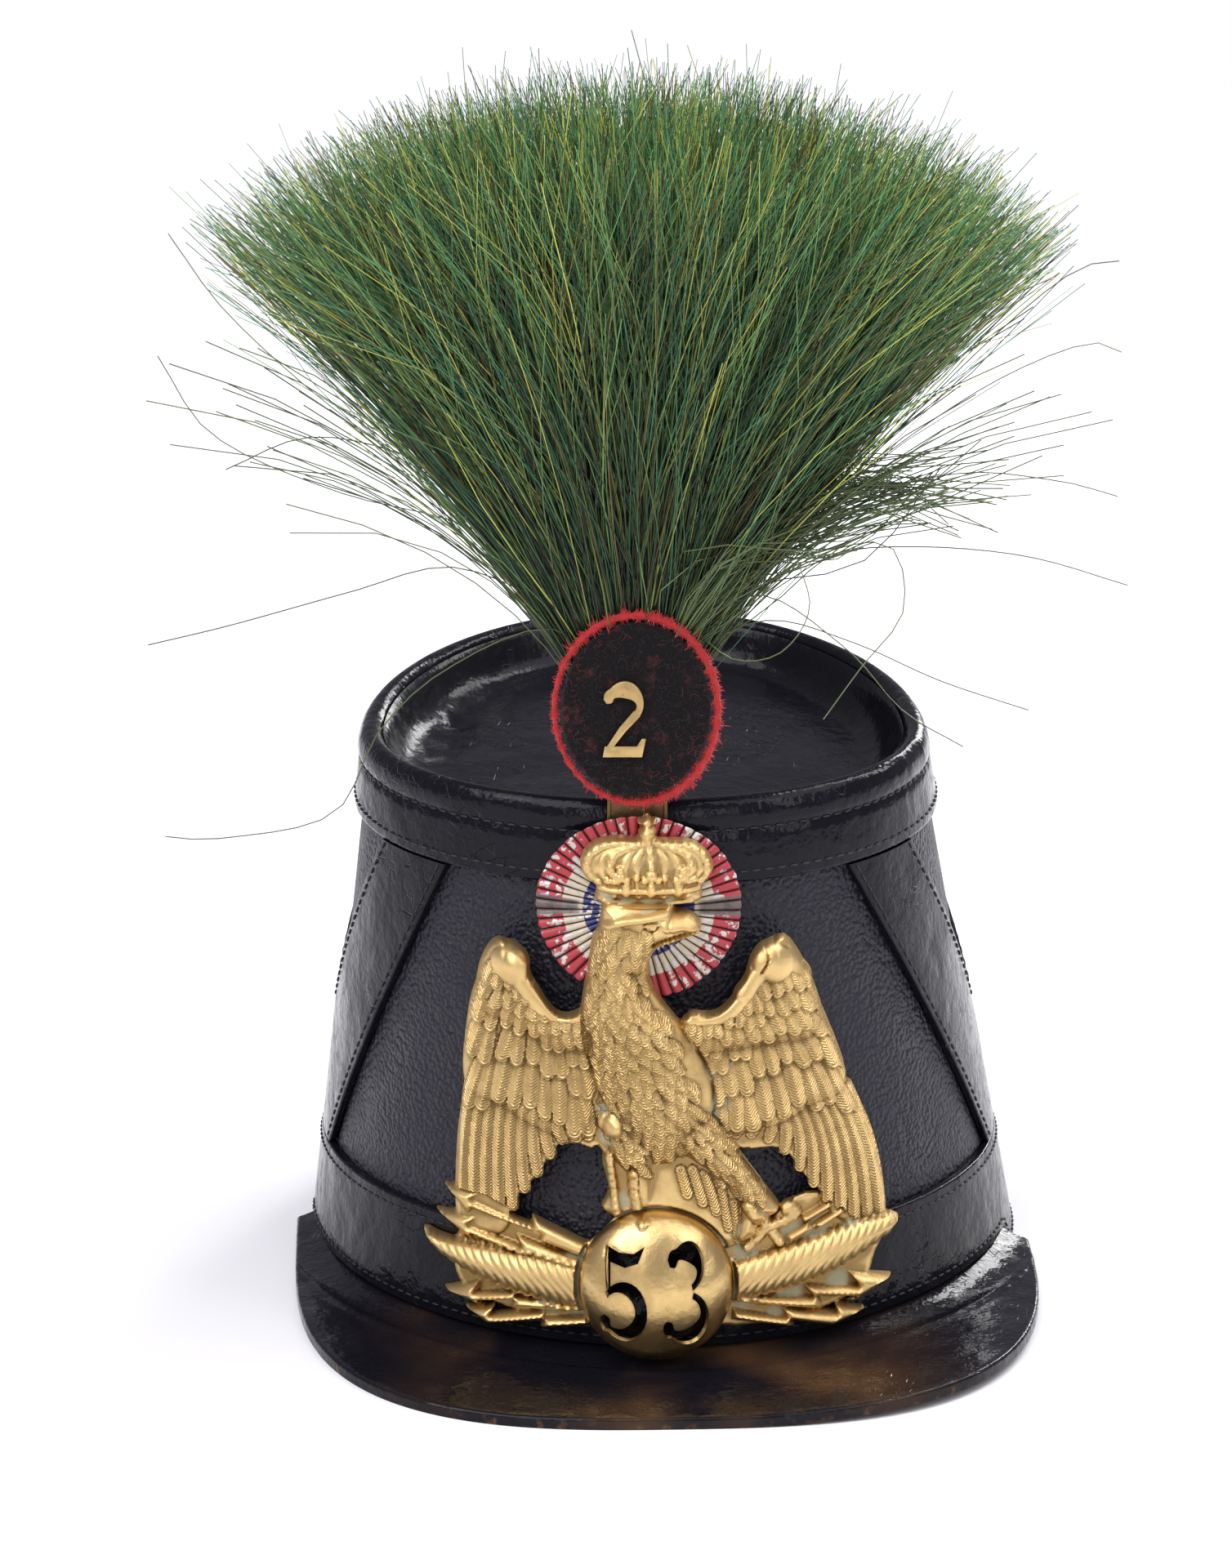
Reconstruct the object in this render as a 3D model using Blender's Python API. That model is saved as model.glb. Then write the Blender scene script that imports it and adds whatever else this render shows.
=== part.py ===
"""Military shako of black leather.

A tapering oval tube stands on its open base and leans forward to a tilted rim.
It carries a sunken top panel, two bands, a V of strips on each side, a flat peak,
a pleated cockade, a stamped brass eagle plate with a pierced number ball, and a
horsehair plume behind an oval disc. All sizes are in metres. The front faces -Y,
Z is up, and the origin is the centre of the head opening.
"""
import math

import bpy
from mathutils import Vector
from mathutils.geometry import delaunay_2d_cdt

# Clearance between two pieces that touch on the real hat
GAP = 0.0003

# Body: two half ovals at the base and two at the rim, joined by straight walls
BASE_WIDTH = 0.1628
BASE_FRONT = 0.0999
BASE_BACK = 0.0999
RIM_WIDTH = 0.1232
RIM_FRONT = 0.054
RIM_BACK = 0.074
RIM_CENTRE_Y = -0.038
RIM_LEAN = -0.0049
RIM_HEIGHT = 0.126
RIM_TILT = math.radians(6.0)
RIM_SADDLE = 0.0015
BODY_WALL = 0.0022
RING_COLUMNS = 60
WALL_ROWS = 4

# Top panel: a dish with an upstand inside the body's wall
PANEL_THICKNESS = 0.0012
PANEL_DEPTH = 0.0092
PANEL_COVE = 0.0048
PANEL_CROWN = 0.0008

# Bands round the rim and the base
BAND_THICKNESS = 0.0018
TOP_BAND_HEIGHT = 0.0168
TOP_BAND_RETURN = 0.0032
TOP_BAND_ROLL = 0.0015
BOTTOM_BAND_HEIGHT = 0.0295

# Slanting strips that make a V on each side, as turns from the front
STRIP_THICKNESS = 0.0015
STRIP_CLEARANCE = 0.0005
STRIP_TOP_OUTER = math.radians(42.0)
STRIP_TOP_INNER = math.radians(63.0)
STRIP_FOOT_OUTER = math.radians(76.0)
STRIP_MIDDLE = math.radians(90.0)
STRIP_CROTCH = 0.36
STRIP_REAR_SPREAD = 1.3
STRIP_COLUMNS = 4
STRIP_LEVELS = 9

# Peak: a flat sheet with a rounded outline, sewn under the bottom band
PEAK_THICKNESS = 0.0026
PEAK_REACH = 0.137
PEAK_HALF_WIDTH = 0.0855
PEAK_SHOULDER_Y = -0.020
PEAK_SQUARENESS = 3.0
PEAK_CENTRE_X = -0.0015
PEAK_TURN = math.radians(2.5)
PEAK_LEFT_END = math.radians(-86.0)
PEAK_RIGHT_END = math.radians(75.0)
PEAK_SEAM_RISE = 0.0026
PEAK_COVE = 0.010
PEAK_RIGHT_LIFT = 0.0020

# Plume holder: a brass channel that goes down behind the cockade
HOLDER_X = -0.0065
HOLDER_WIDTH = 0.0130
HOLDER_THICKNESS = 0.0008
HOLDER_FLANGE = 0.0012
HOLDER_DROP = 0.0270
HOLDER_RISE = 0.0240

# Eagle plate: stamped sheet, its outlines are percent of its height
PLATE_HEIGHT = 0.1180
PLATE_BOTTOM_Z = 0.0080
PLATE_THICKNESS = 0.0010
PLATE_GRID = 0.0032
PLATE_EDGE_STEP = 0.0032
PLATE_BACK_GRID = 0.0085
PLATE_BEVEL = 0.0010
PLATE_CLEARANCE = 0.0005
PLATE_RELIEF = 0.0080

# Cockade: a pleated tin oval behind the plate's crown, which stands a little above it
COCKADE_X = -0.0062
COCKADE_WIDTH = 0.0446
COCKADE_HEIGHT = 0.0405
CROWN_OVER_COCKADE = 0.00055
COCKADE_Z = PLATE_BOTTOM_Z + PLATE_HEIGHT - CROWN_OVER_COCKADE - COCKADE_HEIGHT / 2.0
COCKADE_THICKNESS = 0.0009
COCKADE_PLEAT = 0.0005
COCKADE_PLEATS = 54

# Number ball: a dome with two pierced digits
BALL_X = -0.0023
BALL_Z = 0.0212
BALL_RADIUS = 0.0170
BALL_DEPTH = 0.0098
BALL_THICKNESS = 0.0008
BALL_COLUMNS = 28
BALL_RINGS = 5
BALL_GROUND = 0.0012
BALL_MARGIN = 0.0025
BALL_LAP = 0.0025
DIGIT_HEIGHT = 0.0215
DIGIT_WIDTH = 0.0120
DIGIT_SPACING = 0.0138

# Felt disc over the plate's crown, its chenille edging and its brass number
DISC_X = -0.0068
DISC_WIDTH = 0.0374
DISC_HEIGHT = 0.0436
DISC_CLEARANCE = 0.0013
DISC_Z = PLATE_BOTTOM_Z + PLATE_HEIGHT + DISC_CLEARANCE + DISC_HEIGHT / 2.0
DISC_THICKNESS = 0.0030
DISC_COLUMNS = 36
EDGING_RADIUS = 0.0012
EDGING_SIDES = 6
NUMBER_HEIGHT = 0.0155
NUMBER_WIDTH = 0.0105
NUMBER_THICKNESS = 0.0008
NUMBER_X = -0.0025
NUMBER_Z = -0.0022

# Plume: hairs of one length that leave a bound neck and fan out
PLUME_NECK_RISE = 0.0067
PLUME_NECK_Z = DISC_Z - DISC_HEIGHT / 2.0 + PLUME_NECK_RISE
PLUME_LENGTH = 0.1500
PLUME_NECK_WIDTH = 0.0075
PLUME_NECK_DEPTH = 0.0048
PLUME_SIDE_FAN = math.radians(38.0)
PLUME_FRONT_FAN = math.radians(17.0)
PLUME_BACK_FAN = math.radians(22.0)
PLUME_LOCKS = 14
PLUME_LOCK_RELIEF = 0.07


def clear_scene():
    """Remove every object of the open file."""
    for item in list(bpy.data.objects):
        bpy.data.objects.remove(item)


def make_material(name, colour, roughness, metallic=0.0):
    """One Principled material."""
    material = bpy.data.materials.new(name)
    material.use_nodes = True
    shader = material.node_tree.nodes["Principled BSDF"]
    shader.inputs["Base Color"].default_value = (*colour, 1.0)
    shader.inputs["Roughness"].default_value = roughness
    shader.inputs["Metallic"].default_value = metallic
    return material


def signed_volume(verts, faces):
    """Six times the volume inside the faces, negative when they point inwards."""
    total = 0.0
    for face in faces:
        first = Vector(verts[face[0]])
        for second, third in zip(face[1:-1], face[2:]):
            total += first.dot(Vector(verts[second]).cross(Vector(verts[third])))
    return total


def make_object(name, verts, faces, material):
    """A mesh object whose faces point outwards."""
    if signed_volume(verts, faces) < 0.0:
        faces = [tuple(reversed(face)) for face in faces]
    mesh = bpy.data.meshes.new(name)
    mesh.from_pydata([tuple(vert) for vert in verts], [], faces)
    mesh.materials.append(material)
    mesh.shade_smooth()
    mesh.set_sharp_from_angle(angle=math.radians(35.0))
    item = bpy.data.objects.new(name, mesh)
    bpy.context.collection.objects.link(item)
    return item


def make_skin(name, rows, material, closed=False, capped=False):
    """A solid through rows of points: a row of one point is a pole."""
    verts = []
    starts = []
    for row in rows:
        starts.append(len(verts))
        verts.extend(row)
    faces = []
    pairs = list(zip(range(len(rows) - 1), range(1, len(rows))))
    if closed:
        pairs.append((len(rows) - 1, 0))
    for low, high in pairs:
        count = max(len(rows[low]), len(rows[high]))
        for column in range(count):
            after = (column + 1) % count
            if len(rows[low]) == 1:
                faces.append((starts[low], starts[high] + after, starts[high] + column))
            elif len(rows[high]) == 1:
                faces.append((starts[low] + column, starts[low] + after, starts[high]))
            else:
                corners = (starts[low] + column, starts[low] + after)
                faces.append((*corners, starts[high] + after))
                faces.append((corners[0], starts[high] + after, starts[high] + column))
    if capped:
        faces.append(tuple(reversed(range(len(rows[0])))))
        faces.append(tuple(range(starts[-1], starts[-1] + len(rows[-1]))))
    return make_object(name, verts, faces, material)


def border_edges(faces):
    """Directed edges that only one face uses."""
    used = {(a, b) for face in faces for a, b in zip(face, face[1:] + face[:1])}
    return [(a, b) for a, b in used if (b, a) not in used]


def make_sheet(name, flat, faces, front, back, material):
    """A solid between two surfaces over the same flat mesh."""
    count = len(flat)
    verts = [front(*point) for point in flat] + [back(*point) for point in flat]
    solid = [tuple(face) for face in faces]
    solid += [tuple(index + count for index in reversed(face)) for face in faces]
    for a, b in border_edges([tuple(face) for face in faces]):
        solid += [(b, a, a + count), (b, a + count, b + count)]
    return make_object(name, verts, solid, material)


def add_cut(item, cutter):
    """Cut one object out of another."""
    cutter.hide_render = True
    cutter.display_type = "WIRE"
    cut = item.modifiers.new("cut", "BOOLEAN")
    cut.operation = "DIFFERENCE"
    cut.solver = "EXACT"
    cut.object = cutter


def mix(low, high, share):
    """The value at a share of the way from low to high."""
    return low + (high - low) * share


def smooth_step(value, low, high):
    """0 below low, 1 above high, with a soft ramp between."""
    share = min(max((value - low) / (high - low), 0.0), 1.0)
    return share * share * (3.0 - 2.0 * share)


def turns(count, start=0.0):
    """Angles of one full turn."""
    return [start + 2.0 * math.pi * index / count for index in range(count)]


# Surface of the body


def rim_height(theta):
    """Height of the rim above the base at a turn from the front."""
    reach = RIM_FRONT if math.cos(theta) > 0.0 else RIM_BACK
    back = RIM_FRONT - reach * math.cos(theta)
    return RIM_HEIGHT + back * math.tan(RIM_TILT) - RIM_SADDLE * math.sin(theta) ** 2


def oval_sizes(theta, share):
    """Half width, front or back reach, and centre of the oval at a share of the height."""
    front = math.cos(theta) > 0.0
    half_width = mix(BASE_WIDTH, RIM_WIDTH, share) / 2.0
    reach = mix(BASE_FRONT, RIM_FRONT, share) if front else mix(BASE_BACK, RIM_BACK, share)
    return half_width, reach, RIM_LEAN * share, RIM_CENTRE_Y * share


def wall_point(theta, height, offset=0.0):
    """A point of the body's outer face, moved outwards level by an offset."""
    half_width, reach, centre_x, centre_y = oval_sizes(theta, height / rim_height(theta))
    sine = math.sin(theta)
    cosine = math.cos(theta)
    outward = Vector((reach * sine, -half_width * cosine, 0.0)).normalized()
    point = Vector((centre_x + half_width * sine, centre_y - reach * cosine, height))
    return point + outward * offset


def front_point(x, z, offset):
    """A point in front of the body that is seen at x and z from the front."""
    theta = 0.0
    shift = 0.0
    for _ in range(6):
        half_width, _, centre_x, _ = oval_sizes(theta, z / rim_height(theta))
        sine = (x - shift - centre_x) / half_width
        theta = math.asin(min(max(sine, -0.98), 0.98))
        shift = wall_point(theta, z, offset).x - wall_point(theta, z).x
    return wall_point(theta, z, offset)


def make_wall_ring(name, profile, material):
    """A closed ring whose section is a list of heights and offsets at each turn."""
    rows = [[wall_point(theta, *point) for point in profile(theta)]
            for theta in turns(RING_COLUMNS)]
    return make_skin(name, rows, material, closed=True)


# Leather pieces


def make_body(leather):
    """The open tube that goes round the head."""
    def profile(theta):
        top = rim_height(theta)
        outside = [(top * row / WALL_ROWS, 0.0) for row in range(WALL_ROWS + 1)]
        return outside + [(top, -BODY_WALL), (0.0, -BODY_WALL)]
    return make_wall_ring("body", profile, leather)


def upstand_offset():
    """Offset of the outer face of the top panel's upstand."""
    return -(BODY_WALL + GAP)


def make_top_panel(leather):
    """The sunken crown: an upstand, a cove and a slightly crowned floor."""
    outer = upstand_offset()
    inner = outer - PANEL_THICKNESS
    angles = turns(RING_COLUMNS)

    def ring(depth, offset):
        return [wall_point(theta, rim_height(theta) - depth, offset) for theta in angles]

    def centre(depth):
        points = ring(depth, inner)
        return sum(points, Vector()) / len(points)

    def floor_ring(share, depth):
        middle = centre(depth)
        lift = Vector((0.0, 0.0, PANEL_CROWN * (1.0 - share)))
        return [middle.lerp(point, share) + lift for point in ring(depth, inner - PANEL_COVE)]

    under = PANEL_DEPTH + PANEL_THICKNESS
    crown = Vector((0.0, 0.0, PANEL_CROWN))
    rows = [
        [centre(PANEL_DEPTH) + crown],
        floor_ring(1.0, PANEL_DEPTH),
        ring(PANEL_DEPTH - 0.25 * PANEL_COVE, inner - 0.35 * PANEL_COVE),
        ring(PANEL_DEPTH - PANEL_COVE, inner),
        ring(0.0, inner),
        ring(0.0, outer),
        ring(under - 0.5 * PANEL_COVE, outer),
        floor_ring(1.0, under),
        [centre(under) + crown],
    ]
    return make_skin("top_panel", rows, leather)


def make_top_band(leather):
    """The band round the rim, rolled over the wall and the upstand."""
    outer = GAP + BAND_THICKNESS
    inner = upstand_offset() - PANEL_THICKNESS - GAP
    lip = inner - PANEL_THICKNESS

    def profile(theta):
        top = rim_height(theta)
        crest = top + GAP + TOP_BAND_ROLL
        return [
            (top - TOP_BAND_HEIGHT, GAP),
            (top - TOP_BAND_HEIGHT, outer),
            (top - 0.5 * TOP_BAND_ROLL, outer),
            (crest, 0.0),
            (crest, inner),
            (top - TOP_BAND_RETURN, lip),
            (top - TOP_BAND_RETURN, inner),
            (top + GAP, inner),
            (top + GAP, GAP),
        ]
    return make_wall_ring("top_band", profile, leather)


def peak_lift(x):
    """How far the peak's right side stands up."""
    return PEAK_RIGHT_LIFT * smooth_step(x, 0.1 * PEAK_HALF_WIDTH, 0.8 * PEAK_HALF_WIDTH)


def peak_seam_height(theta):
    """Height of the peak's upper face where it meets the body."""
    x = wall_point(theta, 0.0).x
    return PEAK_THICKNESS + PEAK_SEAM_RISE + peak_lift(x)


def over_peak(theta):
    """Whether the peak, or one more column, lies under a turn from the front."""
    angle = (theta + math.pi) % (2.0 * math.pi) - math.pi
    margin = 2.0 * math.pi / RING_COLUMNS
    return PEAK_LEFT_END - margin < angle < PEAK_RIGHT_END + margin


def make_bottom_band(leather):
    """The band round the base, which sits on the peak in front."""
    outer = GAP + BAND_THICKNESS

    def profile(theta):
        low = peak_seam_height(theta) + GAP if over_peak(theta) else 0.0
        top = BOTTOM_BAND_HEIGHT
        return [(low, GAP), (low, outer), (top, outer), (top, GAP)]
    return make_wall_ring("bottom_band", profile, leather)


def make_side_strip(name, side, leather):
    """A V of strip on one side: two arms that meet over the bottom band."""
    foot = BOTTOM_BAND_HEIGHT + GAP
    arm = STRIP_COLUMNS + 1
    flat = []
    merged = []
    for level in range(STRIP_LEVELS + 1):
        share = level / STRIP_LEVELS
        outer = mix(STRIP_FOOT_OUTER, STRIP_TOP_OUTER, share)
        rise = max(share - STRIP_CROTCH, 0.0) / (1.0 - STRIP_CROTCH)
        inner = mix(STRIP_MIDDLE, STRIP_TOP_INNER, rise)
        front_arm = [mix(outer, inner, column / STRIP_COLUMNS) for column in range(arm)]
        rear_arm = [STRIP_MIDDLE + (STRIP_MIDDLE - theta) * STRIP_REAR_SPREAD
                    for theta in reversed(front_arm)]
        flat += [(theta, share) for theta in front_arm + rear_arm]
        merged.append(rise == 0.0)
    faces = []
    for level in range(STRIP_LEVELS):
        for column in list(range(STRIP_COLUMNS)) + list(range(arm, arm + STRIP_COLUMNS)):
            corner = 2 * arm * level + column
            face = [corner, corner + 1, corner + 1 + 2 * arm, corner + 2 * arm]
            # Where the arms are still one, both middle columns use the same points
            faces.append([index - 1 if index % (2 * arm) == arm and merged[index // (2 * arm)]
                          else index for index in face])
    used = sorted({index for face in faces for index in face})
    place = {index: order for order, index in enumerate(used)}
    flat = [flat[index] for index in used]
    faces = [tuple(place[index] for index in face) for face in faces]

    def surface(offset):
        def point(theta, share):
            top = rim_height(theta) - TOP_BAND_HEIGHT - GAP
            return wall_point(side * theta, mix(foot, top, share), offset)
        return point
    front = surface(STRIP_CLEARANCE + STRIP_THICKNESS)
    return make_sheet(name, flat, faces, front, surface(STRIP_CLEARANCE), leather)


def peak_edge(angle):
    """The peak's outline at a direction from the origin, on the floor."""
    ahead = Vector((math.sin(angle), -math.cos(angle)))
    turn_sine = math.sin(PEAK_TURN)
    turn_cosine = math.cos(PEAK_TURN)
    reach = PEAK_REACH + PEAK_SHOULDER_Y

    def inside(distance):
        x, y = ahead * distance
        local_x = x * turn_cosine + y * turn_sine - PEAK_CENTRE_X
        local_y = y * turn_cosine - x * turn_sine
        forward = max(PEAK_SHOULDER_Y - local_y, 0.0) / reach
        across = abs(local_x) / PEAK_HALF_WIDTH
        return across ** PEAK_SQUARENESS + forward ** PEAK_SQUARENESS < 1.0

    low = 0.0
    high = 2.0 * PEAK_REACH
    for _ in range(30):
        middle = (low + high) / 2.0
        low, high = (middle, high) if inside(middle) else (low, middle)
    return ahead * low


def make_peak(leather):
    """The flat peak, with a cove along its seam."""
    columns = 36
    rows = []
    for column in range(columns + 1):
        theta = mix(PEAK_LEFT_END, PEAK_RIGHT_END, column / columns)
        seam = wall_point(theta, 0.0, GAP)
        edge = peak_edge(math.atan2(seam.x, -seam.y)).to_3d()
        width = (edge - seam).length
        seam_height = peak_seam_height(theta)
        top = []
        bottom = []
        for share in (0.0, min(0.4 * PEAK_COVE / width, 0.4), min(PEAK_COVE / width, 0.8), 1.0):
            place = seam.lerp(edge, share)
            cove = (1.0 - min(share * width / PEAK_COVE, 1.0)) ** 2
            lift = peak_lift(place.x)
            level = mix(lift, seam_height - PEAK_THICKNESS, cove)
            top.append(place + Vector((0.0, 0.0, level + PEAK_THICKNESS)))
            bottom.append(place + Vector((0.0, 0.0, level)))
        rows.append(top + bottom[::-1])
    return make_skin("peak", rows, leather, capped=True)


# Front ornaments


def holder_offset():
    """Offset of the plume holder's back, in front of the top band."""
    return GAP + BAND_THICKNESS + GAP


def holder_y():
    """The y of the holder's back above the rim."""
    return front_point(HOLDER_X, RIM_HEIGHT, holder_offset()).y


def make_plume_holder(brass):
    """A channel with two flanges, from behind the cockade up to the disc."""
    half = HOLDER_WIDTH / 2.0
    lip = HOLDER_THICKNESS
    section = [
        (-half, 0.0), (half, 0.0), (half, HOLDER_FLANGE), (half - lip, HOLDER_FLANGE),
        (half - lip, lip), (lip - half, lip), (lip - half, HOLDER_FLANGE), (-half, HOLDER_FLANGE),
    ]
    rows = []
    for share in (0.0, 0.5, 1.0):
        z = RIM_HEIGHT - HOLDER_DROP * (1.0 - share)
        rows.append([front_point(HOLDER_X + x, z, holder_offset() + depth) for x, depth in section])
    rise = Vector((0.0, 0.0, HOLDER_RISE))
    rows.append([point + rise for point in rows[-1]])
    return make_skin("plume_holder", rows, brass, capped=True)


def cockade_offset():
    """Offset of the cockade's back, in front of the holder's flanges."""
    return holder_offset() + HOLDER_FLANGE + GAP + COCKADE_PLEAT


def cockade_point(angle, share, offset):
    """A point of the cockade, at a share of its radius."""
    x = COCKADE_X + share * COCKADE_WIDTH / 2.0 * math.sin(angle)
    z = COCKADE_Z + share * COCKADE_HEIGHT / 2.0 * math.cos(angle)
    return front_point(x, z, cockade_offset() + offset)


def make_cockade(tin):
    """The pleated rosette: radial folds that die out at the centre."""
    angles = turns(2 * COCKADE_PLEATS)

    def ring(share, offset):
        fold = COCKADE_PLEAT * share
        return [cockade_point(angle, share, offset + (fold if index % 2 else -fold))
                for index, angle in enumerate(angles)]

    rows = [[cockade_point(0.0, 0.0, COCKADE_THICKNESS)]]
    rows += [ring(share, COCKADE_THICKNESS) for share in (0.45, 1.0)]
    rows += [ring(share, 0.0) for share in (0.99, 0.5)]
    rows.append([cockade_point(0.0, 0.0, 0.0)])
    return make_skin("cockade", rows, tin)


# Eagle plate
# An outline's points are (x, z) in percent of the plate's height, x from the hat's
# middle plane and z from the plate's lowest point. Mirrored parts have tables of their
# own, because the real bird looks to one side.

LEFT_WING = [
    (-13.5, 63.5), (-20.0, 62.5), (-25.0, 69.0), (-27.8, 73.5), (-30.5, 75.5), (-33.5, 73.0),
    (-35.5, 66.5), (-37.2, 60.0), (-38.3, 49.5), (-39.0, 34.0), (-39.5, 22.0), (-38.8, 16.0),
    (-34.0, 17.0), (-30.0, 18.5), (-27.0, 25.0), (-23.0, 30.0), (-18.8, 36.3), (-12.0, 37.5),
]
RIGHT_WING = [
    (3.0, 62.5), (9.5, 63.5), (15.0, 69.5), (18.0, 74.0), (21.5, 76.3), (25.5, 70.5),
    (29.5, 61.0), (33.5, 47.5), (37.5, 36.0), (41.0, 25.0), (42.0, 20.5), (41.0, 16.8),
    (36.0, 18.0), (31.6, 20.5), (27.5, 26.0), (24.5, 29.5), (20.5, 34.5), (10.0, 38.0),
]
LEFT_COVERTS = [
    (-13.0, 63.0), (-20.0, 62.0), (-25.0, 68.5), (-30.5, 74.5), (-35.0, 66.5), (-37.0, 59.0),
    (-37.6, 46.0), (-31.0, 43.0), (-24.0, 39.5), (-15.0, 38.5),
]
RIGHT_COVERTS = [
    (3.5, 62.0), (9.5, 63.0), (15.5, 69.5), (21.5, 75.3), (29.0, 60.5), (33.5, 46.0),
    (27.0, 43.0), (20.0, 40.0), (9.0, 41.0),
]
LEFT_ARM = [
    (-13.5, 63.5), (-20.0, 62.5), (-25.0, 69.0), (-30.5, 75.5), (-34.5, 70.0), (-35.0, 61.5),
    (-29.0, 58.5), (-20.0, 55.0), (-13.5, 56.0),
]
RIGHT_ARM = [
    (3.0, 62.5), (9.5, 63.5), (15.0, 69.5), (21.5, 76.3), (28.5, 62.0), (27.0, 56.0),
    (19.0, 55.5), (10.0, 55.0), (4.0, 56.0),
]
BODY = [
    (-11.0, 80.0), (-13.6, 77.5), (-14.6, 71.5), (-15.6, 66.0), (-15.8, 60.0), (-14.4, 53.0),
    (-12.0, 46.0), (-8.0, 38.5), (-2.0, 34.0), (4.0, 36.5), (8.0, 42.0), (9.0, 47.0),
    (7.5, 53.0), (3.5, 60.0), (-1.4, 66.5), (-3.2, 70.0), (-3.2, 73.5), (-2.0, 77.0),
]
HEAD = [
    (-13.0, 78.0), (-11.5, 81.0), (-8.0, 82.3), (-1.0, 82.2), (3.0, 81.6), (5.6, 80.0),
    (5.8, 78.3), (3.6, 78.6), (0.0, 77.4), (-3.0, 75.5), (-8.0, 74.0), (-12.5, 75.0),
]
CROWN = [
    (-10.4, 80.5), (-12.3, 85.8), (-15.7, 91.0), (-15.3, 93.6), (-12.6, 95.4), (-6.2, 96.2),
    (-5.6, 98.0), (-5.4, 100.0), (-2.2, 100.0), (-2.0, 98.0), (-1.4, 96.2), (4.6, 95.0),
    (7.4, 92.6), (8.3, 89.8), (6.2, 85.8), (3.8, 80.5),
]
LEFT_LEG = [
    (-11.5, 43.5), (-10.8, 36.0), (-7.5, 31.5), (-7.0, 24.0), (-3.5, 24.0), (-2.5, 31.0),
    (-1.5, 39.5), (-5.0, 45.5),
]
RIGHT_LEG = [
    (1.0, 44.5), (-0.5, 38.5), (6.0, 33.5), (13.0, 27.5), (13.0, 19.0), (16.5, 19.5),
    (17.5, 22.0), (21.0, 24.0), (18.0, 29.0), (12.5, 37.0), (8.5, 43.5),
]
TAIL = [(-1.0, 36.0), (3.0, 25.0), (8.0, 18.0), (13.5, 18.5), (12.0, 27.0), (6.0, 38.0)]
LEFT_WEB = [
    (-39.0, 27.0), (-38.5, 18.0), (-40.0, 12.0), (-36.0, 5.0), (-13.0, 3.0), (-8.0, 12.0),
    (-8.0, 24.0), (-16.0, 17.5), (-28.0, 21.5),
]
RIGHT_WEB = [
    (41.0, 19.0), (39.5, 12.0), (34.0, 4.5), (10.0, 2.5), (5.0, 12.0), (6.0, 24.0),
    (15.0, 18.5), (26.0, 26.0),
]

# Twisted bundles: x, z and half width of stations from the ball to the tip
LEFT_BUNDLE = [
    (-12.0, 8.5, 3.6), (-21.0, 9.5, 3.8), (-30.0, 12.0, 3.4), (-38.0, 15.0, 2.6), (-44.0, 18.0, 1.0),
]
RIGHT_BUNDLE = [
    (10.0, 8.8, 3.6), (19.0, 9.6, 4.0), (28.0, 12.0, 3.8), (36.0, 15.5, 3.0), (41.5, 19.5, 1.3),
]

# Thunderbolts: root x and z, tip x and z
BOLTS = [
    (-14.0, 15.5, -41.6, 25.2),
    (-14.0, 12.5, -43.1, 20.0),
    (-14.0, 6.5, -41.8, 4.4),
    (-12.5, 4.2, -37.6, 1.6),
    (12.0, 15.5, 31.0, 24.0),
    (12.0, 6.3, 42.6, 6.8),
    (10.5, 3.8, 37.5, 1.4),
]
# One bolt's outline: share of its length and share of its width, root to tip and back
BOLT_SHAPE = [
    (0.0, 0.5), (0.42, 0.45), (0.36, 1.15), (0.82, 0.3), (0.78, 1.3), (1.0, 0.0),
    (0.72, -1.2), (0.76, -0.4), (0.46, -0.3), (0.5, -0.9), (0.0, -0.5),
]
BOLT_WIDTH = 2.6

# Relief of each part above the plate's flat ground: height at the edge and rise inside
# as shares of PLATE_RELIEF, and in percent how far in that rise is complete
RELIEF = {
    "web": (0.05, 0.0, 1.0),
    "bolt": (0.15, 0.125, 1.2),
    "wing": (0.125, 0.075, 2.0),
    "coverts": (0.225, 0.1, 2.5),
    "arm": (0.3, 0.225, 4.0),
    "tail": (0.15, 0.15, 3.0),
    "bundle": (0.15, 0.375, 3.6),
    "leg": (0.25, 0.35, 4.0),
    "body": (0.325, 0.575, 9.0),
    "head": (0.425, 0.375, 4.0),
    "crown": (0.175, 0.3, 5.0),
}


def bundle_outline(stations):
    """The outline of a tapered bundle from its stations."""
    upper = [(x, z + half) for x, z, half in stations]
    lower = [(x, z - half) for x, z, half in stations]
    return upper + lower[::-1]


def bolt_outline(root_x, root_z, tip_x, tip_z):
    """The outline of one zigzag bolt with its arrowhead."""
    root = Vector((root_x, root_z))
    along = Vector((tip_x, tip_z)) - root
    across = Vector((-along.y, along.x)).normalized() * BOLT_WIDTH / 2.0
    if along.x < 0.0:
        across = -across
    return [tuple(root + along * share + across * width) for share, width in BOLT_SHAPE]


def plate_parts():
    """Every part of the plate: kind of relief and outline in percent."""
    parts = [
        ("web", LEFT_WEB), ("web", RIGHT_WEB), ("wing", LEFT_WING), ("wing", RIGHT_WING),
        ("coverts", LEFT_COVERTS), ("coverts", RIGHT_COVERTS), ("arm", LEFT_ARM),
        ("arm", RIGHT_ARM), ("tail", TAIL), ("leg", LEFT_LEG), ("leg", RIGHT_LEG),
        ("body", BODY), ("head", HEAD), ("crown", CROWN),
        ("bundle", bundle_outline(LEFT_BUNDLE)), ("bundle", bundle_outline(RIGHT_BUNDLE)),
    ]
    return parts + [("bolt", bolt_outline(*row)) for row in BOLTS]


def plate_place(x, z):
    """Metres for a point in percent of the plate's height."""
    unit = PLATE_HEIGHT / 100.0
    return Vector((x * unit, PLATE_BOTTOM_Z + z * unit))


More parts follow.
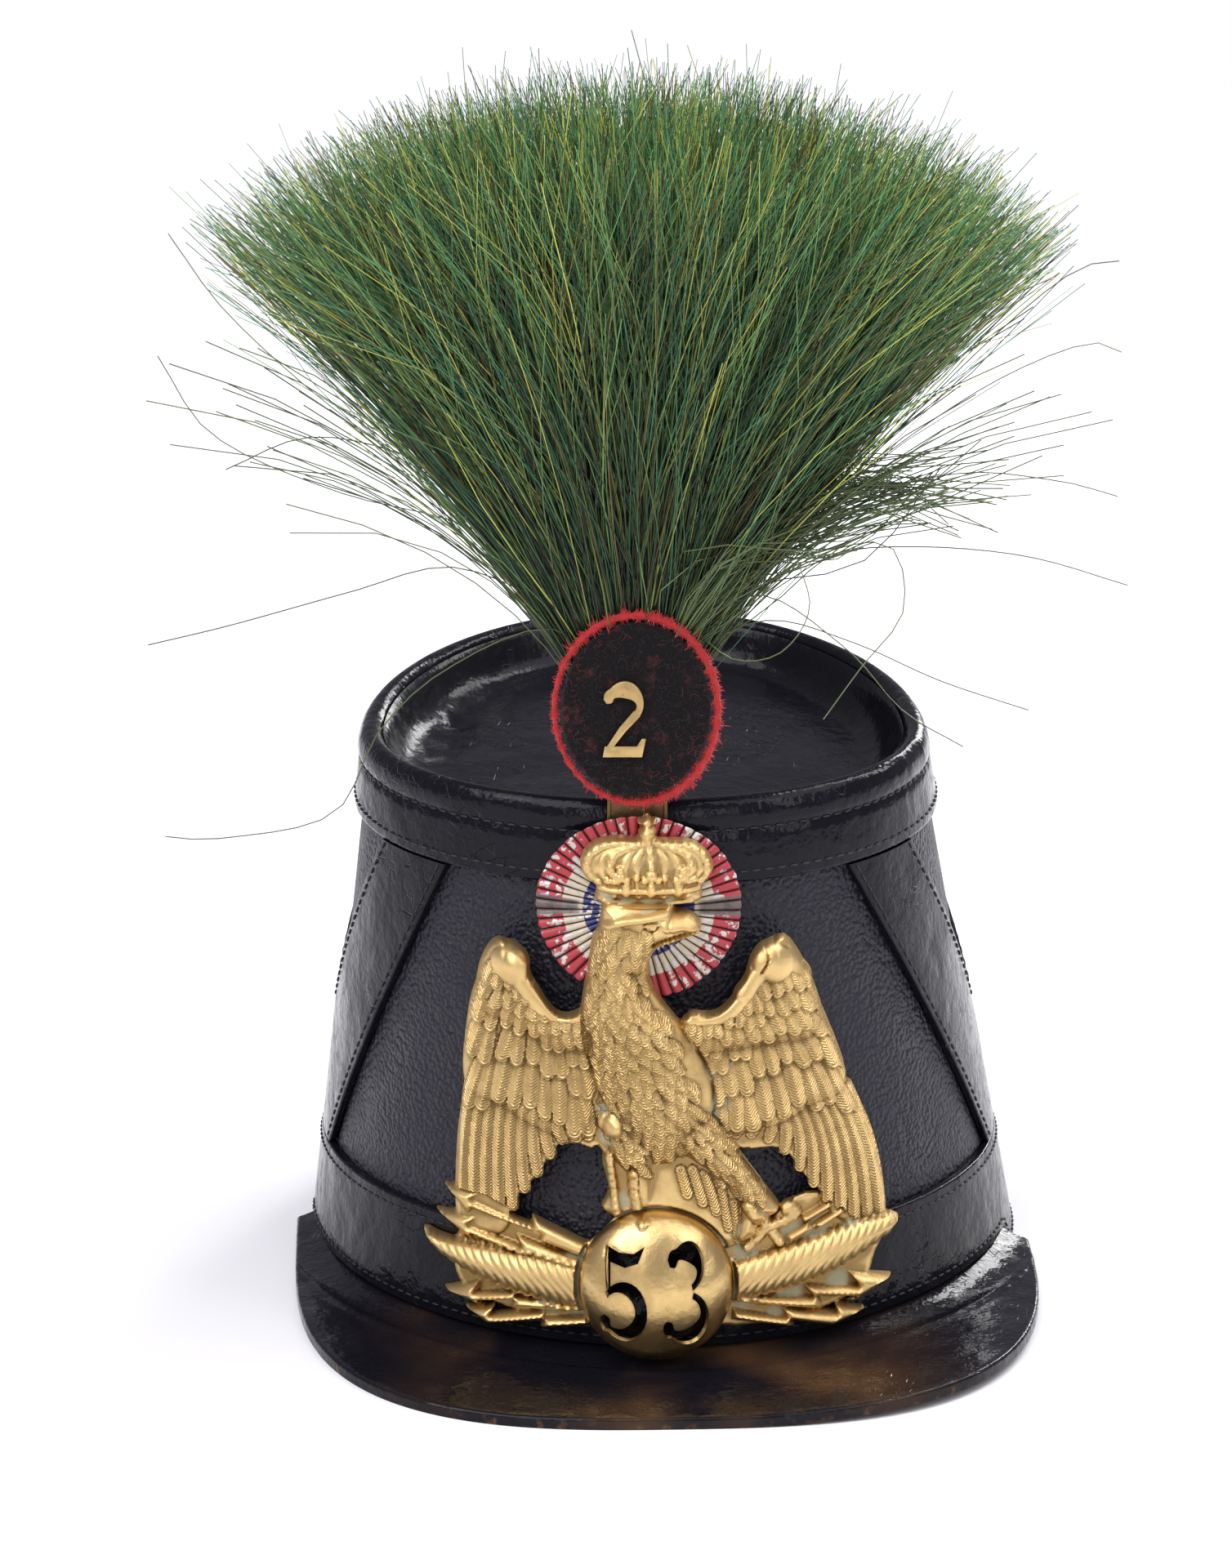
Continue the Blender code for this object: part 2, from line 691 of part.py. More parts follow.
def edge_distance(point, outline):
    """Distance from a point to an outline, negative outside it."""
    nearest = 1.0
    inside = False
    for start, end in zip(outline, outline[1:] + outline[:1]):
        along = end - start
        share = (point - start).dot(along) / along.length_squared
        share = min(max(share, 0.0), 1.0)
        nearest = min(nearest, (point - start - along * share).length)
        if (start.y > point.y) != (end.y > point.y):
            cross = start.x + (point.y - start.y) / along.y * along.x
            if cross > point.x:
                inside = not inside
    return nearest if inside else -nearest


def split_outline(outline, step):
    """The outline with its long sides divided."""
    points = []
    for start, end in zip(outline, outline[1:] + outline[:1]):
        pieces = max(round((end - start).length / step), 1)
        points += [start.lerp(end, index / pieces) for index in range(pieces)]
    return points


def shrink_outline(outline, inset):
    """The outline moved inwards, without the points that this would fold over."""
    moved = []
    for before, point, after in zip(outline[-1:] + outline[:-1], outline, outline[1:] + outline[:1]):
        along = (after - before).normalized()
        normal = Vector((-along.y, along.x))
        place = point + normal * inset
        if edge_distance(place, outline) < 0.0:
            place = point - normal * inset
        if edge_distance(place, outline) > 0.9 * inset:
            moved.append(place)
    return moved


def grid_points(low, high, step):
    """Points of a staggered grid that fills a box."""
    points = []
    rows = math.ceil((high.y - low.y) / (step * 0.87))
    columns = math.ceil((high.x - low.x) / step)
    for row in range(rows + 1):
        start = low.x + (step / 2.0 if row % 2 else 0.0)
        for column in range(columns + 1):
            points.append(Vector((start + column * step, low.y + row * step * 0.87)))
    return points


def fill_loops(loops, extra, keep):
    """Triangles over loops and extra points, where keep says so."""
    points = []
    edges = []
    for loop in loops:
        start = len(points)
        points += loop
        edges += [(start + index, start + (index + 1) % len(loop)) for index in range(len(loop))]
    result = delaunay_2d_cdt(points + extra, edges, [], 0, 1.0e-6)
    flat = result[0]
    faces = [tuple(face) for face in result[2]
             if keep(sum((flat[index] for index in face), Vector((0.0, 0.0))) / len(face))]
    used = sorted({index for face in faces for index in face})
    place = {index: order for order, index in enumerate(used)}
    return [flat[index] for index in used], [tuple(place[i] for i in face) for face in faces]


def join_loops(edges):
    """Closed loops of indices from directed edges."""
    after = dict(edges)
    loops = []
    while after:
        start, step = after.popitem()
        loop = [start]
        while step != start:
            loop.append(step)
            step = after.pop(step)
        loops.append(loop)
    return loops


def stand_off(x, z):
    """Offset of the plate's back: it steps over the bands and the cockade."""
    across = (x - COCKADE_X) / (COCKADE_WIDTH / 2.0)
    up = (z - COCKADE_Z) / (COCKADE_HEIGHT / 2.0)
    away = math.hypot(across, up)
    low = GAP + BAND_THICKNESS + PLATE_CLEARANCE
    high = cockade_offset() + COCKADE_THICKNESS + COCKADE_PLEAT + PLATE_CLEARANCE
    return mix(high, low, smooth_step(away, 1.15, 1.9))


def make_eagle_plate(brass):
    """The crowned eagle on thunderbolts, open between its wings and legs."""
    parts = [(kind, [plate_place(*point) for point in outline]) for kind, outline in plate_parts()]
    ball = Vector((BALL_X, BALL_Z))
    opening = BALL_RADIUS - BALL_LAP
    hole = [ball + opening * Vector((math.sin(a), math.cos(a))) for a in turns(28)]

    def covered(point):
        if edge_distance(point, hole) > 0.0:
            return False
        return any(edge_distance(point, outline) > 0.0 for _, outline in parts)

    def relief(x, z):
        point = Vector((x, z))
        height = 0.0
        unit = PLATE_HEIGHT / 100.0
        for kind, outline in parts:
            inward = edge_distance(point, outline)
            if inward > -1.0e-5:
                edge, rise, width = RELIEF[kind]
                share = min(max(inward - PLATE_BEVEL, 0.0) / (width * unit), 1.0)
                bevel = min(max(inward, 0.0) / PLATE_BEVEL, 1.0)
                swell = edge * bevel + rise * math.sin(share * math.pi / 2.0)
                height = max(height, swell * PLATE_RELIEF)
        # The relief dies down where the ball's edge covers it
        away = (point - ball).length - BALL_RADIUS
        return min(height, mix(BALL_GROUND, PLATE_RELIEF, smooth_step(away, GAP, BALL_MARGIN)))

    loops = [split_outline(outline, PLATE_EDGE_STEP) for _, outline in parts] + [hole]
    stepped = ("wing", "coverts", "arm", "body", "head", "crown", "leg", "bundle")
    inner = [point for kind, outline in parts if kind in stepped
             for point in shrink_outline(split_outline(outline, PLATE_EDGE_STEP), PLATE_BEVEL)]
    low = Vector((min(p.x for loop in loops for p in loop), PLATE_BOTTOM_Z))
    high = Vector((max(p.x for loop in loops for p in loop), PLATE_BOTTOM_Z + PLATE_HEIGHT))

    def clear_of(points, others, distance):
        return [p for p in points if all((p - q).length > distance for q in others)]

    edge_points = [point for loop in loops for point in loop]
    inner = clear_of(inner, edge_points, 0.6 * PLATE_BEVEL)
    grid = clear_of(grid_points(low, high, PLATE_GRID), edge_points + inner, 0.55 * PLATE_GRID)
    flat, faces = fill_loops(loops, inner + grid, covered)
    border = join_loops(border_edges(faces))
    back_loops = [[flat[index] for index in loop] for loop in border]
    back_edge = [point for loop in back_loops for point in loop]
    back_grid = grid_points(low, high, PLATE_BACK_GRID)
    back_grid = clear_of(back_grid, back_edge, 0.4 * PLATE_BACK_GRID)
    back_flat, back_faces = fill_loops(back_loops, back_grid, covered)

    verts = [front_point(x, z, stand_off(x, z) + PLATE_THICKNESS + relief(x, z)) for x, z in flat]
    count = len(verts)
    verts += [front_point(x, z, stand_off(x, z)) for x, z in back_flat]
    solid = list(faces)
    solid += [tuple(index + count for index in reversed(face)) for face in back_faces]
    ends = {nearest: count + index for index, point in enumerate(back_flat)
            for nearest in [match_point(point, border, flat)] if nearest is not None}
    for a, b in border_edges(faces):
        solid += [(b, a, ends[a]), (b, ends[a], ends[b])]
    return make_object("eagle_plate", verts, solid, brass)


def match_point(point, border, flat):
    """Index of the border point at the same place, if there is one."""
    for loop in border:
        for index in loop:
            if (flat[index] - point).length < 1.0e-6:
                return index
    return None


# Digits: each stroke is a path with half widths, in shares of the digit's box


def arc(centre, radius, start, end, steps=14):
    """Points of an arc, in degrees from the right."""
    points = []
    for index in range(steps + 1):
        angle = math.radians(mix(start, end, index / steps))
        points.append(Vector((centre[0] + radius[0] * math.cos(angle),
                              centre[1] + radius[1] * math.sin(angle))))
    return points


def stroke(path, thin, thick, ball=0.0):
    """The outline of a pen stroke that swells in the middle and may end in a ball."""
    lengths = [0.0]
    for before, after in zip(path, path[1:]):
        lengths.append(lengths[-1] + (after - before).length)
    total = lengths[-1]
    left = []
    right = []
    for index, point in enumerate(path):
        before = path[max(index - 1, 0)]
        after = path[min(index + 1, len(path) - 1)]
        along = (after - before).normalized()
        across = Vector((-along.y, along.x))
        half = mix(thin, thick, math.sin(math.pi * lengths[index] / total) ** 2)
        from_ball = total - ball - lengths[index]
        if abs(from_ball) < ball:
            half = max(half if from_ball > 0.0 else 0.0, math.sqrt(ball ** 2 - from_ball ** 2))
        left.append(point + across * half)
        right.append(point - across * max(half, 0.002))
    return left + right[::-1]


def digit_five():
    """A stencil five: a flag on a stem, and a bowl that ends in a ball."""
    flag = [Vector(p) for p in ((0.16, 0.56), (0.16, 0.98), (0.40, 0.93), (0.66, 0.93),
                                (0.86, 1.0), (0.74, 0.84), (0.50, 0.79), (0.24, 0.83),
                                (0.24, 0.56))]
    bowl = stroke(arc((0.44, 0.33), (0.36, 0.26), 140.0, -165.0, 16), 0.035, 0.11, 0.10)
    return [flag, bowl]


def digit_three():
    """A stencil three: two bowls that end in balls and don't meet."""
    upper = stroke(arc((0.44, 0.76), (0.28, 0.19), -62.0, 165.0, 14), 0.035, 0.10, 0.09)
    lower = stroke(arc((0.44, 0.29), (0.36, 0.24), 66.0, -165.0, 16), 0.035, 0.11, 0.10)
    return [upper, lower]


def digit_two():
    """A two with a ball, a slanting stem and a foot."""
    bow = stroke(arc((0.48, 0.74), (0.34, 0.22), -35.0, 175.0, 14), 0.06, 0.12, 0.10)
    stem = [Vector(p) for p in ((0.10, 0.10), (0.18, 0.06), (0.52, 0.36), (0.82, 0.58),
                                (0.70, 0.66), (0.40, 0.42))]
    foot = [Vector(p) for p in ((0.06, 0.0), (0.86, 0.0), (0.94, 0.26), (0.86, 0.26),
                                (0.76, 0.15), (0.10, 0.15))]
    return [bow, stem, foot]


def place_strokes(strokes, centre, width, height):
    """Strokes in metres about a centre."""
    corner = centre - Vector((width, height)) / 2.0
    return [[corner + Vector((p.x * width, p.y * height)) for p in loop] for loop in strokes]


def make_letter(name, strokes, front_y, back_y, material):
    """One solid of the joined strokes, between two upright planes."""
    def covered(point):
        return any(edge_distance(point, loop) > 0.0 for loop in strokes)

    flat, faces = fill_loops(strokes, [], covered)
    return make_sheet(name, [tuple(point) for point in flat], faces,
                      lambda x, z: Vector((x, front_y, z)),
                      lambda x, z: Vector((x, back_y, z)), material)


def ball_base():
    """Offset of the number ball's edge, in front of the plate round its opening."""
    ground = GAP + BAND_THICKNESS + PLATE_CLEARANCE + PLATE_THICKNESS
    return ground + BALL_GROUND + GAP


def make_number_ball(brass):
    """The dome, with the digits cut through it."""
    def ring(radius, rise):
        points = []
        for angle in turns(BALL_COLUMNS):
            x = BALL_X + radius * math.sin(angle)
            z = BALL_Z + radius * math.cos(angle)
            middle = front_point(BALL_X, z, ball_base())
            points.append(Vector((x, middle.y - rise, z)))
        return points

    def dome(radius, depth, steps):
        rings = []
        for step in range(1, steps + 1):
            angle = math.pi / 2.0 * step / steps
            rings.append(ring(radius * math.sin(angle), depth * math.cos(angle)))
        return rings

    crown = ring(0.0, BALL_DEPTH)[:1]
    hollow = ring(0.0, BALL_DEPTH - BALL_THICKNESS)[:1]
    outer = dome(BALL_RADIUS, BALL_DEPTH, BALL_RINGS)
    inner = dome(BALL_RADIUS - BALL_THICKNESS, BALL_DEPTH - BALL_THICKNESS, BALL_RINGS)
    ball = make_skin("number_ball", [crown] + outer + inner[::-1] + [hollow], brass)
    front = crown[0].y - BALL_DEPTH
    back = crown[0].y + BALL_DEPTH + 3.0 * BALL_THICKNESS
    for order, (label, digit) in enumerate((("left_digit", digit_five), ("right_digit", digit_three))):
        centre = Vector((BALL_X + (order - 0.5) * DIGIT_SPACING, BALL_Z))
        for number, loop in enumerate(place_strokes(digit(), centre, DIGIT_WIDTH, DIGIT_HEIGHT)):
            name = "{}_cutter_{}".format(label, number)
            add_cut(ball, make_letter(name, [loop], front, back, brass))
    return ball


# Disc and plume


def disc_back_y():
    """The y of the disc's back, in front of the holder's flanges."""
    return holder_y() - HOLDER_FLANGE - GAP


def disc_ring(margin, y):
    """Points of the disc's oval, inside its full outline by a margin."""
    half_width = DISC_WIDTH / 2.0 - margin
    half_height = DISC_HEIGHT / 2.0 - margin
    return [Vector((DISC_X + half_width * math.sin(a), y, DISC_Z + half_height * math.cos(a)))
            for a in turns(DISC_COLUMNS)]


def make_disc(felt):
    """The flat felt-covered oval."""
    margin = 2.0 * EDGING_RADIUS + GAP
    back = disc_back_y()
    front = back - DISC_THICKNESS
    bevel = DISC_THICKNESS / 4.0
    rows = [
        [Vector((DISC_X, front, DISC_Z))],
        disc_ring(margin + bevel, front),
        disc_ring(margin, front + bevel),
        disc_ring(margin, back),
        [Vector((DISC_X, back, DISC_Z))],
    ]
    return make_skin("pompom_disc", rows, felt)


def make_disc_edging(chenille):
    """The round edging that frames the disc."""
    y = disc_back_y() - DISC_THICKNESS / 2.0
    rows = []
    for angle in turns(EDGING_SIDES):
        margin = EDGING_RADIUS * (1.0 - math.cos(angle))
        rows.append(disc_ring(margin, y + EDGING_RADIUS * math.sin(angle)))
    return make_skin("disc_edging", rows, chenille, closed=True)


def make_disc_number(brass):
    """The brass number on the disc."""
    centre = Vector((DISC_X + NUMBER_X, DISC_Z + NUMBER_Z))
    strokes = place_strokes(digit_two(), centre, NUMBER_WIDTH, NUMBER_HEIGHT)
    back = disc_back_y() - DISC_THICKNESS - GAP
    return make_letter("disc_number", strokes, back - NUMBER_THICKNESS, back, brass)


def plume_centre():
    """The foot of the plume, behind the holder."""
    y = holder_y() + GAP + PLUME_NECK_DEPTH * (1.0 + PLUME_LOCK_RELIEF)
    return Vector((DISC_X, y, PLUME_NECK_Z))


def plume_point(across, ahead, along, length=PLUME_LENGTH):
    """A point of the hair that leaves the neck at (across, ahead), at a share along it."""
    side = across * PLUME_SIDE_FAN
    front = ahead * (PLUME_FRONT_FAN if ahead > 0.0 else PLUME_BACK_FAN)
    root = Vector((across * PLUME_NECK_WIDTH, -ahead * PLUME_NECK_DEPTH, 0.0))
    tip = Vector((math.sin(side), -math.sin(front), 0.0))
    tip.z = math.sqrt(1.0 - tip.x ** 2 - tip.y ** 2)
    tip *= length
    rise = root + Vector((0.0, 0.0, 0.12 * length))
    # In front the hairs stay upright until they are above the disc
    lean = 0.0 if ahead > 0.0 else 0.2
    bend = Vector((0.3 * tip.x, lean * tip.y, 0.39 * length))
    back = 1.0 - along
    point = root * back ** 3 + rise * (3.0 * back ** 2 * along)
    point += bend * (3.0 * back * along ** 2) + tip * along ** 3
    return plume_centre() + point


def make_plume(horsehair):
    """The fan of locks, joined at the bound neck."""
    columns = 4 * PLUME_LOCKS
    angles = turns(columns)

    def ring(spread, along, length):
        points = []
        for index, angle in enumerate(angles):
            lock = math.cos(2.0 * math.pi * index / 4.0)
            reach = spread * (1.0 + PLUME_LOCK_RELIEF * lock * along)
            grown = length * (1.0 + 0.4 * PLUME_LOCK_RELIEF * lock)
            points.append(plume_point(reach * math.sin(angle), reach * math.cos(angle),
                                      along, grown if along == 1.0 else PLUME_LENGTH))
        return points

    rows = [[plume_point(0.0, 0.0, 0.0)]]
    rows += [ring(0.93, share, PLUME_LENGTH) for share in (0.0, 0.15, 0.3, 0.45, 0.6, 0.75, 0.88)]
    rows += [ring(spread, 1.0, PLUME_LENGTH) for spread in (0.93, 0.66, 0.33)]
    rows.append([plume_point(0.0, 0.0, 1.0)])
    return make_skin("plume", rows, horsehair)


def main():
    """Build every piece."""
    clear_scene()
    grained = make_material("grained_leather", (0.018, 0.018, 0.024), 0.45)
    patent = make_material("patent_leather", (0.008, 0.008, 0.010), 0.15)
    brass = make_material("stamped_brass", (0.72, 0.50, 0.20), 0.32, 1.0)
    tin = make_material("painted_tin", (0.55, 0.12, 0.14), 0.4)
    felt = make_material("black_felt", (0.012, 0.010, 0.011), 0.95)
    chenille = make_material("red_chenille", (0.75, 0.03, 0.03), 0.9)
    horsehair = make_material("green_horsehair", (0.05, 0.18, 0.06), 0.5)
    make_body(grained)
    make_top_panel(patent)
    make_top_band(patent)
    make_bottom_band(patent)
    make_side_strip("side_strip_left", -1.0, patent)
    make_side_strip("side_strip_right", 1.0, patent)
    make_peak(patent)
    make_plume_holder(brass)
    make_cockade(tin)
    make_eagle_plate(brass)
    make_number_ball(brass)
    make_disc(felt)
    make_disc_edging(chenille)
    make_disc_number(brass)
    make_plume(horsehair)


main()
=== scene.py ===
"""Looks of the leather shako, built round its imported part.

It makes the grained and patent leather, the stitching, the pressed brass plate and
ball, the pleated tin cockade, the felt disc with its chenille edging, the horsehair
plume, and a plain studio. Sizes are in metres unless a name ends in _MM.
The front faces -Y, Z is up, and the origin is the centre of the head opening.
"""
import math
from functools import partial

import bpy
import numpy as np
from mathutils.geometry import delaunay_2d_cdt
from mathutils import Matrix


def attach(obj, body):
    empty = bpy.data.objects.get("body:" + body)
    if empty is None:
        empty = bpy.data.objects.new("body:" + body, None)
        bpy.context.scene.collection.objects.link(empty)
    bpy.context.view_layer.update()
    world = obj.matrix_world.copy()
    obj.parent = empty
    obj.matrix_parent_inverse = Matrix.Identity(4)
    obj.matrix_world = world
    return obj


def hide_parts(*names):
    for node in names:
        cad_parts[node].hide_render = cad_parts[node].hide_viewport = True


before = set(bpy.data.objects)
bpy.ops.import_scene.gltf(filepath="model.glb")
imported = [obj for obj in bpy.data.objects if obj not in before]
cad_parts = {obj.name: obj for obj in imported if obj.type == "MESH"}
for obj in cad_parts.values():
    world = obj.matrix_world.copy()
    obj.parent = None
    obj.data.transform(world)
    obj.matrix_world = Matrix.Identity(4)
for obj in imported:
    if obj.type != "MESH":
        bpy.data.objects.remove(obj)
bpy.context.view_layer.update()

bl_info = {
    "name": "Shako looks",
    "version": (1, 0, 0),
    "blender": (4, 5, 0),
    "location": "View3D > Sidebar > Shako",
    "description": "Builds the visible pieces of a leather shako round its packed part",
    "category": "Object",
}

BODY = "root"
MM = 0.001

# Clearance between two pieces that touch on the real hat
GAP = 0.0003

# Body: two half ovals at the base and two at the rim, joined by straight walls
BASE_WIDTH = 0.1628
BASE_REACH = 0.0999
RIM_WIDTH = 0.1232
RIM_FRONT = 0.054
RIM_BACK = 0.074
RIM_CENTRE_Y = -0.038
RIM_LEAN = -0.0049
RIM_HEIGHT = 0.126
RIM_TILT = math.radians(6.0)
RIM_SADDLE = 0.0015
BODY_WALL = 0.0022
RING_COLUMNS = 240

# Top panel, bands and strips
PANEL_THICKNESS = 0.0012
PANEL_DEPTH = 0.0092
PANEL_CROWN = 0.0008
BAND_THICKNESS = 0.0018
TOP_BAND_HEIGHT = 0.0168
BOTTOM_BAND_HEIGHT = 0.0295
STRIP_THICKNESS = 0.0015
STRIP_CLEARANCE = 0.0005
STRIP_TOP_OUTER = math.radians(42.0)
STRIP_TOP_INNER = math.radians(63.0)
STRIP_FOOT_OUTER = math.radians(76.0)
STRIP_MIDDLE = math.radians(90.0)
STRIP_CROTCH = 0.36
STRIP_REAR_SPREAD = 1.3
# How far the top band's foot hangs below its height
TOP_BAND_FOOT = 0.0002
# Reach of the wall behind the strips, which turns angles into widths
STRIP_WALL_REACH = 0.075

# Seams: how far they lie below or inside an edge, and how far off the wall
BEAD_SEAM_DROP = 0.0053
BEAD_SEAM_OFFSET = 0.0018
TOP_SEAM_DROP = 0.0146
BOTTOM_SEAM_DROP = 0.0024
FOOT_SEAM_RISE = 0.0022
STRIP_SEAM_INSET = 0.0022
BAND_SEAM_OFFSET = 0.0022
WORN_SEAM_OFFSET = 0.0024

# Peak
PEAK_THICKNESS = 0.0026
PEAK_REACH = 0.137
PEAK_HALF_WIDTH = 0.0855
PEAK_SHOULDER_Y = -0.020
PEAK_SQUARENESS = 3.0
PEAK_CENTRE_X = -0.0015
PEAK_TURN = math.radians(2.5)
PEAK_LEFT_END = math.radians(-86.0)
PEAK_RIGHT_END = math.radians(75.0)
PEAK_SEAM_RISE = 0.0026
PEAK_COVE = 0.010
PEAK_RIGHT_LIFT = 0.0020

# Holder
HOLDER_X = -0.0065
HOLDER_WIDTH = 0.0130
HOLDER_THICKNESS = 0.0008
HOLDER_FLANGE = 0.0012
HOLDER_DROP = 0.0270
HOLDER_RISE = 0.0240

# Eagle plate and number ball
PLATE_HEIGHT = 0.1180
PLATE_BOTTOM_Z = 0.0080
PLATE_THICKNESS = 0.0010
PLATE_CLEARANCE = 0.0005
PLATE_RELIEF = 0.0080
PERCENT = PLATE_HEIGHT / 100.0
WING_INSET = 0.0011
BALL_X = -0.0023
BALL_Z = 0.0212
BALL_RADIUS = 0.0170
BALL_DEPTH = 0.0098
BALL_THICKNESS = 0.0008
BALL_GROUND = 0.0012
BALL_MARGIN = 0.0025
BALL_LAP = 0.0025
DIGIT_HEIGHT = 0.0215
DIGIT_WIDTH = 0.0120
DIGIT_SPACING = 0.0138

# Cockade
COCKADE_X = -0.0062
COCKADE_WIDTH = 0.0446
COCKADE_HEIGHT = 0.0405
CROWN_OVER_COCKADE = 0.00055
COCKADE_Z = PLATE_BOTTOM_Z + PLATE_HEIGHT - CROWN_OVER_COCKADE - COCKADE_HEIGHT / 2.0
COCKADE_THICKNESS = 0.0009
COCKADE_PLEAT = 0.0006
COCKADE_PLEATS = 54
COCKADE_PLEAT_POINTS = 12

# Felt disc, its edging and its number
DISC_X = -0.0068
DISC_WIDTH = 0.0374
DISC_HEIGHT = 0.0436
DISC_CLEARANCE = 0.0013
DISC_Z = PLATE_BOTTOM_Z + PLATE_HEIGHT + DISC_CLEARANCE + DISC_HEIGHT / 2.0
DISC_THICKNESS = 0.0030
EDGING_RADIUS = 0.0012
EDGING_TWISTS = 34.0
NUMBER_HEIGHT = 0.0155
NUMBER_WIDTH = 0.0105
NUMBER_THICKNESS = 0.0008
NUMBER_X = -0.0025
NUMBER_Z = -0.0022

# Plume
PLUME_NECK_RISE = 0.0067
PLUME_NECK_Z = DISC_Z - DISC_HEIGHT / 2.0 + PLUME_NECK_RISE
PLUME_LENGTH = 0.1500
PLUME_NECK_WIDTH = 0.0075
PLUME_NECK_DEPTH = 0.0048
PLUME_SIDE_FAN = math.radians(38.0)
PLUME_FRONT_FAN = math.radians(17.0)
PLUME_BACK_FAN = math.radians(22.0)
PLUME_LOCK_RELIEF = 0.07

# Camera, found from the photograph, and the studio
CAMERA_PLACE = (-0.01109, -1.2172, 0.42257)
CAMERA_PITCH = math.radians(75.481)
CAMERA_LENS = 123.47
CAMERA_SENSOR = 36.0
SUN_WIDTH = math.radians(50.0)
LIGHT_TINT = (0.97, 0.95, 1.0)
SURROUND_COLOUR = (0.86, 0.86, 1.0, 1.0)
FLOOR_HALF = 6.0
BOX_SIZE = (0.25, 0.7)
BOX_TARGET = (0.0, -0.05, 0.12)
# Soft boxes: name, place and share of the set power
SOFT_BOXES = [
    ("left box", (-0.9, -0.6, 0.8), 1.0),
    ("right box", (0.9, -0.7, 0.7), 1.0),
    ("back box", (0.75, 0.35, 0.95), 3.0),
    ("rim box", (0.55, 1.0, 0.6), 3.5),
    ("near left box", (-0.50, -1.4, 0.55), 0.8),
    ("near right box", (0.55, -1.3, 0.55), 0.8),
]


# Settings that a user would change


def colour_setting(name, description, code):
    """A colour property with an sRGB default."""
    return bpy.props.FloatVectorProperty(
        name=name, description=description, default=srgb(code), size=4, subtype="COLOR",
        min=0.0, max=1.0)


def length_setting(name, description, default):
    """A length property in metres."""
    return bpy.props.FloatProperty(
        name=name, description=description, default=default, min=0.00001, precision=5,
        unit="LENGTH")


def light_setting(name, description, default):
    """A light's strength."""
    return bpy.props.FloatProperty(
        name=name, description=description, default=default, min=0.0)


def srgb(code):
    """Linear colour of an sRGB hex code."""
    values = [int(code[start:start + 2], 16) / 255.0 for start in (0, 2, 4)]
    linear = [v / 12.92 if v <= 0.04045 else ((v + 0.055) / 1.055) ** 2.4 for v in values]
    return (*linear, 1.0)


class LeatherSettings(bpy.types.PropertyGroup):
    """Leather and its stitching."""
    grained: colour_setting("Grained leather", "Colour of the body's leather", "17161c")
    patent: colour_setting("Patent leather", "Colour of the varnished leather", "121117")
    # The bare colour also paints the brown reflection of the brass on the peak
    bare: colour_setting("Bare leather", "Colour where the black has worn off", "6a4b2c")
    thread: colour_setting("Thread", "Colour of the waxed thread", "17161a")
    grain_size: length_setting("Grain size", "Width of one pebble of the grain", 0.0010)
    crackle_size: length_setting("Crackle size", "Width of one cell of varnish crackle", 0.0030)
    stitch_spacing: length_setting("Stitch spacing", "Distance from stitch to stitch", 0.0030)
    stitch_length: length_setting("Stitch length", "Length of one stitch", 0.0022)
    thread_radius: length_setting("Thread radius", "Radius of the thread", 0.00030)


class MetalSettings(bpy.types.PropertyGroup):
    """Brass."""
    brass: colour_setting("Brass", "Colour of the polished brass", "e3c385")
    tarnish: colour_setting("Tarnish", "Colour of the brass in its hollows", "8c7044")
    verdigris: colour_setting("Verdigris", "Colour of the pale dust in the hollows", "b4b79c")
    relief_step: length_setting("Relief step", "Grid step of the plate's relief", 0.00031)
    feather_half: length_setting("Feather half width", "Half width of a wing feather", 0.00145)


class TrimSettings(bpy.types.PropertyGroup):
    """Cockade paint, felt and chenille."""
    red: colour_setting("Cockade red", "Paint of the outer ring", "a8323c")
    cream: colour_setting("Cockade cream", "Paint of the middle ring", "c9bda6")
    blue: colour_setting("Cockade blue", "Paint of the centre", "23306a")
    felt: colour_setting("Felt", "Colour of the disc's felt", "120e10")
    chenille: colour_setting("Chenille", "Colour of the disc's edging", "d8060c")
    pile_count: bpy.props.IntProperty(
        name="Pile count", description="Fibres of the chenille edging", default=4200, min=10)


class PlumeSettings(bpy.types.PropertyGroup):
    """Horsehair."""
    hair_count: bpy.props.IntProperty(
        name="Hair count", description="Hairs of the plume", default=10300, min=100)
    hair_radius: length_setting("Hair radius", "Radius of one hair", 0.00016)
    seed: bpy.props.IntProperty(
        name="Seed", description="Start of the random numbers", default=7, min=0)


class StageSettings(bpy.types.PropertyGroup):
    """Floor and light."""
    floor: colour_setting("Floor", "Colour of the paper floor", "f6f6f6")
    key_strength: light_setting("Key light", "Strength of the light from the left", 2.1)
    fill_strength: light_setting("Fill light", "Strength of the light from the right", 1.1)
    box_power: light_setting("Soft boxes", "Power of each soft box, in watts", 1.6)
    surround_strength: light_setting("Surround", "Strength of the pale surround", 0.34)


# Small helpers


def mix(low, high, share):
    """The value at a share of the way from low to high."""
    return low + (high - low) * share


def smooth_step(value, low, high):
    """0 below low, 1 above high, with a soft ramp between."""
    share = np.clip((value - low) / (high - low), 0.0, 1.0)
    return share * share * (3.0 - 2.0 * share)


def turns(count):
    """Angles of one full turn."""
    return np.arange(count) * 2.0 * math.pi / count


def weld(points, faces, tolerance=1.0e-7):
    """Join points at the same place; returns points, faces and each new point's old index."""
    keys = np.round(points / tolerance).astype(np.int64)
    _, first, place = np.unique(keys, axis=0, return_index=True, return_inverse=True)
    place = place.reshape(-1)
    welded = []
    for face in faces:
        corners = []
        for index in place[np.asarray(face)]:
            if index not in corners:
                corners.append(int(index))
        if len(corners) > 2:
            welded.append(corners)
    return points[first], welded, first


